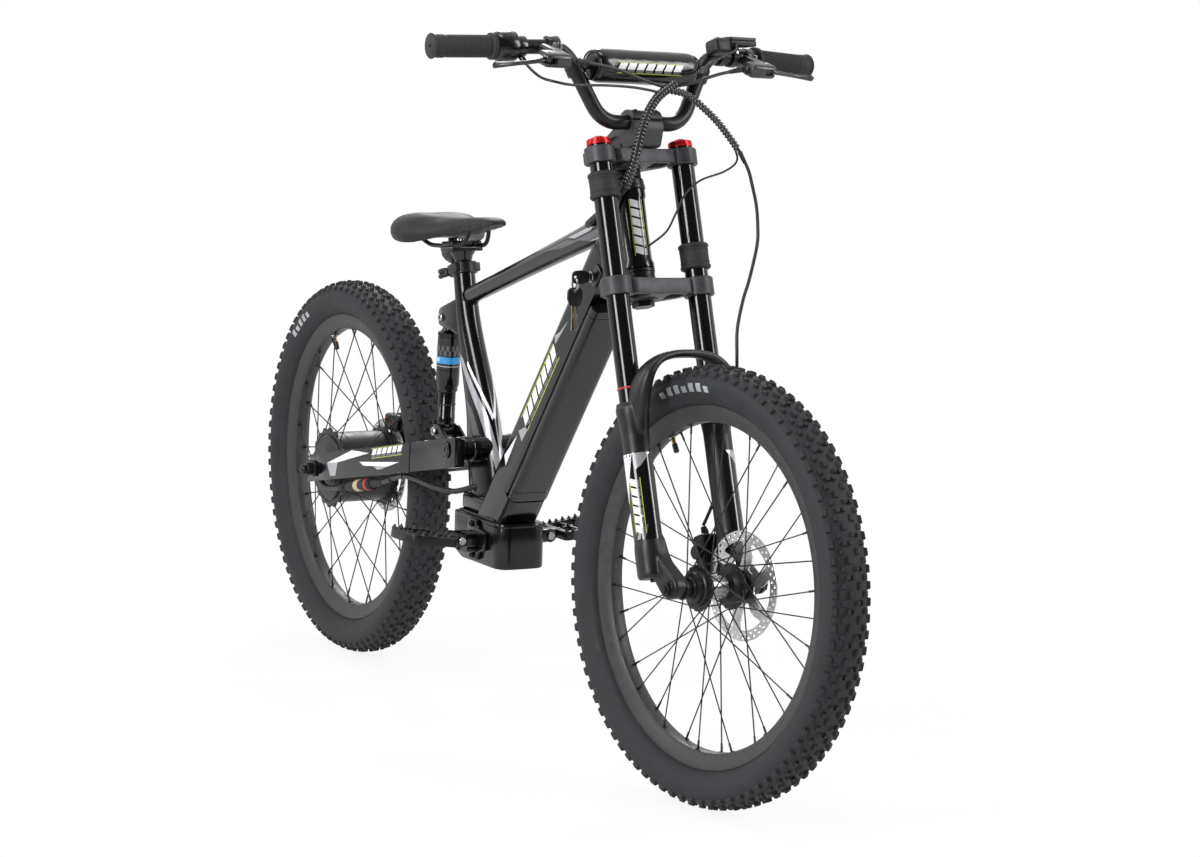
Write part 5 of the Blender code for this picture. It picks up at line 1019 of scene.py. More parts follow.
SEAT_AXIS = (at(*SEAT_TUBE_TOP) - at(0.415, 0.6)).normalized()
SEAT_BACK = Vector((-SEAT_AXIS.z, 0, SEAT_AXIS.x))


TUBE_SEEN = DOWN_TUBE @ Matrix.Translation((0, 0, 0.005))


def main_frame():
    """Hydroformed and welded aluminium tubes, their brackets and weld beads, and the printed stripes on them."""
    seat_skin = oval_skin(
        [(0.404, 0.702, 0.0172, 0.0172), (0.415, 0.657, 0.0178, 0.018), (0.432, 0.6, 0.0195, 0.0222),
         (0.479, 0.49, 0.0225, 0.034), (0.497, 0.426, 0.0245, 0.0435), (0.508, 0.37, 0.0245, 0.048),
         (0.517, 0.33, 0.0245, 0.0485)], SEAT_AXIS)
    front = Vector(ground_height(steering_point(0.565)))
    rear = Vector((0.405, 0.648))
    top_stations = []
    for share, half_width, half_depth in ((0, 0.014, 0.0135), (0.45, 0.016, 0.0155), (0.8, 0.018, 0.0195),
                                          (1.0, 0.019, 0.024)):
        top_stations.append((*rear.lerp(front, share), half_width, half_depth))
    run = front - rear
    top_skin = oval_skin(top_stations, (run.x, 0, run.y))
    head = [(0.0212, 0.4822), (0.0236, 0.483), (0.0236, 0.49), (0.0214, 0.495), (0.021, 0.54),
            (0.0214, 0.585), (0.0236, 0.59), (0.0236, 0.599), (0.0212, 0.5998)]
    half, deep = DOWN_TUBE_WIDTH / 2, DOWN_TUBE_DEPTH
    section = rounded([(-half, 0), (half, 0), (half, -deep), (-half, -deep)], 0.011, 5)
    lowest = min(z for _, z in section)
    section = [(y, z if z > lowest + 0.004 else lowest) for y, z in section]
    tube = loft([[TUBE_SEEN @ Vector((x, y, z)) for y, z in section] for x in (-0.006, DOWN_TUBE_LENGTH)])
    shoe = rounded([(-half + 0.0004, -0.02), (half - 0.0004, -0.02), (half - 0.0004, BATTERY_UNDERSIDE),
                    (-half + 0.0004, BATTERY_UNDERSIDE)], 0.015, 6)
    foot = loft([[TUBE_SEEN @ Vector((x, y, z)) for y, z in shoe] for x in (-0.02, 0.0972)])
    body, seat_tube = [cut(part, block((0.5, 0.3, 0.2), at(0.55, BOX_TOP - 0.1)))
                       for part in (union(tube, foot), skinned(seat_skin, 44))]
    plinth = block((0.112, 0.06, 0.03), at(0.53, BOX_TOP + 0.0152), 0.008)
    half_boss = [(0.009, 0.0615), (0.0188, 0.0615), (0.0196, 0.0606), (0.0196, 0.056), (0.0186, 0.055),
                 (0.0186, 0.052), (0.0196, 0.0512), (0.0196, 0.044), (0.018, 0.0425), (0.018, 0.0395),
                 (0.0205, 0.038), (0.0212, 0.036), (0.0212, 0.025)]
    boss = half_boss + [(radius, -y) for radius, y in reversed(half_boss)]
    boss = lathe(boss, 56, Matrix.Translation(at(*PIVOT)) @ TURN_TO_Y, closed=True)
    top = Vector(SHOCK_TOP)
    ear = rounded([(top.x - 0.013, top.y + 0.013), (top.x - 0.013, top.y - 0.014), (top.x + 0.03, top.y - 0.016),
                   (top.x + 0.062, top.y - 0.024), (top.x + 0.052, top.y + 0.036)], 0.01, 6)
    ears = [plate([ear], 0.005, Matrix.Translation((-BOX_AHEAD, y, -BOX_CLEARANCE)) @ SIDE_VIEW, 0.0012)
            for y in (0.0135, -0.0135)]
    bridge = block((0.02, 0.028, 0.03), at(top.x + 0.045, top.y + 0.004), 0.003)
    # The tube's end is swaged narrower and taller where it is welded to the head tube
    swage = [(TUBE_SEEN @ Vector((0.586, y, z)), steering_point(0.562 + 0.07 * z / deep) + Vector((0, y * 0.55, 0)))
             for y, z in section]
    web = loft([[wide.lerp(narrow, share) for wide, narrow in swage] for share in (0, 0.3, 0.6, 1)])
    tubes = [skinned(top_skin, 36), lathe([(0.005, 0.4822)] + head + [(0.005, 0.5998)], 64, HEAD, closed=True), body,
             seat_tube, plinth, boss, bridge, web, *ears]
    for piece in tubes:
        painted(piece, "paint")
    beads = [
        bead([top_skin(0.965, i / 24, 0.0004) for i in range(24)], closed=True),
        bead([top_skin(0.055, i / 20, 0.0006) for i in range(20)], closed=True),
        bead([seat_skin(0.955, i / 24, 0.0008) for i in range(24)], closed=True),
        bead([at(0.53 + x, BOX_TOP + 0.0008, y) for x, y in rounded([(-0.057, -0.031), (0.075, -0.0335),
                                                                      (0.075, 0.0335),
              (-0.057, 0.031)], 0.012, 4)], 0.0022, closed=True),
    ]
    escutcheon = painted(block((0.034, 0.0036, 0.0185), at(0.921, 0.737, -half - 0.0012), 0.0012,
                               DOWN_TUBE.to_3x3().to_4x4()), "gloss_plastic")
    grommets = [escutcheon]
    for place, radius in ((at(*CABLE_PORT), 0.0088), (at(*MOTOR_PORT, -0.0225), 0.007)):
        torus = lathe(oval(radius, 0, 0.0012, 0.0012), 32,
                      Matrix.Translation(place) @ TURN_TO_Y, closed=True)
        grommets.append(painted(torus, "rubber"))
    stripes = []
    for flank in (-half, half):
        side = flat_skin(TUBE_SEEN, flank)
        stripes += bars(side, (0.226, -0.0145), (0.386, -0.039), 7)
        stripes += films(side, [
            ("white", (0.1305, -0.025), (0.17, -0.0232), (0.1947, -0.0213), (0.1398, -0.0112)),
            ("silver", (0.2038, -0.0201), (0.227, -0.033), (0.2497, -0.0415), (0.1991, -0.0383)),
            ("silver", (0.3902, -0.018), (0.4491, -0.0254), (0.4145, -0.0164), (0.4005, -0.0089)),
        ])
    stripes += both_sides(seat_skin, [
        ("silver", (0.36, 0.44), (0.62, 0.6), (0.645, 0.69), (0.385, 0.51)),
        ("silver", (0.62, 0.6), (0.9, 0.72), (0.88, 0.78), (0.645, 0.69)),
        ("white", (0.42, 0.56), (0.66, 0.73), (0.645, 0.755), (0.4, 0.575)),
        ("grey", (0.56, 0.47), (0.8, 0.56), (0.82, 0.64), (0.6, 0.54)),
    ])
    stripes += both_sides(top_skin, [
        ("grey", (0.56, 0.46), (0.7, 0.475), (0.76, 0.545), (0.66, 0.54)),
        ("silver", (0.7, 0.44), (0.86, 0.45), (0.83, 0.5), (0.74, 0.5)),
        ("grey", (0.74, 0.52), (0.9, 0.52), (0.93, 0.6), (0.8, 0.6)),
        ("grey", (0.84, 0.405), (0.95, 0.4), (0.92, 0.43), (0.86, 0.43)),
        ("silver", (0.8, 0.61), (0.92, 0.612), (0.9, 0.64), (0.84, 0.635)),
    ])
    head_skin = round_skin(HEAD, 0.0212)
    turned_skin = lambda height, turns, off=0.0: head_skin(turns, height, off)
    stripes += bars(turned_skin, (0.5, -0.085), (0.584, 0.045), 6)
    dressed("main_frame", [*tubes, *beads, *grommets, *stripes], 40)


def battery():
    """The battery's case: an extrusion with rounded corners, flush with the tube, with a cap at each end."""
    half = DOWN_TUBE_WIDTH / 2 - 0.0004
    low = BATTERY_UNDERSIDE
    low_end, high_end = BATTERY_START, BATTERY_START + BATTERY_LENGTH

    def section(inset):
        corners = [(-half + inset, BATTERY_TOP), (half - inset, BATTERY_TOP), (half - inset, low + inset),
                   (-half + inset, low + inset)]
        shape = rounded(corners, 0.0135, 8)
        return [(y, min(max(z, low + inset), BATTERY_TOP) if z < -0.056 else BATTERY_TOP) for y, z in shape]

    stations = [(low_end, 0.0012), (low_end + 0.0012, 0.0), (low_end + 0.02, 0.0), (low_end + 0.0204, 0.0006),
                (low_end + 0.0212, 0.0006), (low_end + 0.0216, 0.0), (high_end - 0.016, 0.0),
                (high_end - 0.0156, 0.0006), (high_end - 0.0148, 0.0006), (high_end - 0.0144, 0.0),
                (high_end - 0.0012, 0.0), (high_end, 0.0012)]
    case = loft([[TUBE_SEEN @ Vector((x, y, z)) for y, z in section(inset)] for x, inset in stations])
    core = block((BATTERY_LENGTH - 0.006, 0.0588, 0.046), (0, 0, 0), 0.003)
    core = placed(core, TUBE_SEEN @ Matrix.Translation(((low_end + high_end) / 2 - 0.003, 0, -0.0385)))
    dressed("battery", [painted(case, "battery"), painted(core, "plastic")], 30)


def control_box():
    """The controller's cast housing: rounded corners, an underside cut up at the rear, a lid line and its screws."""
    middle = at(0.55, BOX_CLEARANCE + 0.036)
    outline = rectangle(0.09, 0.042)
    body = plate([rounded(outline, 0.026, 8)], 0.0718, Matrix.Translation(middle), 0.0028)
    cut_up = block((0.09, 0.2, 0.04), at(0.476, BOX_CLEARANCE - 0.009), 0, Matrix.Rotation(math.radians(20), 4, "Y"))
    groove = plate([rounded([(x * 1.02, y * 1.04) for x, y in outline], 0.026, 8),
                    rounded([(x * 0.99, y * 0.978) for x, y in outline], 0.025, 8)], 0.001,
                   Matrix.Translation(middle + Vector((0, 0, 0.03))))
    body = painted(eased(cut(body, cut_up, groove), 0.0014, 2, 50), "box_paint")
    screws = []
    for x, y in ((0.074, 0.034), (0.074, -0.034), (-0.074, 0.034), (-0.074, -0.034)):
        place = at(0.55 + x, BOX_CLEARANCE + 0.0722, y)
        screws.append(painted(rod(0.0032, place - Vector((0, 0, 0.001)), place, 20, 0.0006), "black_steel"))
    dressed("control_box", [body, *screws])


# Rear and small pieces

SIDE = Matrix.Translation((-BOX_AHEAD, 0, -BOX_CLEARANCE)) @ SIDE_VIEW
LOCK = at(0.9109, 0.7347)


def side_plate(corners, thickness, y, radius, easing, steps=6):
    """A plate that stands along the bicycle, from its corners ahead of the rear axle and above the ground."""
    return plate([rounded(corners, radius, steps)], thickness, Matrix.Translation((0, y, 0)) @ SIDE, easing)


def bolt_head(place, direction, radius, height, material="black_steel", recess=0.0):
    """A turned head with eased edges and, where it shows, a recess for the key."""
    profile = [(0, 0), (radius, 0), (radius, height * 0.7), (radius * 0.86, height)]
    profile += [(recess, height), (recess * 0.9, height * 0.45), (0, height * 0.45)] if recess else [(0, height)]
    return painted(lathe(profile, 32, facing(place, direction)), material)


def tooth(place, height, width):
    return rod(width, place, Vector(place) + Vector((0, 0, height)), 4, end_radius=width * 0.12)


def peg_pin(side):
    return at(0.557, 0.288, side * 0.078)


def peg_bracket(side):
    """A cast plate with two lobes, each with its bolt, and the ears that hold the peg's pin."""
    pin = peg_pin(side)
    wall = side * 0.0425
    outline = rounded([(0.536, 0.31), (0.54, 0.319), (0.566, 0.319), (0.572, 0.306), (0.598, 0.302),
                       (0.598, 0.274), (0.576, 0.268), (0.57, 0.253), (0.548, 0.253), (0.536, 0.266)], 0.006, 5)
    flange = plate([outline], 0.0056, Matrix.Translation((0, wall + side * 0.0028, 0)) @ SIDE, 0.0012)
    web = block((0.046, 0.032, 0.02), (pin.x, side * 0.06, pin.z - 0.001), 0.005)
    low = block((0.04, 0.026, 0.012), (pin.x - 0.004, side * 0.056, pin.z - 0.015), 0.005)
    ears = []
    for end in (1, -1):
        ear = rod(0.0108, pin + Vector((end * 0.015, 0, 0)), pin + Vector((end * 0.0224, 0, 0)), 32, 0.001)
        arm = block((0.007, 0.03, 0.02), (pin.x + end * 0.0187, side * 0.064, pin.z), 0.003)
        ears += [ear, arm]
    slot = block((0.0306, 0.03, 0.05), (pin.x, side * 0.08, pin.z))
    body = painted(cut(union(flange, web, low, *ears), slot), "box_paint")
    face = wall + side * 0.0056
    heads = [bolt_head(at(ahead, height, face), (0, side, 0), 0.0052, 0.0042, "black_steel", 0.0026)
             for ahead, height in ((0.553, 0.3105), (0.557, 0.261))]
    dressed(f"peg_bracket_{'left' if side > 0 else 'right'}", [body, *heads], 40)


def footpeg(side):
    """A forged cage with two rows of teeth on its long edges, a toothed middle bar, and its pin's bright ends."""
    half, reach, root = 0.0445, 0.085, 0.016
    middle = root + reach / 2
    corners = [(-half, root), (half, root), (half, root + reach - 0.01), (half - 0.018, root + reach),
               (-half + 0.018, root + reach), (-half, root + reach - 0.01)]
    window = [(x * 0.8, middle + (y - middle) * 0.8) for x, y in corners]
    cage = eased(placed(plate([rounded(corners, 0.012, 5), rounded(window, 0.008, 4)], 0.014),
                        Matrix.Translation((0, 0, -0.0018))), 0.0011, 2, 50)
    bar_across = block((0.007, reach - 0.004, 0.009), (0, middle, 0), 0.001)
    struts = [block((2 * half - 0.006, 0.0055, 0.008), (0, root + reach * share, 0), 0.001)
              for share in (0.36, 0.68)]
    stem = block((0.024, 0.026, 0.012), (0, 0.011, 0), 0.002)
    eye = rod(0.0092, (-0.0148, 0, 0), (0.0148, 0, 0), 32, 0.0008)
    teeth = []
    for i in range(7):
        y = root + 0.004 + i * (reach - 0.016) / 6
        for x in (half - 0.0036, -half + 0.0036):
            teeth.append(tooth((x, y, 0.004), 0.0075 if i % 2 else 0.0062, 0.005))
        if 0 < i < 6:
            teeth.append(tooth((0, y, 0.003), 0.006, 0.0042))
    for i in range(4):
        teeth.append(tooth(((i - 1.5) * 0.016, root + reach - 0.0045, 0.004), 0.0072, 0.005))
    peg = painted(joined(cage, bar_across, *struts, stem, eye, *teeth), "black_steel")
    pin = painted(rod(0.004, (-0.025, 0, 0), (0.0236, 0, 0), 24), "steel")
    heads = [bolt_head((end * 0.0226, 0, 0), (end, 0, 0), 0.0062, 0.0034, "polished") for end in (1, -1)]
    rise = Matrix.Rotation(math.radians(8), 4, "X")
    piece = placed(joined(peg, pin, *heads), rise)
    if side < 0:
        piece = placed(piece, Matrix.Rotation(math.pi, 4, "Z"))
    dressed(f"footpeg_{'left' if side > 0 else 'right'}", [piece], 40, Matrix.Translation(peg_pin(side)))


def swingarm():
    """Two deep box-section arms with a fold where they meet the bridge, slotted ends, and their printed stripes."""
    middle = ARM_INNER_HALF + ARM_THICKNESS / 2
    corners = [(0.549, 0.448), (0.04, 0.3525), (-0.019, 0.3405), (-0.0225, 0.2935), (0.05, 0.307),
               (0.549, 0.4)]
    pieces = []
    for side in (1, -1):
        arm = side_plate(corners, ARM_THICKNESS, side * middle, 0.006, 0)
        step = side_plate([(0.386, 0.46), (0.38, 0.33), (0.6, 0.33), (0.6, 0.52)], 0.004,
                          side * (middle + ARM_THICKNESS / 2 + 0.0009), 0.003, 0)
        slot = side_plate([(-0.04, 0.327), (0.006, 0.331), (0.006, 0.3105), (-0.04, 0.3065)], 0.05, side * middle,
                          0.006, 0)
        inset = side_plate([(-0.04, 0.333), (0.012, 0.3385), (0.014, 0.3035), (-0.04, 0.2985)], 0.004,
                           side * (middle + ARM_THICKNESS / 2), 0.004, 0)
        pieces.append(painted(eased(cut(arm, step, slot, inset), 0.0011, 3, 30), "paint"))
    slope = Matrix.Rotation(math.radians(-10), 4, "Y")
    pieces.append(painted(block((0.036, 2 * ARM_INNER_HALF + 0.004, 0.034), at(0.383, 0.402), 0.006, turn=slope),
                          "paint"))
    foot = Vector(SHOCK_FOOT)
    corners = [(foot.x - 0.012, foot.y + 0.012), (foot.x - 0.012, foot.y - 0.012), (foot.x + 0.044, foot.y - 0.03),
               (foot.x + 0.048, foot.y - 0.01), (foot.x + 0.014, foot.y + 0.012)]
    for side in (1, -1):
        pieces.append(painted(side_plate(corners, 0.005, side * 0.0165, 0.009, 0.0012), "paint"))
        pieces.append(bolt_head(at(*foot, side * 0.019), (0, side, 0), 0.0074, 0.004, "steel", 0.0034))
    pieces.append(painted(rod(0.005, at(*foot, -0.02), at(*foot, 0.02), 24), "steel"))
    pieces.append(painted(block((0.012, 0.012, 0.006), at(0.326, 0.402, -0.07), 0.002, turn=slope), "paint"))
    for side in (1, -1):
        y = side * (ARM_INNER_HALF + ARM_THICKNESS)
        arm_skin = lambda along, up, off=0.0, y=y: SIDE @ Vector((along, 0.424 + 0.198 * (along - 0.519) + up,
                                                                  -y - math.copysign(off, y)))
        marks = [("white", (0.06, 0.005), (0.16, 0.0205), (0.2273, 0.0116), (0.1016, 0.0032)),
                 ("silver", (0.0584, 0.0048), (0.1016, 0.0032), (0.0939, -0.019), (0.0723, -0.0183)),
                 ("white", (0.1905, -0.0008), (0.3459, -0.0098), (0.2979, -0.0149), (0.2075, -0.0081)),
                 ("silver", (0.248, -0.012), (0.2979, -0.0149), (0.276, -0.0178), (0.2614, -0.0178))]
        pieces += films(arm_skin, marks, steps=8, across=3)
        pieces += bars(arm_skin, (0.238, 0.0172), (0.356, 0.003), 6)
    dressed("swingarm", pieces, 40)


def axles():
    """The pivot's covers with their rings, and the wheel's nuts over clawed washers, with a domed cap."""
    pieces = [painted(rod(0.0085, at(*PIVOT, -0.08), at(*PIVOT, 0.08), 40), "black_steel")]
    for side in (1, -1):
        y = 0.0796
        cover = [(0, 0), (0.0138, 0), (0.0138, 0.0016), (0.013, 0.0022), (0.0116, 0.0022), (0.0112, 0.0014),
                 (0.0104, 0.0014), (0.01, 0.0024), (0.004, 0.0028), (0.0036, 0.0016), (0, 0.0016)]
        place = facing(at(*PIVOT, side * y), (0, side, 0))
        pieces.append(painted(lathe(cover, 56, place), "paint"))
    dressed("pivot_axle", pieces, 30)
    pieces = [rod(0.006, (0, -0.093, 0), (0, 0.093, 0), 40)]
    for side in (1, -1):
        inner = ARM_INNER_HALF + ARM_THICKNESS + 0.0002
        washer = plate([rounded([(-0.014, -0.0135), (0.01, -0.0135), (0.0165, -0.006), (0.0165, 0.006),
                                 (0.01, 0.0135), (-0.014, 0.0135)], 0.003, 4)], 0.003,
                       Matrix.Translation((0, side * (inner + 0.0013), 0)) @ SIDE_VIEW, 0.0005)
        claw = block((0.008, 0.006, 0.008), (-0.0125, side * (inner + 0.002), 0), 0.0012)
        nut = rod(0.0112, (0, side * (inner + 0.0028), 0), (0, side * (inner + 0.0128), 0), 6, 0.0009)
        cap = lathe([(0, 0), (0.008, 0), (0.0084, 0.003), (0.008, 0.0078), (0.006, 0.0105), (0.003, 0.0118),
                     (0, 0.0122)],
                    40, facing((0, side * (inner + 0.0116), 0), (0, side, 0)))
        pieces += [washer, claw, nut, cap]
    dressed("rear_axle", [painted(placed(joined(*pieces), REAR_WHEEL), "black_steel")], 30)


def rear_caliper():
    """A cable-pulled caliper on the left arm: cast body, pulling arm, adjuster and copper-coloured pad bolts."""
    body = block((0.056, 0.0215, 0.03), at(0.022, 0.395, 0.064), 0.006)
    head = rod(0.0135, at(0.022, 0.396, 0.053), at(0.022, 0.396, 0.0765), 40, 0.0016)
    tab = block((0.052, 0.0095, 0.028), at(0.022, 0.3692, 0.0708), 0.003)
    inlet = rod(0.0045, at(0.044, 0.3975, 0.066), at(0.064, 0.402, 0.066), 24, 0.0006)
    collar = rod(0.0062, at(0.048, 0.3983, 0.066), at(0.054, 0.3997, 0.066), 6, 0.0004)
    arm = side_plate([(0.014, 0.403), (0.02, 0.4125), (0.05, 0.414), (0.052, 0.408), (0.03, 0.402)], 0.005,
                     0.07, 0.003, 0.0008)
    slot = block((0.2, 0.0052, 0.1), at(0.022, 0.3525, 0.0575))
    parts = [painted(part, "black_anodised") for part in (cut(union(body, head), slot), tab, inlet, collar, arm)]
    for ahead, height in ((0.005, 0.404), (0.04, 0.4045), (0.022, 0.396)):
        parts.append(bolt_head(at(ahead, height - 0.004, 0.0545), (0, -1, 0), 0.0036, 0.0034, "copper", 0.0018))
    for ahead in (0.004, 0.04):
        parts.append(bolt_head(at(ahead, 0.37, 0.0755), (0, 1, 0), 0.0042, 0.0036, "steel", 0.0022))
        parts.append(bolt_head(at(ahead, 0.37, 0.0662), (0, -1, 0), 0.0042, 0.003, "steel", 0.0022))
    dressed("rear_caliper", parts, 35)


def shock():
    """An air shock: knurled top, checker band, blue band with bars, lower sleeve, then the plated shaft."""
    top, foot = at(*SHOCK_TOP), at(*SHOCK_FOOT)
    axis = (top - foot).normalized()
    place = facing(top, axis)
    wide = 0.019
    profile = [(0, -0.01), (0.0115, -0.0105), (0.012, -0.019), (0.015, -0.023), (wide - 0.0006, -0.0245),
               (wide, -0.0252), (wide, -0.03), (wide - 0.001, -0.0306), (wide - 0.001, -0.0314), (wide, -0.032),
               (wide, -0.084), (wide - 0.0007, -0.0846), (wide - 0.0007, -0.0856), (wide, -0.0862), (wide, -0.109),
               (wide - 0.001, -0.112), (0.0174, -0.1145), (0.017, -0.1155), (0.017, -0.1205), (0.0164, -0.1212),
               (0.0154, -0.1212), (0.0154, -0.032), (0, -0.032)]
    parts = [painted(lathe(profile, 72, place), "stanchion")]
    knurl = block((0.0007, 0.001, 0.004), (wide - 0.0001, 0, -0.0276))
    parts.append(placed(in_ring_of(knurl, 60, "black_anodised"), place))
    can_skin = round_skin(place, wide)
    for row in range(2):
        for i in range(14):
            low, start = -0.045 - 0.0082 * row, (i + 0.5 * row) / 14
            parts.append(film(can_skin, [(start, low), (start + 0.5 / 14, low), (start + 0.5 / 14, low - 0.008),
                                         (start, low - 0.008)],
                              "stripe_grey", 2, 1))
    for low, high, tone in ((-0.0635, -0.0745, "stripe_blue"), (-0.0782, -0.0794, "stripe_silver")):
        ring = sleeve(wide + 0.00025, wide - 0.0004, high, low, place, 0, 72)
        parts.append(painted(ring, tone))
    band_skin = round_skin(place, wide + 0.00025)
    for i in range(5):
        start = -0.62 + i * 0.036
        parts.append(film(band_skin, [(start, -0.066), (start + 0.02, -0.0655), (start + 0.014, -0.0715),
                                      (start - 0.006, -0.072)],
                          "stripe_white", 2, 1))
    parts.append(painted(rod(0.0112, top - Vector((0, 0.0106, 0)), top + Vector((0, 0.0106, 0)), 48, 0.0008),
                         "black_anodised"))
    parts.append(painted(rod(0.005, top - Vector((0, 0.0165, 0)), top + Vector((0, 0.0165, 0)), 24), "steel"))
    for side in (1, -1):
        parts.append(bolt_head(top + Vector((0, side * 0.0162, 0)), (0, side, 0), 0.0066, 0.004, "steel", 0.0032))
    dressed("shock_can", parts, 35)
    reach = (top - foot).length
    place = facing(foot, axis)
    profile = [(0, 0.008), (0.0128, 0.01), (0.0148, 0.0124), (0.0148, 0.027), (0.0144, 0.0276),
               (0.0144, reach - 0.08), (0.0148, reach - 0.0795), (0.0148, reach - 0.076), (0, reach - 0.076)]
    parts = [painted(lathe(profile, 56, place), "stanchion")]
    parts.append(painted(lathe([(0.013, 0.044), (0.0147, 0.044), (0.015, 0.0446), (0.015, 0.0454),
                                (0.0147, 0.046), (0.013, 0.046)], 48, place,
                               closed=True), "rubber"))
    eye = sleeve(0.0114, 0.0068, -0.0135, 0.0135, Matrix.Translation(foot) @ TURN_TO_Y, 0.0008, 48)
    parts.append(painted(eye, "black_anodised"))
    dressed("shock_shaft", parts, 35)


def in_ring_of(item, count, material):
    """Copies round the Z axis, by turning each one in its mesh."""
    copies = []
    for i in range(count):
        bm = bmesh.new()
        bm.from_mesh(item.data)
        bm.transform(Matrix.Rotation(TURN * i / count, 4, "Z"))
        copies.append(new_object(bm))
    bpy.data.objects.remove(item)
    return painted(joined(*copies), material)


def motor_cable():
    """Out of the dropout, through its sealed connector with two coloured rings, under the arm and into the frame."""
    y = -ARM_INNER_HALF - ARM_THICKNESS / 2
    low, high = at(0.1, 0.301, y), at(0.262, 0.334, y)
    lead = [at(0.01, 0.308, y), at(0.018, 0.298, y), at(0.036, 0.2925, y), at(0.07, 0.2955, y), low,
            low.lerp(high, 0.1)]
    away = [low.lerp(high, 0.9), high, at(0.295, 0.344, y), at(0.326, 0.3525, y), at(0.352, 0.357, -0.07),
            at(0.38, 0.356, -0.0655),
            at(0.4308, 0.35, -0.056), at(0.47, 0.349, -0.045), at(0.492, 0.354, -0.036),
            at(*MOTOR_PORT, -0.024),
            at(*MOTOR_PORT, -0.018)]
    parts = [jacket(lead, 0.0048), jacket(away, 0.0045)]
    axis = (high - low).normalized()
    place = facing(low, axis)
    length = (high - low).length
    body = [(0, -0.002), (0.0058, -0.002), (0.0062, 0.01), (0.007, 0.022), (0.007, 0.034), (0.0088, 0.04),
            (0.0092, 0.044), (0.0092, 0.062), (0.0086, 0.063), (0.0086, 0.092), (0.0096, 0.094), (0.0096, 0.118),
            (0.009, 0.12), (0.0072, 0.134), (0.006, 0.15), (0.0052, length + 0.002), (0, length + 0.002)]
    parts.append(painted(lathe(body, 40, place), "rubber"))
    for start in (0.012, 0.017, 0.022, 0.122, 0.127):
        radius = 0.0072 if start < 0.1 else 0.009
        ring = lathe([(radius - 0.002, start), (radius + 0.0008, start), (radius + 0.0008, start + 0.0026),
                      (radius - 0.002, start + 0.0026)],
                     32, place, closed=True)
        parts.append(painted(ring, "rubber"))
    for start, end, radius, tone in ((0.066, 0.082, 0.0098, "beige"), (0.1085, 0.1165, 0.0103, "red_plastic")):
        ring = lathe([(0.008, start), (radius, start), (radius + 0.0003, start + 0.001),
                      (radius + 0.0003, end - 0.001), (radius, end), (0.008, end)],
                     40, place, closed=True)
        parts.append(painted(ring, tone))
    for i in range(12):
        rib = block((0.001, 0.0014, 0.01), (0.0096, 0, 0.1))
        parts.append(painted(placed(rib, place @ Matrix.Rotation(TURN * i / 12, 4, "Z")), "rubber"))
    for spot in (at(0.344, 0.3585, -0.0708), at(0.298, 0.3448, y)):
        tie = lathe([(0.0044, -0.0016), (0.0056, -0.0016), (0.0056, 0.0016), (0.0044, 0.0016)], 24,
                    facing(spot - Vector((0, 0, 0.0012)), (1, 0, 0.15)), closed=True)
        parts.append(painted(tie, "plastic"))
    dressed("motor_cable", parts, 45)


def keyed_bow(width, height, thickness, hole):
    """A moulded key head, seen flat: cut shoulders, a hole for the ring and a raised panel on both faces."""
    w, h = width / 2, height
    corners = [(-w * 0.55, 0), (-w * 0.95, -h * 0.16), (-w, -h * 0.62), (-w * 0.66, -h), (w * 0.66, -h),
               (w, -h * 0.62), (w * 0.95, -h * 0.16), (w * 0.55, 0)]
    bow = eased(plate([rounded(corners, 0.0025, 4), circle(hole, 24, (0, -hole - 0.0018))], thickness), 0.0006, 2, 50)
    panel = [(x * 0.62, -h * 0.6 + (z + h * 0.5) * 0.5) for x, z in corners]
    raised = plate([rounded(panel, 0.0016, 3)], thickness + 0.0008, None, 0.0003)
    return painted(joined(bow, raised), "plastic")


def lock_and_keys():
    """The battery's lock with its bright rim, the key in it, and the spare key that hangs on a split ring."""
    out = lambda y: Vector((LOCK.x, -0.033 - y, LOCK.z))
    outward = facing(out(0), (0, -1, 0))
    plug = lathe([(0, -0.009), (0.0082, -0.009), (0.0082, 0.0032), (0.0076, 0.004), (0.005, 0.004),
                  (0.0046, 0.003), (0, 0.003)], 48, outward)
    rim = lathe([(0.0064, 0.0034), (0.0084, 0.0034), (0.0087, 0.004), (0.0086, 0.0052), (0.0078, 0.0058),
                 (0.0066, 0.0052)], 48, outward,
                closed=True)
    keyway = block((0.0034, 0.016, 0.0094), out(0.0))
    plug = cut(plug, keyway)
    dressed("battery_lock", [painted(plug, "gloss_plastic"), painted(rim, "polished")], 35)
    blade = painted(block((0.0022, 0.02, 0.008), out(0.0035), 0.0003), "steel")
    bow = keyed_bow(0.0205, 0.027, 0.0044, 0.0029)
    # From flat, its shank end points at the lock and its hole stands outwards
    lie = Matrix(((0, 0, 1, LOCK.x), (0, -1, 0, -0.033 - 0.035), (1, 0, 0, LOCK.z), (0, 0, 0, 1)))
    dressed("key", [blade, placed(bow, lie)], 35)
    wire, radius = 0.0009, 0.009
    hole = out(0.0302)
    centre = hole - Vector((0, 0, radius + 0.0016))
    coils = [painted(lathe(oval(radius, shift, wire, wire), 48, Matrix.Translation(centre) @ TURN_TO_Y, closed=True),
                     "steel")
             for shift in (-0.00075, 0.00075)]
    low = centre - Vector((0, 0, radius - 0.0046))
    hang = Matrix(((0, 0, 1, low.x), (1, 0, 0, low.y), (0, 1, 0, low.z), (0, 0, 0, 1)))
    bow = placed(keyed_bow(0.024, 0.027, 0.0046, 0.0029), hang)
    shank = block((0.0024, 0.01, 0.039), low - Vector((0, 0, 0.044)), 0.0004)
    lines = [painted(block((0.0006, 0.003, 0.03), low - Vector((side * -0.0011, 0, 0.044)), 0.0), "brass")
             for side in (1, -1)]
    dressed("spare_key", [*coils, bow, painted(shank, "polished"), *lines], 35)


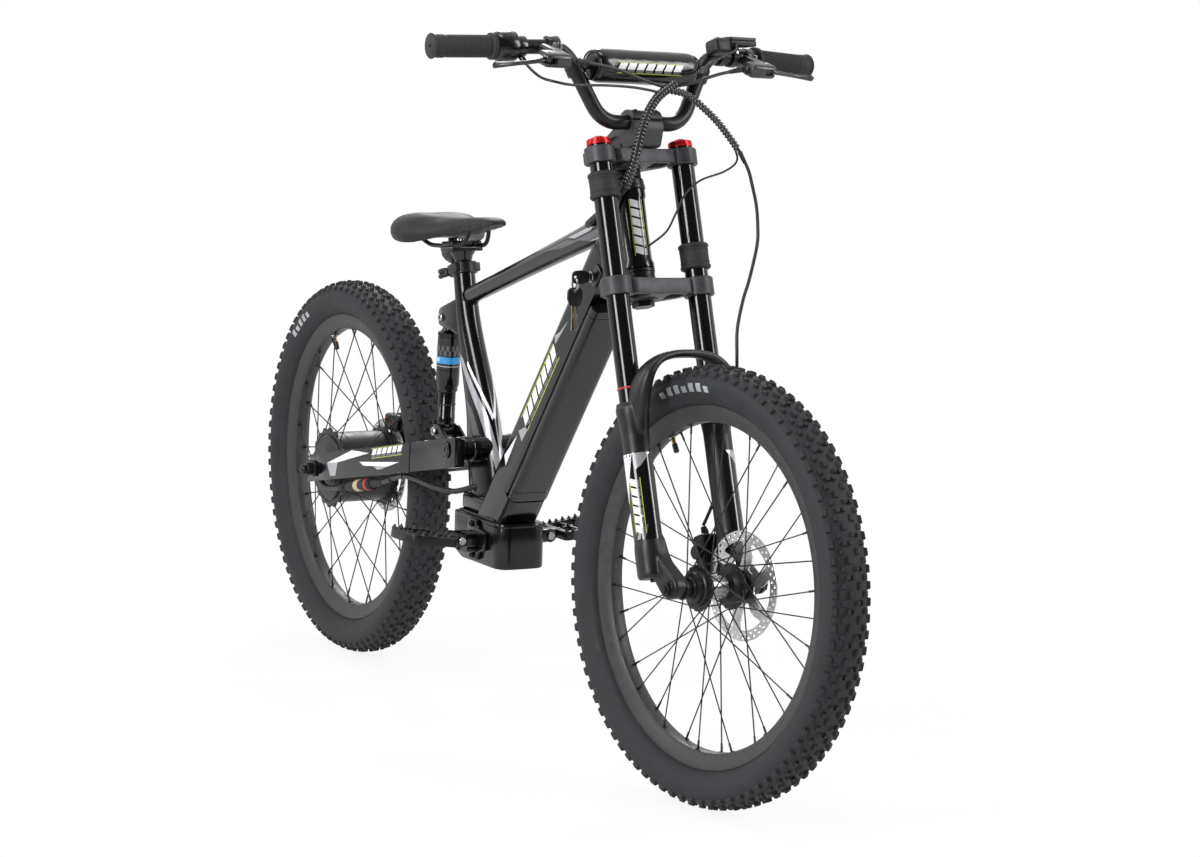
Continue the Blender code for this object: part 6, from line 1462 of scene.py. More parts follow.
def rear_pieces():
    for side in (1, -1):
        peg_bracket(side)
        footpeg(side)
    swingarm()
    axles()
    rear_caliper()
    shock()
    motor_cable()
    lock_and_keys()


# Fork, shaped in its own frame


def crown(name, low, height):
    """A forged crown: two clamps, a web that reaches back to the steerer, pockets underneath and pinch bolts."""
    middle = low + height / 2
    back, front = CROWN_OFFSET - 0.018, CROWN_OFFSET + 0.0155
    inner = STANCHION_HALF - 0.018
    web = rounded([(front, -inner), (front - 0.003, 0), (front, inner), (back, inner), (-0.018, 0.022),
                   (-0.018, -0.022), (back, -inner)], 0.012, 5)
    body = plate([web, circle(0.015, 40)], height - 0.0036, Matrix.Translation((0, 0, middle)), 0.0014)
    pockets = []
    for side in (1, -1):
        outline = rounded([(CROWN_OFFSET + 0.008, side * 0.016), (CROWN_OFFSET + 0.008, side * 0.046),
                           (CROWN_OFFSET - 0.014, side * 0.046), (CROWN_OFFSET - 0.026, side * 0.024)], 0.006, 4)
        pockets.append(plate([outline], height * 0.62, Matrix.Translation((0, 0, low + height * 0.21))))
    body = eased(cut(body, *pockets), 0.001, 2, 50)
    pieces = [body, sleeve(0.0236, 0.015, low, low + height, None, 0.0014, 56)]
    for side in (1, -1):
        pieces.append(sleeve(0.0226, STANCHION_RADIUS + 0.0002, low, low + height, Matrix.Translation(leg(side)),
                             0.0012, 56))
        ear = block((0.009, 0.019, height - 0.005), leg(side, middle) + Vector((-0.022, side * 0.003, 0)), 0.0025)
        pieces.append(ear)
    for piece in pieces:
        painted(piece, "grey_anodised")
    for side in (1, -1):
        for share in (0.27, 0.73):
            place = leg(side, low + height * share) + Vector((-0.0262, side * 0.003, 0))
            pieces.append(painted(lathe([(0, 0), (0.0036, 0), (0.0042, 0.0008), (0.0042, 0.0034), (0.0036, 0.004),
                                         (0.002, 0.004), (0.002, 0.0018), (0, 0.0018)], 20,
                                        facing(place, (-1, 0, 0))), "black_steel"))
    dressed(name, pieces, 32, FORK)


def stanchions():
    """Plated inner legs, with their caps and rubber stops, and the red ring that marks how far the fork went."""
    for side, name in ((-1, "right"), (1, "left")):
        tube = lathe([(0.014, 0.13), (0.0166, 0.13), (STANCHION_RADIUS, 0.1306),
                      (STANCHION_RADIUS, STANCHION_TOP - 0.0004),
                      (0.0166, STANCHION_TOP), (0.014, STANCHION_TOP)], 64, Matrix.Translation(leg(side)),
                     closed=True)
        dressed(f"stanchion_{name}", [tube], 30, FORK, "stanchion")
        low = STANCHION_TOP + 0.0003
        profile = [(0, low), (0.0178, low), (0.018, low + 0.001), (0.018, low + 0.0034), (0.0172, low + 0.004),
                   (0.0168, low + 0.0086), (0.0158, low + 0.0094), (0.0112, low + 0.0096), (0.0106, low + 0.0088),
                   (0.0078, low + 0.0088), (0.0072, low + 0.0122), (0.0066, low + 0.0128), (0, low + 0.0128)]
        cap = lathe(profile, 48, Matrix.Translation(leg(side)))
        ribs = []
        for i in range(24):
            angle = TURN * i / 24
            foot = Vector((0.0169 * math.cos(angle), 0.0169 * math.sin(angle), low + 0.0042))
            tip = Vector((0.0166 * math.cos(angle), 0.0166 * math.sin(angle), low + 0.0084))
            ribs.append(rod(0.0011, leg(side) + foot, leg(side) + tip, 6))
        dressed(f"fork_cap_{name}", [cap, *ribs], 30, FORK, "red_anodised")
        base = UPPER_CROWN - 0.052 if side < 0 else LOWER_CROWN + 0.04
        inner, outer = STANCHION_RADIUS + 0.0002, 0.0224
        profile = [(inner, base), (outer - 0.002, base), (outer, base + 0.002), (outer, base + 0.0055),
                   (outer - 0.0013, base + 0.0062), (outer - 0.0013, base + 0.0318), (outer, base + 0.0325),
                   (outer, base + 0.036), (outer - 0.002, base + 0.038), (inner, base + 0.038)]
        stop = [lathe(profile, 56, Matrix.Translation(leg(side)), closed=True)]
        for height in (base + 0.01, base + 0.028):
            stop.append(lathe(oval(outer - 0.0013, height, 0.0007, 0.001), 48, Matrix.Translation(leg(side)),
                              closed=True))
        dressed(f"bumper_{name}", stop, 32, FORK, "rubber")
    ring = lathe([(0.017 + 0.001 * max(0, math.cos(a)), 0.298 + 0.0015 * math.sin(a))
                  for a in (TURN * i / 12 for i in range(12))], 56, Matrix.Translation(leg(-1)), closed=True)
    finish_piece("travel_ring", placed(ring, FORK), "steered", "red_plastic", (), 60)


def arch_rings():
    """The brace over the tyre: a bow of flattened section that grows out of both legs' tops."""
    half = [(0.004, 0.0745, 0.236), (0.012, 0.075, 0.262), (0.026, 0.0745, 0.29), (0.0385, 0.068, 0.3145),
            (0.0445, 0.05, 0.331), (0.0465, 0.025, 0.338), (0.047, 0.0, 0.3392)]
    path = [Vector((CROWN_OFFSET + f, y, z)) for f, y, z in half]
    path += [Vector((p.x, -p.y, p.z)) for p in reversed(path[:-1])]
    line = smooth_line(path, 0.005)
    rings = []
    for i, point in enumerate(line):
        direction = (line[min(i + 1, len(line) - 1)] - line[max(i - 1, 0)]).normalized()
        ahead = (Vector((1, 0, 0)) - direction * direction.x).normalized()
        out = ahead.cross(direction)
        edge = (abs(point.y) / 0.075) ** 4
        wide, thick = 0.0118 + 0.0085 * edge, 0.0058 + 0.0064 * edge
        rings.append([])
        for a in (TURN * j / 28 for j in range(28)):
            bulge = math.copysign(abs(math.sin(a)) ** 0.75, math.sin(a))
            rings[-1].append(point + ahead * wide * math.cos(a) + out * thick * bulge)
    return rings


def lower_leg(side):
    """One leg as it was cast: a shouldered top, the long tube, and a heavy foot that reaches ahead to the axle."""
    profile = [(0, 0.274), (0.0205, 0.274), (0.0232, 0.272), (0.0238, 0.267), (0.0234, 0.257), (0.0218, 0.243),
               (0.0207, 0.232), (0.0205, 0.215), (0.0205, 0.075), (0.0216, 0.07), (0.0222, 0.06), (0.0222, 0.026),
               (0.0208, 0.022), (0, 0.021)]
    tube = lathe(profile, 56, Matrix.Translation(leg(side)))
    ahead = CROWN_OFFSET + FORK_OFFSET
    outline = rounded([(CROWN_OFFSET - 0.006, 0.082), (CROWN_OFFSET + 0.004, 0.022), (CROWN_OFFSET + 0.02, -0.006),
                       (ahead - 0.004, -0.0168), (ahead + 0.0164, -0.004), (ahead + 0.012, 0.014),
                       (CROWN_OFFSET + 0.026, 0.046), (CROWN_OFFSET + 0.016, 0.086)], 0.012, 6)
    place = Matrix.Translation((0, side * 0.068, 0)) @ SIDE_VIEW
    foot = plate([outline], 0.0235, place, 0.003)
    return [tube, foot]


def fork_lowers():
    """Both legs and the arch in one magnesium casting, its forms run together with soft fillets, then the axle's
    bosses, the brake's tab and the printed panels."""
    body = union(*lower_leg(-1), loft(arch_rings()), *lower_leg(1))
    cast = body.modifiers.new("cast", "REMESH")
    cast.mode = "VOXEL"
    cast.voxel_size = 0.0019
    soften = body.modifiers.new("soften", "SMOOTH")
    soften.factor, soften.iterations = 0.5, 9
    body = painted(baked(body, 0.0), "casting")
    ahead = CROWN_OFFSET + FORK_OFFSET
    extras = []
    for side in (1, -1):
        for profile in ([(0.0062, 0.0552), (0.015, 0.0552), (0.016, 0.0562), (0.016, 0.06), (0.0062, 0.06)],
                        [(0.0062, 0.079), (0.0128, 0.079), (0.0128, 0.0828), (0.012, 0.0836), (0.0062, 0.0836)]):
            boss = lathe([(r, side * y) for r, y in profile], 48, Matrix.Translation((ahead, 0, 0)) @ SIDE_VIEW,
                         closed=True)
            extras.append(painted(boss, "casting"))
        lip = sleeve(0.0222, STANCHION_RADIUS + 0.0003, 0.271, 0.2765, Matrix.Translation(leg(side)), 0.0012, 56)
        extras.append(painted(lip, "rubber"))
        bolt = rod(0.0048, leg(side, 0.022), leg(side, 0.017), 24, 0.0008)
        extras.append(painted(bolt, "black_steel"))
    tab = block((0.028, 0.0075, 0.052), (CROWN_OFFSET - 0.026, STANCHION_HALF + 0.001, 0.062), 0.0025)
    extras.append(painted(tab, "casting"))
    for side, way in ((-1, 1), (1, -1)):
        skin = round_skin(Matrix.Translation(leg(side)), 0.0206)
        low, high = 0.077, 0.203
        wrap = [("panel", (-0.62 * way, low), (-0.62 * way, high), (0.08 * way, high), (0.08 * way, low)),
                ("white", (-0.4 * way, 0.132), (-0.4 * way, high - 0.001), (-0.17 * way, high - 0.001),
                 (-0.31 * way, 0.132)),
                ("silver", (-0.15 * way, 0.178), (-0.16 * way, high - 0.001), (0.04 * way, high - 0.001),
                 (-0.08 * way, 0.184)),
                ("silver", (-0.235 * way, low + 0.001), (-0.15 * way, 0.112), (-0.11 * way, 0.112),
                 (-0.19 * way, low + 0.001)),
                ("grey", (-0.16 * way, low + 0.001), (-0.11 * way, 0.098), (-0.08 * way, 0.098),
                 (-0.13 * way, low + 0.001))]
        turned_skin = lambda height, turns, off=0.0, skin=skin: skin(turns, height, off + 0.0002)
        if side < 0:
            extras += bars(turned_skin, (0.086, -0.235 * way), (0.166, -0.12 * way), 6)
        for order, row in enumerate(wrap):
            steps, across = (4, 28) if order == 0 else (12, 5)
            lift = 0.0002 if order == 0 else 0.0004
            extras.append(film(skin, row[1:], "stripe_" + row[0], steps, across, lift))
    finish_piece("fork_lowers_dressed", placed(joined(body, *extras), FORK), "lowers", None,
                 "fork_lowers", 45)


def front_axle():
    """The through axle, its hexagons and the washers under them."""
    pieces = [rod(0.006, (0, -0.084, 0), (0, 0.084, 0), 32)]
    for side in (1, -1):
        pieces.append(rod(0.0118, (0, side * 0.0838, 0), (0, side * 0.0855, 0), 32, 0.0004))
        pieces.append(rod(0.0098, (0, side * 0.0855, 0), (0, side * 0.0905, 0), 6, 0.0008))
        pieces.append(rod(0.0056, (0, side * 0.09, 0), (0, side * 0.093, 0), 24, 0.0008))
    dressed("front_axle", pieces, 30, FRONT_WHEEL, "black_steel")


def front_caliper():
    """A cable-pulled caliper: a cast body, a round adjuster, the cable's barrel and copper-coloured pad bolts."""
    ahead, height, outer = CROWN_OFFSET - 0.035, 0.058, STANCHION_HALF - 0.003
    body = block((0.026, 0.031, 0.06), (ahead, outer - 0.0155, height), 0.006)
    slot = block((0.06, 0.005, 0.08), (ahead + 0.024, 0.0505, height - 0.012))
    window = block((0.012, 0.016, 0.1), (ahead - 0.008, 0.0505, height + 0.004), 0.003)
    dial = rod(0.0105, (ahead - 0.001, outer - 0.032, height + 0.004),
               (ahead - 0.001, outer - 0.0385, height + 0.004), 32, 0.0014)
    inlet = Vector((CROWN_OFFSET - 0.043, 0.0605, 0.1))
    barrel = rod(0.0046, inlet - Vector((-0.004, 0, 0.016)), inlet, 20, 0.0006)
    shoulder = rod(0.0058, inlet - Vector((-0.003, 0, 0.012)), inlet - Vector((-0.001, 0, 0.004)), 6, 0.0004)
    body = eased(cut(body, slot, window), 0.0008, 2, 50)
    pieces = [painted(part, "black_anodised") for part in (body, dial, barrel, shoulder)]
    for z in (height - 0.022, height + 0.022):
        pieces.append(painted(rod(0.0034, (ahead, outer - 0.001, z), (ahead, outer + 0.003, z), 20, 0.0006),
                              "copper"))
    dressed("front_caliper", pieces, 35, FORK)


def steerer():
    """The column between the crowns with its lock ring, and the nut under the lower crown."""
    pieces = [rod(0.0143, (0, 0, LOWER_CROWN - 0.002), (0, 0, UPPER_CROWN + 0.022), 40)]
    low, high = 0.6184, UPPER_CROWN - 0.0004
    pieces.append(lathe([(0.015, low), (0.02, low), (0.0206, low + 0.001), (0.0206, high - 0.001), (0.02, high),
                         (0.015, high)], 48, None, closed=True))
    pieces.append(rod(0.0168, (0, 0, LOWER_CROWN - 0.008), (0, 0, LOWER_CROWN - 0.0004), 6, 0.0008))
    dressed("steerer", pieces, 30, FORK, "black_steel")


def headset():
    for name, profile in (
        ("lower_headset_cup", [(0.0146, 0.4617), (0.0225, 0.4617), (0.0236, 0.4626), (0.0236, 0.468),
                               (0.0228, 0.4686), (0.0228, 0.476), (0.0236, 0.4768), (0.0236, 0.4812), (0.023, 0.4817),
                               (0.0146, 0.4817)]),
        ("upper_headset_cup", [(0.0146, 0.6003), (0.0238, 0.6003), (0.0245, 0.601), (0.0245, 0.606),
                               (0.0236, 0.6068), (0.0236, 0.612), (0.023, 0.615), (0.0205, 0.6178), (0.0146, 0.618)]),
    ):
        dressed(name, [lathe(profile, 56, HEAD, closed=True)], 30, None, "black_anodised")


def fork_pieces():
    headset()
    steerer()
    crown("lower_crown", LOWER_CROWN, 0.027)
    crown("upper_crown", UPPER_CROWN, 0.024)
    stanchions()
    fork_lowers()
    front_axle()
    front_caliper()


# Cockpit, shaped in the fork's frame


def on_bar(y):
    """The middle of the bar's straight outer part at a distance from the middle plane."""
    share = (abs(y) - BAR_CORNER[1]) / (BAR_END[1] - BAR_CORNER[1])
    ahead = BAR_CORNER[0] + (BAR_END[0] - BAR_CORNER[0]) * share
    return Vector((ahead, y, BAR_CORNER[2] + (BAR_END[2] - BAR_CORNER[2]) * share))


def on_grip(profile, start, steps=56):
    """A turned piece on the bar, its profile (radius, distance outwards) from a place on the bar."""
    outward = (on_bar(start + math.copysign(0.05, start)) - on_bar(start)).normalized()
    return lathe(profile, steps, facing(on_bar(start), outward), closed=True)


def lever_pivot(side):
    return Vector((CROWN_OFFSET + 0.07, side * 0.197, LEVER_HEIGHT))


LEVER_HEIGHT = BAR_HEIGHT + 0.07
CROSSBAR = Vector((0.068, 0, BAR_HEIGHT + 0.077))
LEVER_AXIS = Vector((0.534, 0, 0.845)).normalized()
LEVER_AHEAD = Vector((LEVER_AXIS.z, 0, -LEVER_AXIS.x))
LEVER_TURN = Matrix.Rotation(math.atan2(LEVER_AXIS.x, LEVER_AXIS.z), 4, "Y")


def stem():
    """A forged stem: recessed cheeks, a cradle for the bar, and the cap over it with its four bolts."""
    base = UPPER_CROWN + 0.0243
    outline = rounded([(-0.042, base), (-0.044, base + 0.016), (-0.01, base + 0.026),
                       (BAR_AHEAD - 0.0185, BAR_HEIGHT + 0.004), (BAR_AHEAD - 0.0185, BAR_HEIGHT - 0.001),
                       (BAR_AHEAD + 0.0185, BAR_HEIGHT - 0.001), (BAR_AHEAD + 0.0185, BAR_HEIGHT - 0.013),
                       (BAR_AHEAD + 0.006, base)], 0.0045, 4)
    body = plate([outline], 0.0518, SIDE_VIEW)
    recesses = []
    for side in (1, -1):
        corners = [(-0.033, 0.0045), (-0.031, 0.0135), (0.014, 0.0245), (0.03, 0.02), (0.034, 0.0045)]
        shape = rounded([(x, base + z) for x, z in corners], 0.0035, 4)
        recesses.append(plate([shape], 0.014, Matrix.Translation((0, side * 0.0275, 0)) @ SIDE_VIEW))
    body = eased(cut(body, *recesses), 0.0014, 3, 40)
    pieces = [painted(body, "grey_anodised")]
    for side in (1, -1):
        for x in (-0.03, 0.022):
            screw = rod(0.0032, (x, side * 0.02, base + 0.009), (x, side * 0.0218, base + 0.009), 20, 0.0005)
            pieces.append(painted(screw, "black_steel"))
    dressed("stem", pieces, 40, FORK)
    low = BAR_HEIGHT
    half = [(0.0185, 0.0), (0.0185, 0.006), (0.013, 0.0145), (0.0, 0.018)]
    outline = half + [(-x, z) for x, z in half[-2::-1]]
    cap = plate([rounded([(BAR_AHEAD + x, low + z) for x, z in outline], 0.005, 5)], 0.0518, SIDE_VIEW)
    window = block((0.024, 0.02, 0.02), (BAR_AHEAD, 0, low + 0.0205), 0.004)
    cap = painted(eased(cut(cap, window), 0.0014, 3, 40), "grey_anodised")
    bolts = []
    for x in (-0.013, 0.013):
        for y in (-0.0185, 0.0185):
            place = Vector((BAR_AHEAD + x, y, low + 0.0118))
            bolts.append(painted(lathe([(0, 0), (0.0036, 0), (0.0036, 0.0024), (0.003, 0.003), (0.0017, 0.003),
                                        (0.0017, 0.0012),
                                        (0, 0.0012)], 20, Matrix.Translation(place)), "black_steel"))
    dressed("bar_clamp", [cap, *bolts], 40, FORK)


def handlebar():
    """One bent steel bar with its cross bar, whose ends are clamped to the uprights."""
    half = [(BAR_AHEAD, 0, BAR_HEIGHT), (BAR_AHEAD, 0.072, BAR_HEIGHT - 0.003), (BAR_CORNER[0], 0.13, BAR_CORNER[2]),
            BAR_END]
    left = [Vector(point) for point in rounded(half, 0.03, 10, closed=False)]
    path = [Vector((p.x, -p.y, p.z)) for p in reversed(left[1:])] + left
    pieces = [tube_along(path, BAR_RADIUS, 40), rod(0.006, CROSSBAR - Vector((0, 0.112, 0)),
                                                    CROSSBAR + Vector((0, 0.112, 0)), 32)]
    for side in (1, -1):
        low_end = Vector((0.056, side * 0.1085, CROSSBAR.z - 0.012))
        high_end = Vector((0.0585, side * 0.1175, CROSSBAR.z + 0.007))
        along_upright = high_end - low_end
        pieces.append(sleeve(0.0144, 0.0112, 0, along_upright.length, facing(low_end, along_upright), 0.0012, 48))
        pieces.append(block((0.02, 0.014, 0.015), (CROSSBAR.x - 0.004, side * 0.1055, CROSSBAR.z), 0.0025))
        pieces.append(rod(0.003, (CROSSBAR.x + 0.004, side * 0.1055, CROSSBAR.z),
                          (CROSSBAR.x + 0.0075, side * 0.1055, CROSSBAR.z),
                          20, 0.0006))
    dressed("handlebar", pieces, 35, FORK, "black_anodised")


def grips():
    """Moulded rubber grips: a flared end with its cap, a raised band, fine ribs on the palm side and a flange."""
    for side, name in ((1, "left_grip"), (-1, "throttle_grip")):
        start = 0.226 if side > 0 else 0.2415
        reach = 0.3425 - start
        radius = GRIP_RADIUS
        profile = [(0.0112, 0), (radius + 0.0022, 0), (radius + 0.0029, 0.0008), (radius + 0.0029, 0.0062),
                   (radius + 0.0018, 0.0072), (radius - 0.0006, 0.0085)]
        ribs = int((reach - 0.034) / 0.0021)
        for i in range(ribs):
            low = 0.011 + i * 0.0021
            profile += [(radius - 0.0006, low), (radius - 0.0002, low + 0.0006), (radius - 0.0002, low + 0.0012),
                        (radius - 0.0006, low + 0.0018)]
        profile += [(radius - 0.0004, reach - 0.02), (radius + 0.0003, reach - 0.019),
                    (radius + 0.0003, reach - 0.01), (radius - 0.0004, reach - 0.009), (radius, reach - 0.005),
                    (radius + 0.0016, reach - 0.003), (radius + 0.002, reach - 0.0012), (radius + 0.0012, reach),
                    (0.0112, reach)]
        skin = painted(on_grip(profile, side * start), "rubber")
        cap = [(0.0001, reach - 0.003), (0.016, reach - 0.003), (0.016, reach - 0.0002), (0.015, reach + 0.0004),
               (0.003, reach + 0.0002), (0.0026, reach - 0.001), (0.0001, reach - 0.001)]
        cap = painted(on_grip(cap, side * start), "plastic")
        dressed(name, [skin, cap], 32, FORK)


def throttle_exit():
    return on_bar(-0.206) + Vector((0.013, 0.004, -0.029))


def throttle_housing():
    """The throttle's moulded drum: two halves with a seam, a bell towards the grip and the wire's guide below."""
    profile = [(BAR_BORE, 0), (0.0148, 0), (0.0152, 0.0008), (0.0154, 0.012), (0.018, 0.015), (0.0212, 0.0164),
               (0.0218, 0.0176), (0.0218, 0.0296), (0.0212, 0.03), (0.0212, 0.0308), (0.0218, 0.0312), (0.0218, 0.04),
               (0.021, 0.044), (0.019, 0.0468), (BAR_BORE, 0.0468)]
    pieces = [on_grip(profile, -0.194)]
    start = on_bar(-0.206) + Vector((0.004, 0, -0.012))
    pieces.append(rod(0.0048, start, throttle_exit(), 24, 0.001, 0.004))
    outward = (on_bar(-0.25) - on_bar(-0.2)).normalized()
    for turn in (0.35, 2.6):
        foot = on_bar(-0.212) + Vector((math.cos(turn) * 0.0165, 0, math.sin(turn) * 0.0165))
        pieces.append(rod(0.0034, foot, foot + outward * 0.012, 16, 0.0008))
    dressed("throttle_housing", pieces, 35, FORK, "gloss_plastic")


def controls():
    """Cast lever perches with their clamps and adjusters, and the levers' flattened, hooked blades."""
    for side, name, ring_y in ((1, "left", 0.21), (-1, "right", 0.15)):
        pivot = lever_pivot(side)
        pieces = [on_grip(collar(BAR_BORE, 0.0156, 0.009, 0.0082), side * ring_y)]
        start = on_bar(side * ring_y)
        reach = pivot - start
        reach.y = 0
        middle = start + reach * 0.52 + Vector((0, side * (0.19 - ring_y) * 0.5, 0))
        arm = block((reach.length * 0.7, 0.023, 0.017), middle, 0.0055, LEVER_TURN, 4)
        fork = block((0.028, 0.046, 0.0205), pivot - Vector((0, side * 0.012, 0)), 0.006, LEVER_TURN, 4)
        slot = block((0.06, 0.06, 0.0086), pivot + Vector((0, side * 0.0215, 0)), 0, LEVER_TURN)
        pieces.append(cut(union(arm, fork), slot))
        for piece in pieces:
            painted(piece, "lever")
        end = pivot + Vector((0.001, -side * 0.046, -0.001))
        inner = pivot - Vector((0, side * 0.033, 0))
        along_barrel = end - inner
        turn = facing(inner, along_barrel)
        long = along_barrel.length
        profile = [(0, 0), (0.0066, 0)]
        for i in range(4):
            low = 0.0005 + i * 0.0014
            profile += [(0.0066, low), (0.006, low + 0.0007)]
        profile += [(0.0066, 0.0062), (0.0052, 0.007), (0.0048, long - 0.002), (0.0038, long), (0, long)]
        pieces.append(painted(lathe(profile, 28, turn), "black_anodised"))
        for offset in (-0.006, 0.006):
            place = start + reach * 0.24 + Vector((0, side * offset, 0))
            pieces.append(painted(rod(0.0026, place, place + LEVER_AXIS * 0.0105, 16, 0.0006), "steel"))
        dressed("lever_perch_" + name, pieces, 40, FORK)
        stretch, sag = (1.0, 0.6) if side > 0 else (1.08, 1.0)
        blade = ((0.014, 0.0045, 0.002), (0.034, 0.003, 0.006), (0.056, 0.0012, 0.01), (0.078, 0.0036, 0.012),
                 (0.0885, 0.0062, 0.011))
        path = [pivot - Vector((0, side * 0.003, 0))]
        path += [pivot + Vector((0, side * stretch * y, 0)) + LEVER_AHEAD * f - LEVER_AXIS * sag * drop
                 for y, f, drop in blade]
        line = smooth_line(path, 0.003)
        rings = []
        for i, point in enumerate(line):
            direction = (line[min(i + 1, len(line) - 1)] - line[max(i - 1, 0)]).normalized()
            up = (LEVER_AXIS - direction * LEVER_AXIS.dot(direction)).normalized()
            out = direction.cross(up)
            share = i / (len(line) - 1)
            tall = 0.0042 - 0.0012 * math.sin(math.pi * share) + 0.001 * max(0, share - 0.85) / 0.15
            thick = 0.0036 - 0.0006 * share
            close = min(1.0, (1 - share) / 0.03 + 0.35)
            rings.append([point + (up * tall * math.sin(a) + out * thick * math.cos(a)) * close
                          for a in (TURN * j / 20 for j in range(20))])
        hub = lathe(collar(0.0022, 0.0076, 0.0038, 0.0032), 32, facing(pivot, LEVER_AXIS), closed=True)
        pin = rod(0.003, pivot - LEVER_AXIS * 0.0112, pivot + LEVER_AXIS * 0.0112, 20, 0.0006)
        lever = [painted(loft(rings), "lever"), painted(hub, "lever"), painted(pin, "steel")]
        dressed("brake_lever_" + name, lever, 40, FORK)


def display_and_switch():
    """A slim display on its clamp, and the switch pod with its ribbed button beside it."""
    tilt = Matrix.Rotation(math.radians(12), 4, "Y")
    middle = Vector((CROWN_OFFSET + 0.032, 0.18, BAR_HEIGHT + 0.123))
    frame_of = Matrix.Translation(middle) @ tilt
    pieces = []
    for half_x, half_y, radius, steps, thick, rise, easing, material in (
            (0.017, 0.026, 0.005, 5, 0.0076, -0.0027, 0.0012, "plastic"),
            (0.0165, 0.0255, 0.0045, 5, 0.0048, 0.004, 0.001, "grey_anodised"),
            (0.0125, 0.0215, 0.003, 4, 0.0006, 0.0062, 0.0, "screen")):
        outline = rounded(rectangle(half_x, half_y), radius, steps)
        layer = plate([outline], thick, Matrix.Translation((0, 0, rise)), easing)
        pieces.append(painted(placed(layer, frame_of), material))
    ring = on_grip(collar(BAR_BORE, 0.015, 0.006, 0.0053), 0.18)
    neck = block((0.016, 0.0105, 0.022), (CROWN_OFFSET + 0.022, 0.18, BAR_HEIGHT + 0.114), 0.002)
    screw = rod(0.0024, (CROWN_OFFSET + 0.03, 0.18, BAR_HEIGHT + 0.108),
                (CROWN_OFFSET + 0.0316, 0.18, BAR_HEIGHT + 0.108), 16, 0.0004)
    pieces += [painted(ring, "plastic"), painted(neck, "plastic"), painted(screw, "steel")]
    dressed("display", pieces, 35, FORK)
    top = on_bar(0.146) + Vector((0.022, -0.0085, 0.018))
    pod = block((0.03, 0.03, 0.0236), top - Vector((0, 0, 0.012)), 0.0065, None, 4)
    ring = on_grip(collar(BAR_BORE, 0.015, 0.0065, 0.0058), 0.1565)
    well = rod(0.0052, top - Vector((0, 0, 0.0065)), top + Vector((0, 0, 0.004)), 28)
    pieces = [painted(cut(pod, well), "plastic"), painted(ring, "plastic")]
    for x in (-0.0105, 0.0105):
        screw = rod(0.0016, top + Vector((x, 0.01, -0.0015)), top + Vector((x, 0.01, 0.0002)), 12, 0.0003)
        pieces.append(painted(screw, "black_steel"))
    dressed("switch_pod", pieces, 35, FORK)
    button = lathe([(0, -0.003), (0.0046, -0.003), (0.0046, 0.0018), (0.004, 0.0025), (0.003, 0.0025),
                    (0.0026, 0.002), (0, 0.0019)],
                   28, Matrix.Translation(top))
    dressed("mode_button", [button], 35, FORK, "rubber")


# Cables, each along its real route


def ahead_of_legs(*points):
    return [Vector((CROWN_OFFSET + f, y, s)) for f, y, s in points]


def below_bar(*points):
    return ahead_of_legs(*[(f, y, BAR_HEIGHT + rise) for f, y, rise in points])


def wrap(route, radius):
    """Spiral wrap round a bundle: one leaning, flattened turn after another."""
    return along(lathe(oval(radius, 0, 0.0008, 0.0021), 24, None, closed=True), smooth_line(route, 0.004), 0.0056,
                 "wrap", math.radians(20))


def jacket(route, radius, sides=14, spacing=0.005, material="jacket"):
    return painted(tube_along(smooth_line(route, spacing), radius, sides), material)


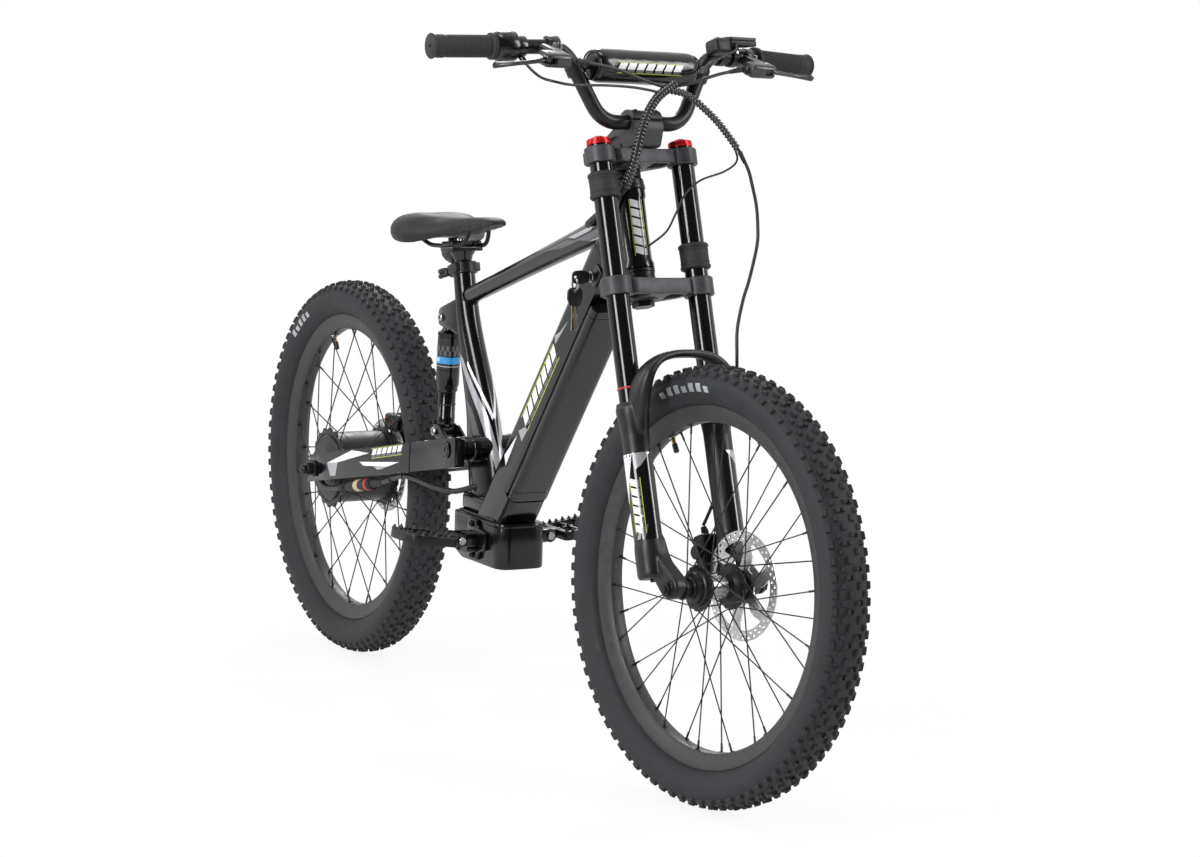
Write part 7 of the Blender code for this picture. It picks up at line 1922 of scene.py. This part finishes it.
def cables():
    """Brake cables, throttle and display wires, the two looms in their spiral wrap and the front brake's hose."""
    to_port = lambda x, y, z: FORK.inverted() @ (at(*CABLE_PORT) + Vector((x, y, z)))
    gather = (0.05, 0.026, 0.041)
    right_end = lever_pivot(-1) + Vector((0.001, 0.047, -0.001))
    left_end = lever_pivot(1) + Vector((0.001, -0.047, -0.001))
    right_brake = [right_end] + below_bar((0.066, -0.11, 0.067), (0.062, -0.07, 0.062), (0.056, -0.02, 0.05),
                                          gather)
    left_brake = [left_end] + below_bar((0.068, 0.11, 0.061), (0.061, 0.066, 0.049), gather)
    throttle = [throttle_exit() + Vector((0.0004, 0, -0.0009))]
    throttle += below_bar((0.036, -0.2, 0.06), (0.054, -0.199, 0.046), (0.072, -0.19, 0.036),
                          (0.074, -0.16, 0.032), (0.07, -0.1, 0.035), (0.062, -0.04, 0.036), (0.0515, 0.022, 0.032))
    display_wire = below_bar((0.0485, 0.165, 0.116), (0.062, 0.152, 0.101), (0.066, 0.128, 0.091),
                             (0.064, 0.09, 0.073), (0.06, 0.055, 0.052), (0.05, 0.03, 0.042))
    loom = below_bar((0.054, 0.034, 0.046), (0.053, 0.003, 0.026), (0.051, -0.02, -0.002))
    loom += ahead_of_legs((0.043, -0.033, 0.656), (0.03, -0.038, 0.624), (0.006, -0.039, 0.597),
                          (-0.03, -0.04, 0.582))
    inlet = [to_port(0.012, -0.026, 0.001), to_port(0.001, -0.014, 0), to_port(0, 0.005, 0)]
    second = below_bar((0.05, 0.02, 0.04), (0.06, 0.052, 0.03), (0.067, 0.072, 0.01))
    second += ahead_of_legs((0.073, 0.09, 0.68), (0.078, 0.104, 0.657), (0.081, 0.114, 0.639))
    wire = ahead_of_legs((0.079, 0.11, 0.646), (0.072, 0.119, 0.622), (0.064, 0.099, 0.607), (0.057, 0.06, 0.595),
                         (0.05, 0.034, 0.576), (0.038, 0.02, 0.548), (0.018, 0.014, 0.526), (-0.0165, 0.004, 0.512))
    pieces = [jacket(right_brake, 0.0025), jacket(left_brake, 0.0025), jacket(throttle, 0.002),
              jacket(display_wire, 0.0017),
              jacket(second, 0.004), wrap(second, 0.005)]
    crossing = [jacket(loom + inlet, 0.005), wrap(loom[:6], 0.0066)]
    for strand in ((0.0034, 0.002), (-0.003, -0.0026)):
        crossing.append(jacket([point + Vector((strand[0], strand[1], 0)) for point in loom[5:]] + inlet, 0.0024))
    sheath = right_brake[1].lerp(right_brake[0], 0.35)
    pieces.append(painted(rod(0.004, right_brake[0], sheath, 16, 0.0008, 0.003), "rubber"))
    sheath = left_brake[1].lerp(left_brake[0], 0.45)
    pieces.append(painted(rod(0.0044, left_brake[0], sheath, 16, 0.0008, 0.003), "rubber"))
    dressed("control_cables", pieces, 45, FORK)
    # What goes on into the frame is given no body and is left where it lies, running from the bars down into the
    # frame
    for name, parts, low, top in (("loom_into_frame", crossing, inlet[-1], loom[1]),
                                  ("wire_into_head", [jacket(wire, 0.0016)], wire[-1], wire[1])):
        lead = finish_piece(name, placed(joined(*parts), FORK), None, None, (), 45)
        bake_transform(lead)
    hose = ahead_of_legs((0.0822, 0.1176, 0.6325), (0.08, 0.131, 0.607), (0.075, 0.139, 0.583),
                         (0.072, 0.144, 0.555), (0.068, 0.145, 0.526), (0.064, 0.142, 0.497), (0.056, 0.126, 0.448),
                         (0.05, 0.114, 0.418), (0.043, 0.102, 0.376), (0.036, 0.1, 0.335), (0.022, 0.103, 0.295),
                         (0.0, 0.1005, 0.25), (-0.014, 0.096, 0.2), (-0.024, 0.087, 0.16), (-0.034, 0.071, 0.125),
                         (-0.0436, 0.0609, 0.102))
    start = ahead_of_legs((0.081, 0.114, 0.639))[0]
    sheath = rod(0.0036, hose[0], hose[1].lerp(hose[0], 0.35), 14, 0.0008, 0.003)
    pieces = [jacket([start] + hose, 0.0025), painted(sheath, "rubber")]
    hose_piece = finish_piece("front_brake_hose_dressed", placed(joined(*pieces), FORK), None, None,
                              "front_brake_hose", 45)
    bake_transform(hose_piece)


def cockpit_pieces():
    stem()
    handlebar()
    grips()
    throttle_housing()
    controls()
    display_and_switch()
    cables()


# Seat and pads

SADDLE_HALF = 0.0765
SEAT_MOUTH = at(0.404, 0.702)
CLAMP_SLOPE = Matrix.Rotation(math.radians(-6), 4, "Y")


def seat_post():
    """A polished black post whose head flares into the cradle for the rails, with a heel for the rear bolt."""
    place = facing(SEAT_MOUTH, SEAT_AXIS)
    shape = [(0, -0.185), (0.0131, -0.185), (0.0135, -0.184), (0.0135, 0.0085), (0.015, 0.011), (0.0158, 0.015),
             (0.0195, 0.02), (0.0205, 0.0225), (0, 0.0225)]
    post = painted(lathe(shape, 64, place), "stanchion")
    cradle = painted(eased(block((0.046, 0.054, 0.006), at(0.3955, 0.7278), 0.0, turn=CLAMP_SLOPE), 0.0018, 3),
                     "black_anodised")
    lip = painted(block((0.048, 0.056, 0.0016), at(0.3955, 0.7308), 0.0006, turn=CLAMP_SLOPE), "polished")
    heel = painted(side_plate([(0.35, 0.7255), (0.352, 0.714), (0.37, 0.7065), (0.392, 0.708),
                               (0.396, 0.726)], 0.03, 0, 0.0035, 0.0014),
                   "black_anodised")
    nut = painted(rod(0.0058, at(0.36, 0.71), at(0.359, 0.7035), 6, 0.0006), "black_steel")
    dressed("seat_post", [post, cradle, lip, heel, nut], 35)


def seat_collar():
    """A deep clamp with flat faces round the top of the tube, split at the rear, its bolt and its nut."""
    place = facing(SEAT_MOUTH, SEAT_AXIS)
    band = [(0.0135, 0.0055), (0.02, 0.0055), (0.0212, 0.0042), (0.0212, -0.0118), (0.02, -0.013),
            (0.017, -0.013), (0.017, 0.001), (0.0138, 0.001)]
    ring = lathe(band, 64, place, closed=True)
    slope = Matrix.Rotation(math.atan2(SEAT_AXIS.x, SEAT_AXIS.z), 4, "Y")
    faces = block((0.032, 0.044, 0.014), SEAT_MOUTH - SEAT_AXIS * 0.0038, 0.0016, turn=slope)
    bore = rod(0.0172, SEAT_MOUTH - SEAT_AXIS * 0.06, SEAT_MOUTH + SEAT_AXIS * 0.06, 64)
    middle = SEAT_MOUTH - SEAT_AXIS * 0.006 + SEAT_BACK * 0.0255
    lug = block((0.015, 0.023, 0.016), middle, 0.003, turn=slope)
    split = block((0.03, 0.002, 0.05), middle + SEAT_BACK * 0.004, turn=slope)
    body = painted(cut(union(faces, lug), bore, split), "black_anodised")
    across = Vector((0, 1, 0))
    nut = painted(rod(0.0058, middle + across * 0.011, middle + across * 0.0165, 6, 0.0006), "black_steel")
    pin = painted(rod(0.0026, middle - across * 0.017, middle + across * 0.015, 20), "steel")
    dressed("seat_collar", [painted(ring, "black_anodised"), body, nut, pin], 35)
    cam = middle - across * 0.0185
    barrel = rod(0.0062, cam - SEAT_AXIS * 0.0065, cam + SEAT_AXIS * 0.0065, 32, 0.0008)
    path = smooth_line([cam - across * 0.001, cam + SEAT_BACK * 0.008 - across * 0.0035,
                        cam + SEAT_BACK * 0.018 - across * 0.003], 0.002)
    blades = [painted(tube_along([point + SEAT_AXIS * rise for point in path],
                                 [0.0036 + 0.0006 * (i / len(path)) for i in range(len(path))], 16),
                      "black_anodised") for rise in (0.004, -0.004)]
    dressed("seat_lever", [painted(barrel, "black_anodised"), *blades], 40)


def rails_and_clamp():
    """Two bent rails, the block that clamps them to the cradle, and its bolts."""
    parts = []
    for side in (1, -1):
        route = [(0.296, 0.75, 0.034), (0.306, 0.74, 0.03), (0.326, 0.731, 0.024), (0.35, 0.7305, 0.022),
                 (0.418, 0.736, 0.022), (0.44, 0.7405, 0.0205), (0.454, 0.754, 0.018), (0.462, 0.78, 0.015)]
        parts.append(jacket([at(x, z, side * y) for x, z, y in route], 0.0035, 16, 0.004, "black_steel"))
        clip = block((0.04, 0.013, 0.0095), at(0.395, 0.7365, side * 0.0205), 0.003, turn=CLAMP_SLOPE)
        parts.append(painted(clip, "black_anodised"))
    parts.append(painted(block((0.03, 0.034, 0.009), at(0.395, 0.7372), 0.0024, turn=CLAMP_SLOPE),
                         "black_anodised"))
    parts.append(bolt_head(at(0.395, 0.741), (0, 0, 1), 0.0052, 0.005, "steel", 0.0026))
    parts.append(painted(rod(0.003, at(0.36, 0.723), at(0.359, 0.74), 20, 0.0005), "steel"))
    parts.append(painted(rod(0.0062, at(0.359, 0.7375), at(0.3588, 0.743), 24, 0.001), "black_steel"))
    dressed("saddle_rails", parts, 40)


def swollen(obj, cap, voxel, held=None):
    """Fills a piece with foam: it is pressed outwards from inside, no point by more than the cap."""
    remesh = obj.modifiers.new("even", "REMESH")
    remesh.mode, remesh.voxel_size = "VOXEL", voxel
    obj = baked(obj)
    start = [vertex.co.copy() for vertex in obj.data.vertices]
    group = obj.vertex_groups.new(name="held")
    for vertex in obj.data.vertices:
        group.add([vertex.index], held(vertex.co) if held else 0.0, "REPLACE")
    cloth = obj.modifiers.new("foam", "CLOTH")
    settings = cloth.settings
    settings.use_pressure, settings.uniform_pressure_force = True, 4.0
    settings.effector_weights.gravity = 0
    settings.vertex_group_mass, settings.pin_stiffness = "held", 1.0
    settings.tension_stiffness = settings.compression_stiffness = 40
    scene = bpy.context.scene
    for step in range(1, 21):
        scene.frame_set(step)
    shape = obj.evaluated_get(bpy.context.evaluated_depsgraph_get())
    ends = [vertex.co.copy() for vertex in shape.data.vertices]
    obj.modifiers.remove(cloth)
    obj.vertex_groups.remove(group)
    for vertex, first, last in zip(obj.data.vertices, start, ends):
        move = last - first
        vertex.co = first + move * min(1.0, cap / move.length) if move.length > 0 else first
    scene.frame_set(1)
    calm = obj.modifiers.new("calm", "SMOOTH")
    calm.factor, calm.iterations = 0.5, 6
    fine = obj.modifiers.new("fine", "SUBSURF")
    fine.levels = fine.render_levels = 1
    return baked(obj, 0)


def saddle():
    """Foam under vinyl on a moulded base: a broad tail with deep skirts that runs into a thin nose."""
    stations = [(0.245, 0.3, 0.7645, 0.752), (0.249, 0.66, 0.771, 0.742), (0.264, 0.92, 0.775, 0.7345),
                (0.295, 1.03, 0.7775, 0.7295), (0.325, 1.01, 0.7775, 0.73), (0.355, 0.83, 0.7765, 0.7365),
                (0.385, 0.62, 0.7765, 0.745), (0.42, 0.44, 0.779, 0.7545), (0.46, 0.345, 0.7825, 0.762),
                (0.495, 0.295, 0.786, 0.767), (0.522, 0.25, 0.786, 0.7705), (0.534, 0.15, 0.7815, 0.7735)]
    rings = []
    for ahead, share, top, skirt in stations:
        half, drop = SADDLE_HALF * share, top - skirt
        section = [(0.0, top - 0.002), (0.3, top - 0.0006), (0.58, top), (0.8, top - drop * 0.12),
                   (0.96, top - drop * 0.36), (1.0, top - drop * 0.62), (0.95, skirt + drop * 0.1), (0.86, skirt),
                   (0.7, skirt + drop * 0.1), (0.35, skirt + drop * 0.26), (0.0, skirt + drop * 0.3)]
        right = [(-side, z) for side, z in section[1:-1]]
        rings.append([at(ahead, z, half * side) for side, z in section + right[::-1]])
    cage = loft(rings)
    soft = cage.modifiers.new("soft", "SUBSURF")
    soft.levels = soft.render_levels = 2
    cushion = swollen(baked(cage, 0), 0.003, 0.0042, lambda co: 1.0 if co.z + BOX_CLEARANCE < 0.738
                      + 0.13 * (co.x + BOX_AHEAD - 0.3) else 0.0)
    dressed("saddle", [cushion], 60, None, "saddle")
    base = []
    for ahead, share, top, skirt in stations[1:-1]:
        half, low = SADDLE_HALF * share, skirt + 0.004
        outline = [(0.8, low), (0.76, low - 0.0015), (0.4, low + 0.004), (0, low + 0.006), (-0.4, low + 0.004),
                   (-0.76, low - 0.0015), (-0.8, low), (-0.4, low + 0.009), (0, low + 0.011), (0.4, low + 0.009)]
        base.append([at(ahead, z, half * side) for side, z in outline])
    shell = loft(base)
    smooth_shell = shell.modifiers.new("soft", "SUBSURF")
    smooth_shell.levels = smooth_shell.render_levels = 2
    finish_piece("saddle_base", baked(shell, 0), "seat", "plastic", (), 45)


def bar_pad():
    """A foam roll in gloss vinyl on the cross bar, drawn in at its stitched ends, with generic bars printed on it."""
    place = FORK @ Matrix.Translation(CROSSBAR) @ TURN_TO_Y
    half, radius = 0.0905, 0.0252
    profile = [(0, -half), (0.01, -half), (0.02, -half + 0.0006), (radius - 0.0012, -half + 0.004),
               (radius, -half + 0.011), (radius, 0), (radius, half - 0.011), (radius - 0.0012, half - 0.004),
               (0.02, half - 0.0006), (0.01, half), (0, half)]
    inside = place.inverted()
    roll = swollen(lathe(profile, 48, place), 0.0016, 0.004,
                   lambda co: 1.0 if abs((inside @ co).z) > half - 0.004 else 0.0)
    dressed("bar_pad", [roll], 60, None, "pad")
    trims = []
    for side in (1, -1):
        stitch = oval(0.0205, side * (half + 0.0002), 0.0014, 0.0012)
        trims.append(painted(lathe(stitch, 56, place, closed=True), "rubber"))
    skin = round_skin(place, 0.0268)
    turned_skin = lambda along, turns, off=0.0: skin(turns, along, off)
    trims += bars(turned_skin, (-0.062, 0.012), (0.055, 0.095), 7)
    finish_piece("bar_pad_trim", joined(*trims), "steered", None, (), 40)


def seat_pieces():
    seat_post()
    seat_collar()
    rails_and_clamp()
    saddle()
    bar_pad()


# Studio


def whiter_far_off(tree, near, far):
    """From 0 to 1 with the distance along the floor from the bicycle's middle, in metres."""
    place = object_coordinates(tree)
    level = add(tree, "VectorMath", {"operation": "MULTIPLY", 1: (0.62, 1.0, 0.0)}, i0=place)
    distance = add(tree, "VectorMath", {"operation": "LENGTH"}, i0=level.outputs[0])
    return ramp(tree, distance.outputs["Value"], near, far)


def studio():
    """A pale floor that keeps the bicycle's shadow and turns white away from it, strip lamps and a white world."""
    bm = bmesh.new()
    bmesh.ops.create_grid(bm, x_segments=1, y_segments=1, size=12)
    floor = placed(new_object(bm, "studio_floor"), Matrix.Translation((0, 0, -BOX_CLEARANCE - 0.0005)))
    material, tree, shader = blank_material("pale_studio_floor")
    shader.inputs["Base Color"].default_value = linear("f4f4f4")
    shader.inputs["Roughness"].default_value = 0.9
    shader.inputs["Specular IOR Level"].default_value = 0.1
    rays = add(tree, "LightPath")
    white = add(tree, "Emission", {"Color": (1, 1, 1, 1), "Strength": 1.0})
    share = ramp(tree, whiter_far_off(tree, 0.25, 0.95), 0.0, 1.0, 0.86, 1.0)
    camera_share = add(tree, "Math", {"operation": "MULTIPLY"}, i0=rays.outputs["Is Camera Ray"], i1=share)
    glossy_share = add(tree, "Math", {"operation": "MULTIPLY", 1: 0.45}, i0=rays.outputs["Is Glossy Ray"])
    seen = add(tree, "Math", {"operation": "MAXIMUM"}, i0=camera_share.outputs[0], i1=glossy_share.outputs[0])
    blend = add(tree, "MixShader", i0=seen.outputs[0], i1=shader.outputs[0], i2=white.outputs[0])
    tree.links.new(blend.outputs[0], tree.nodes["Material Output"].inputs["Surface"])
    floor.data.materials.append(material)

    world = bpy.data.worlds.new("studio")
    bpy.context.scene.world = world
    world.use_nodes = True
    tree = world.node_tree
    back = tree.nodes["Background"]
    rays = add(tree, "LightPath")
    seen = add(tree, "Math", {"operation": "MAXIMUM"}, i0=rays.outputs["Is Camera Ray"],
               i1=rays.outputs["Is Transmission Ray"])
    room = add(tree, "VectorMath", {"operation": "DOT_PRODUCT", 1: (0.88, -0.47, 0.0)},
               i0=add(tree, "TexCoord").outputs["Generated"])
    backdrop = ramp(tree, room.outputs["Value"], -0.25, 0.45, 1.0, 0.12)
    mirrored = add(tree, "Math", {"operation": "MULTIPLY"}, i0=rays.outputs["Is Glossy Ray"], i1=backdrop)
    diffuse = add(tree, "MapRange", {3: 0.4, 4: 0.0}, i0=rays.outputs["Is Glossy Ray"])
    plain = add(tree, "Math", {"operation": "ADD"}, i0=mirrored.outputs[0], i1=diffuse.outputs[0])
    strength = add(tree, "Math", {"operation": "MAXIMUM"}, i0=plain.outputs[0], i1=seen.outputs[0])
    back.inputs["Color"].default_value = (1, 1, 1, 1)
    tree.links.new(strength.outputs[0], back.inputs["Strength"])

    lamps = [("key", (1.85, -3.75, 2.1), (1.3, 2.6), 150), ("front", (2.8, 3.1, 2.1), (0.85, 2.6), 85),
             ("top", (0.4, -0.6, 3.8), (1.6, 0.9), 30), ("behind", (-3.4, 1.6, 3.0), (0.8, 2.4), 60),
             ("side", (-1.8, -3.8, 2.2), (0.6, 2.4), 50)]
    for name, place, size, power in lamps:
        data = bpy.data.lights.new(name, "AREA")
        data.shape = "RECTANGLE"
        data.size, data.size_y = size
        data.energy = power
        lamp = in_scene(bpy.data.objects.new(name, data))
        lamp.location = place
        lamp.rotation_euler = (Vector((0, 0, 0.2)) - lamp.location).to_track_quat("-Z", "Y").to_euler()
    bpy.context.scene.view_settings.view_transform = "Standard"


def camera():
    """The photograph's own viewpoint, solved from both wheels and the frame's straight lines."""
    azimuth, elevation, roll = math.radians(61.93), math.radians(7.87), math.radians(1.5)
    focal_pixels, image_width = 3733.3, 1200
    level = math.cos(elevation)
    back = Vector((math.sin(azimuth) * level, -math.cos(azimuth) * level, math.sin(elevation)))
    right = Vector((math.cos(azimuth), math.sin(azimuth), 0))
    up = back.cross(right)
    right, up = right * math.cos(roll) + up * math.sin(roll), up * math.cos(roll) - right * math.sin(roll)
    data = bpy.data.cameras.new("camera")
    data.sensor_width = 36.0
    data.lens = focal_pixels * data.sensor_width / image_width
    data.clip_start, data.clip_end = 0.1, 60
    view = in_scene(bpy.data.objects.new("camera", data))
    turn = Matrix((right, up, back)).transposed().to_4x4()
    view.matrix_world = Matrix.Translation(at(5.7636, 1.2681, -2.6032)) @ turn
    bpy.context.scene.camera = view


camera()
studio()
wheels()
main_frame()
battery()
control_box()
fork_pieces()
cockpit_pieces()
rear_pieces()
seat_pieces()
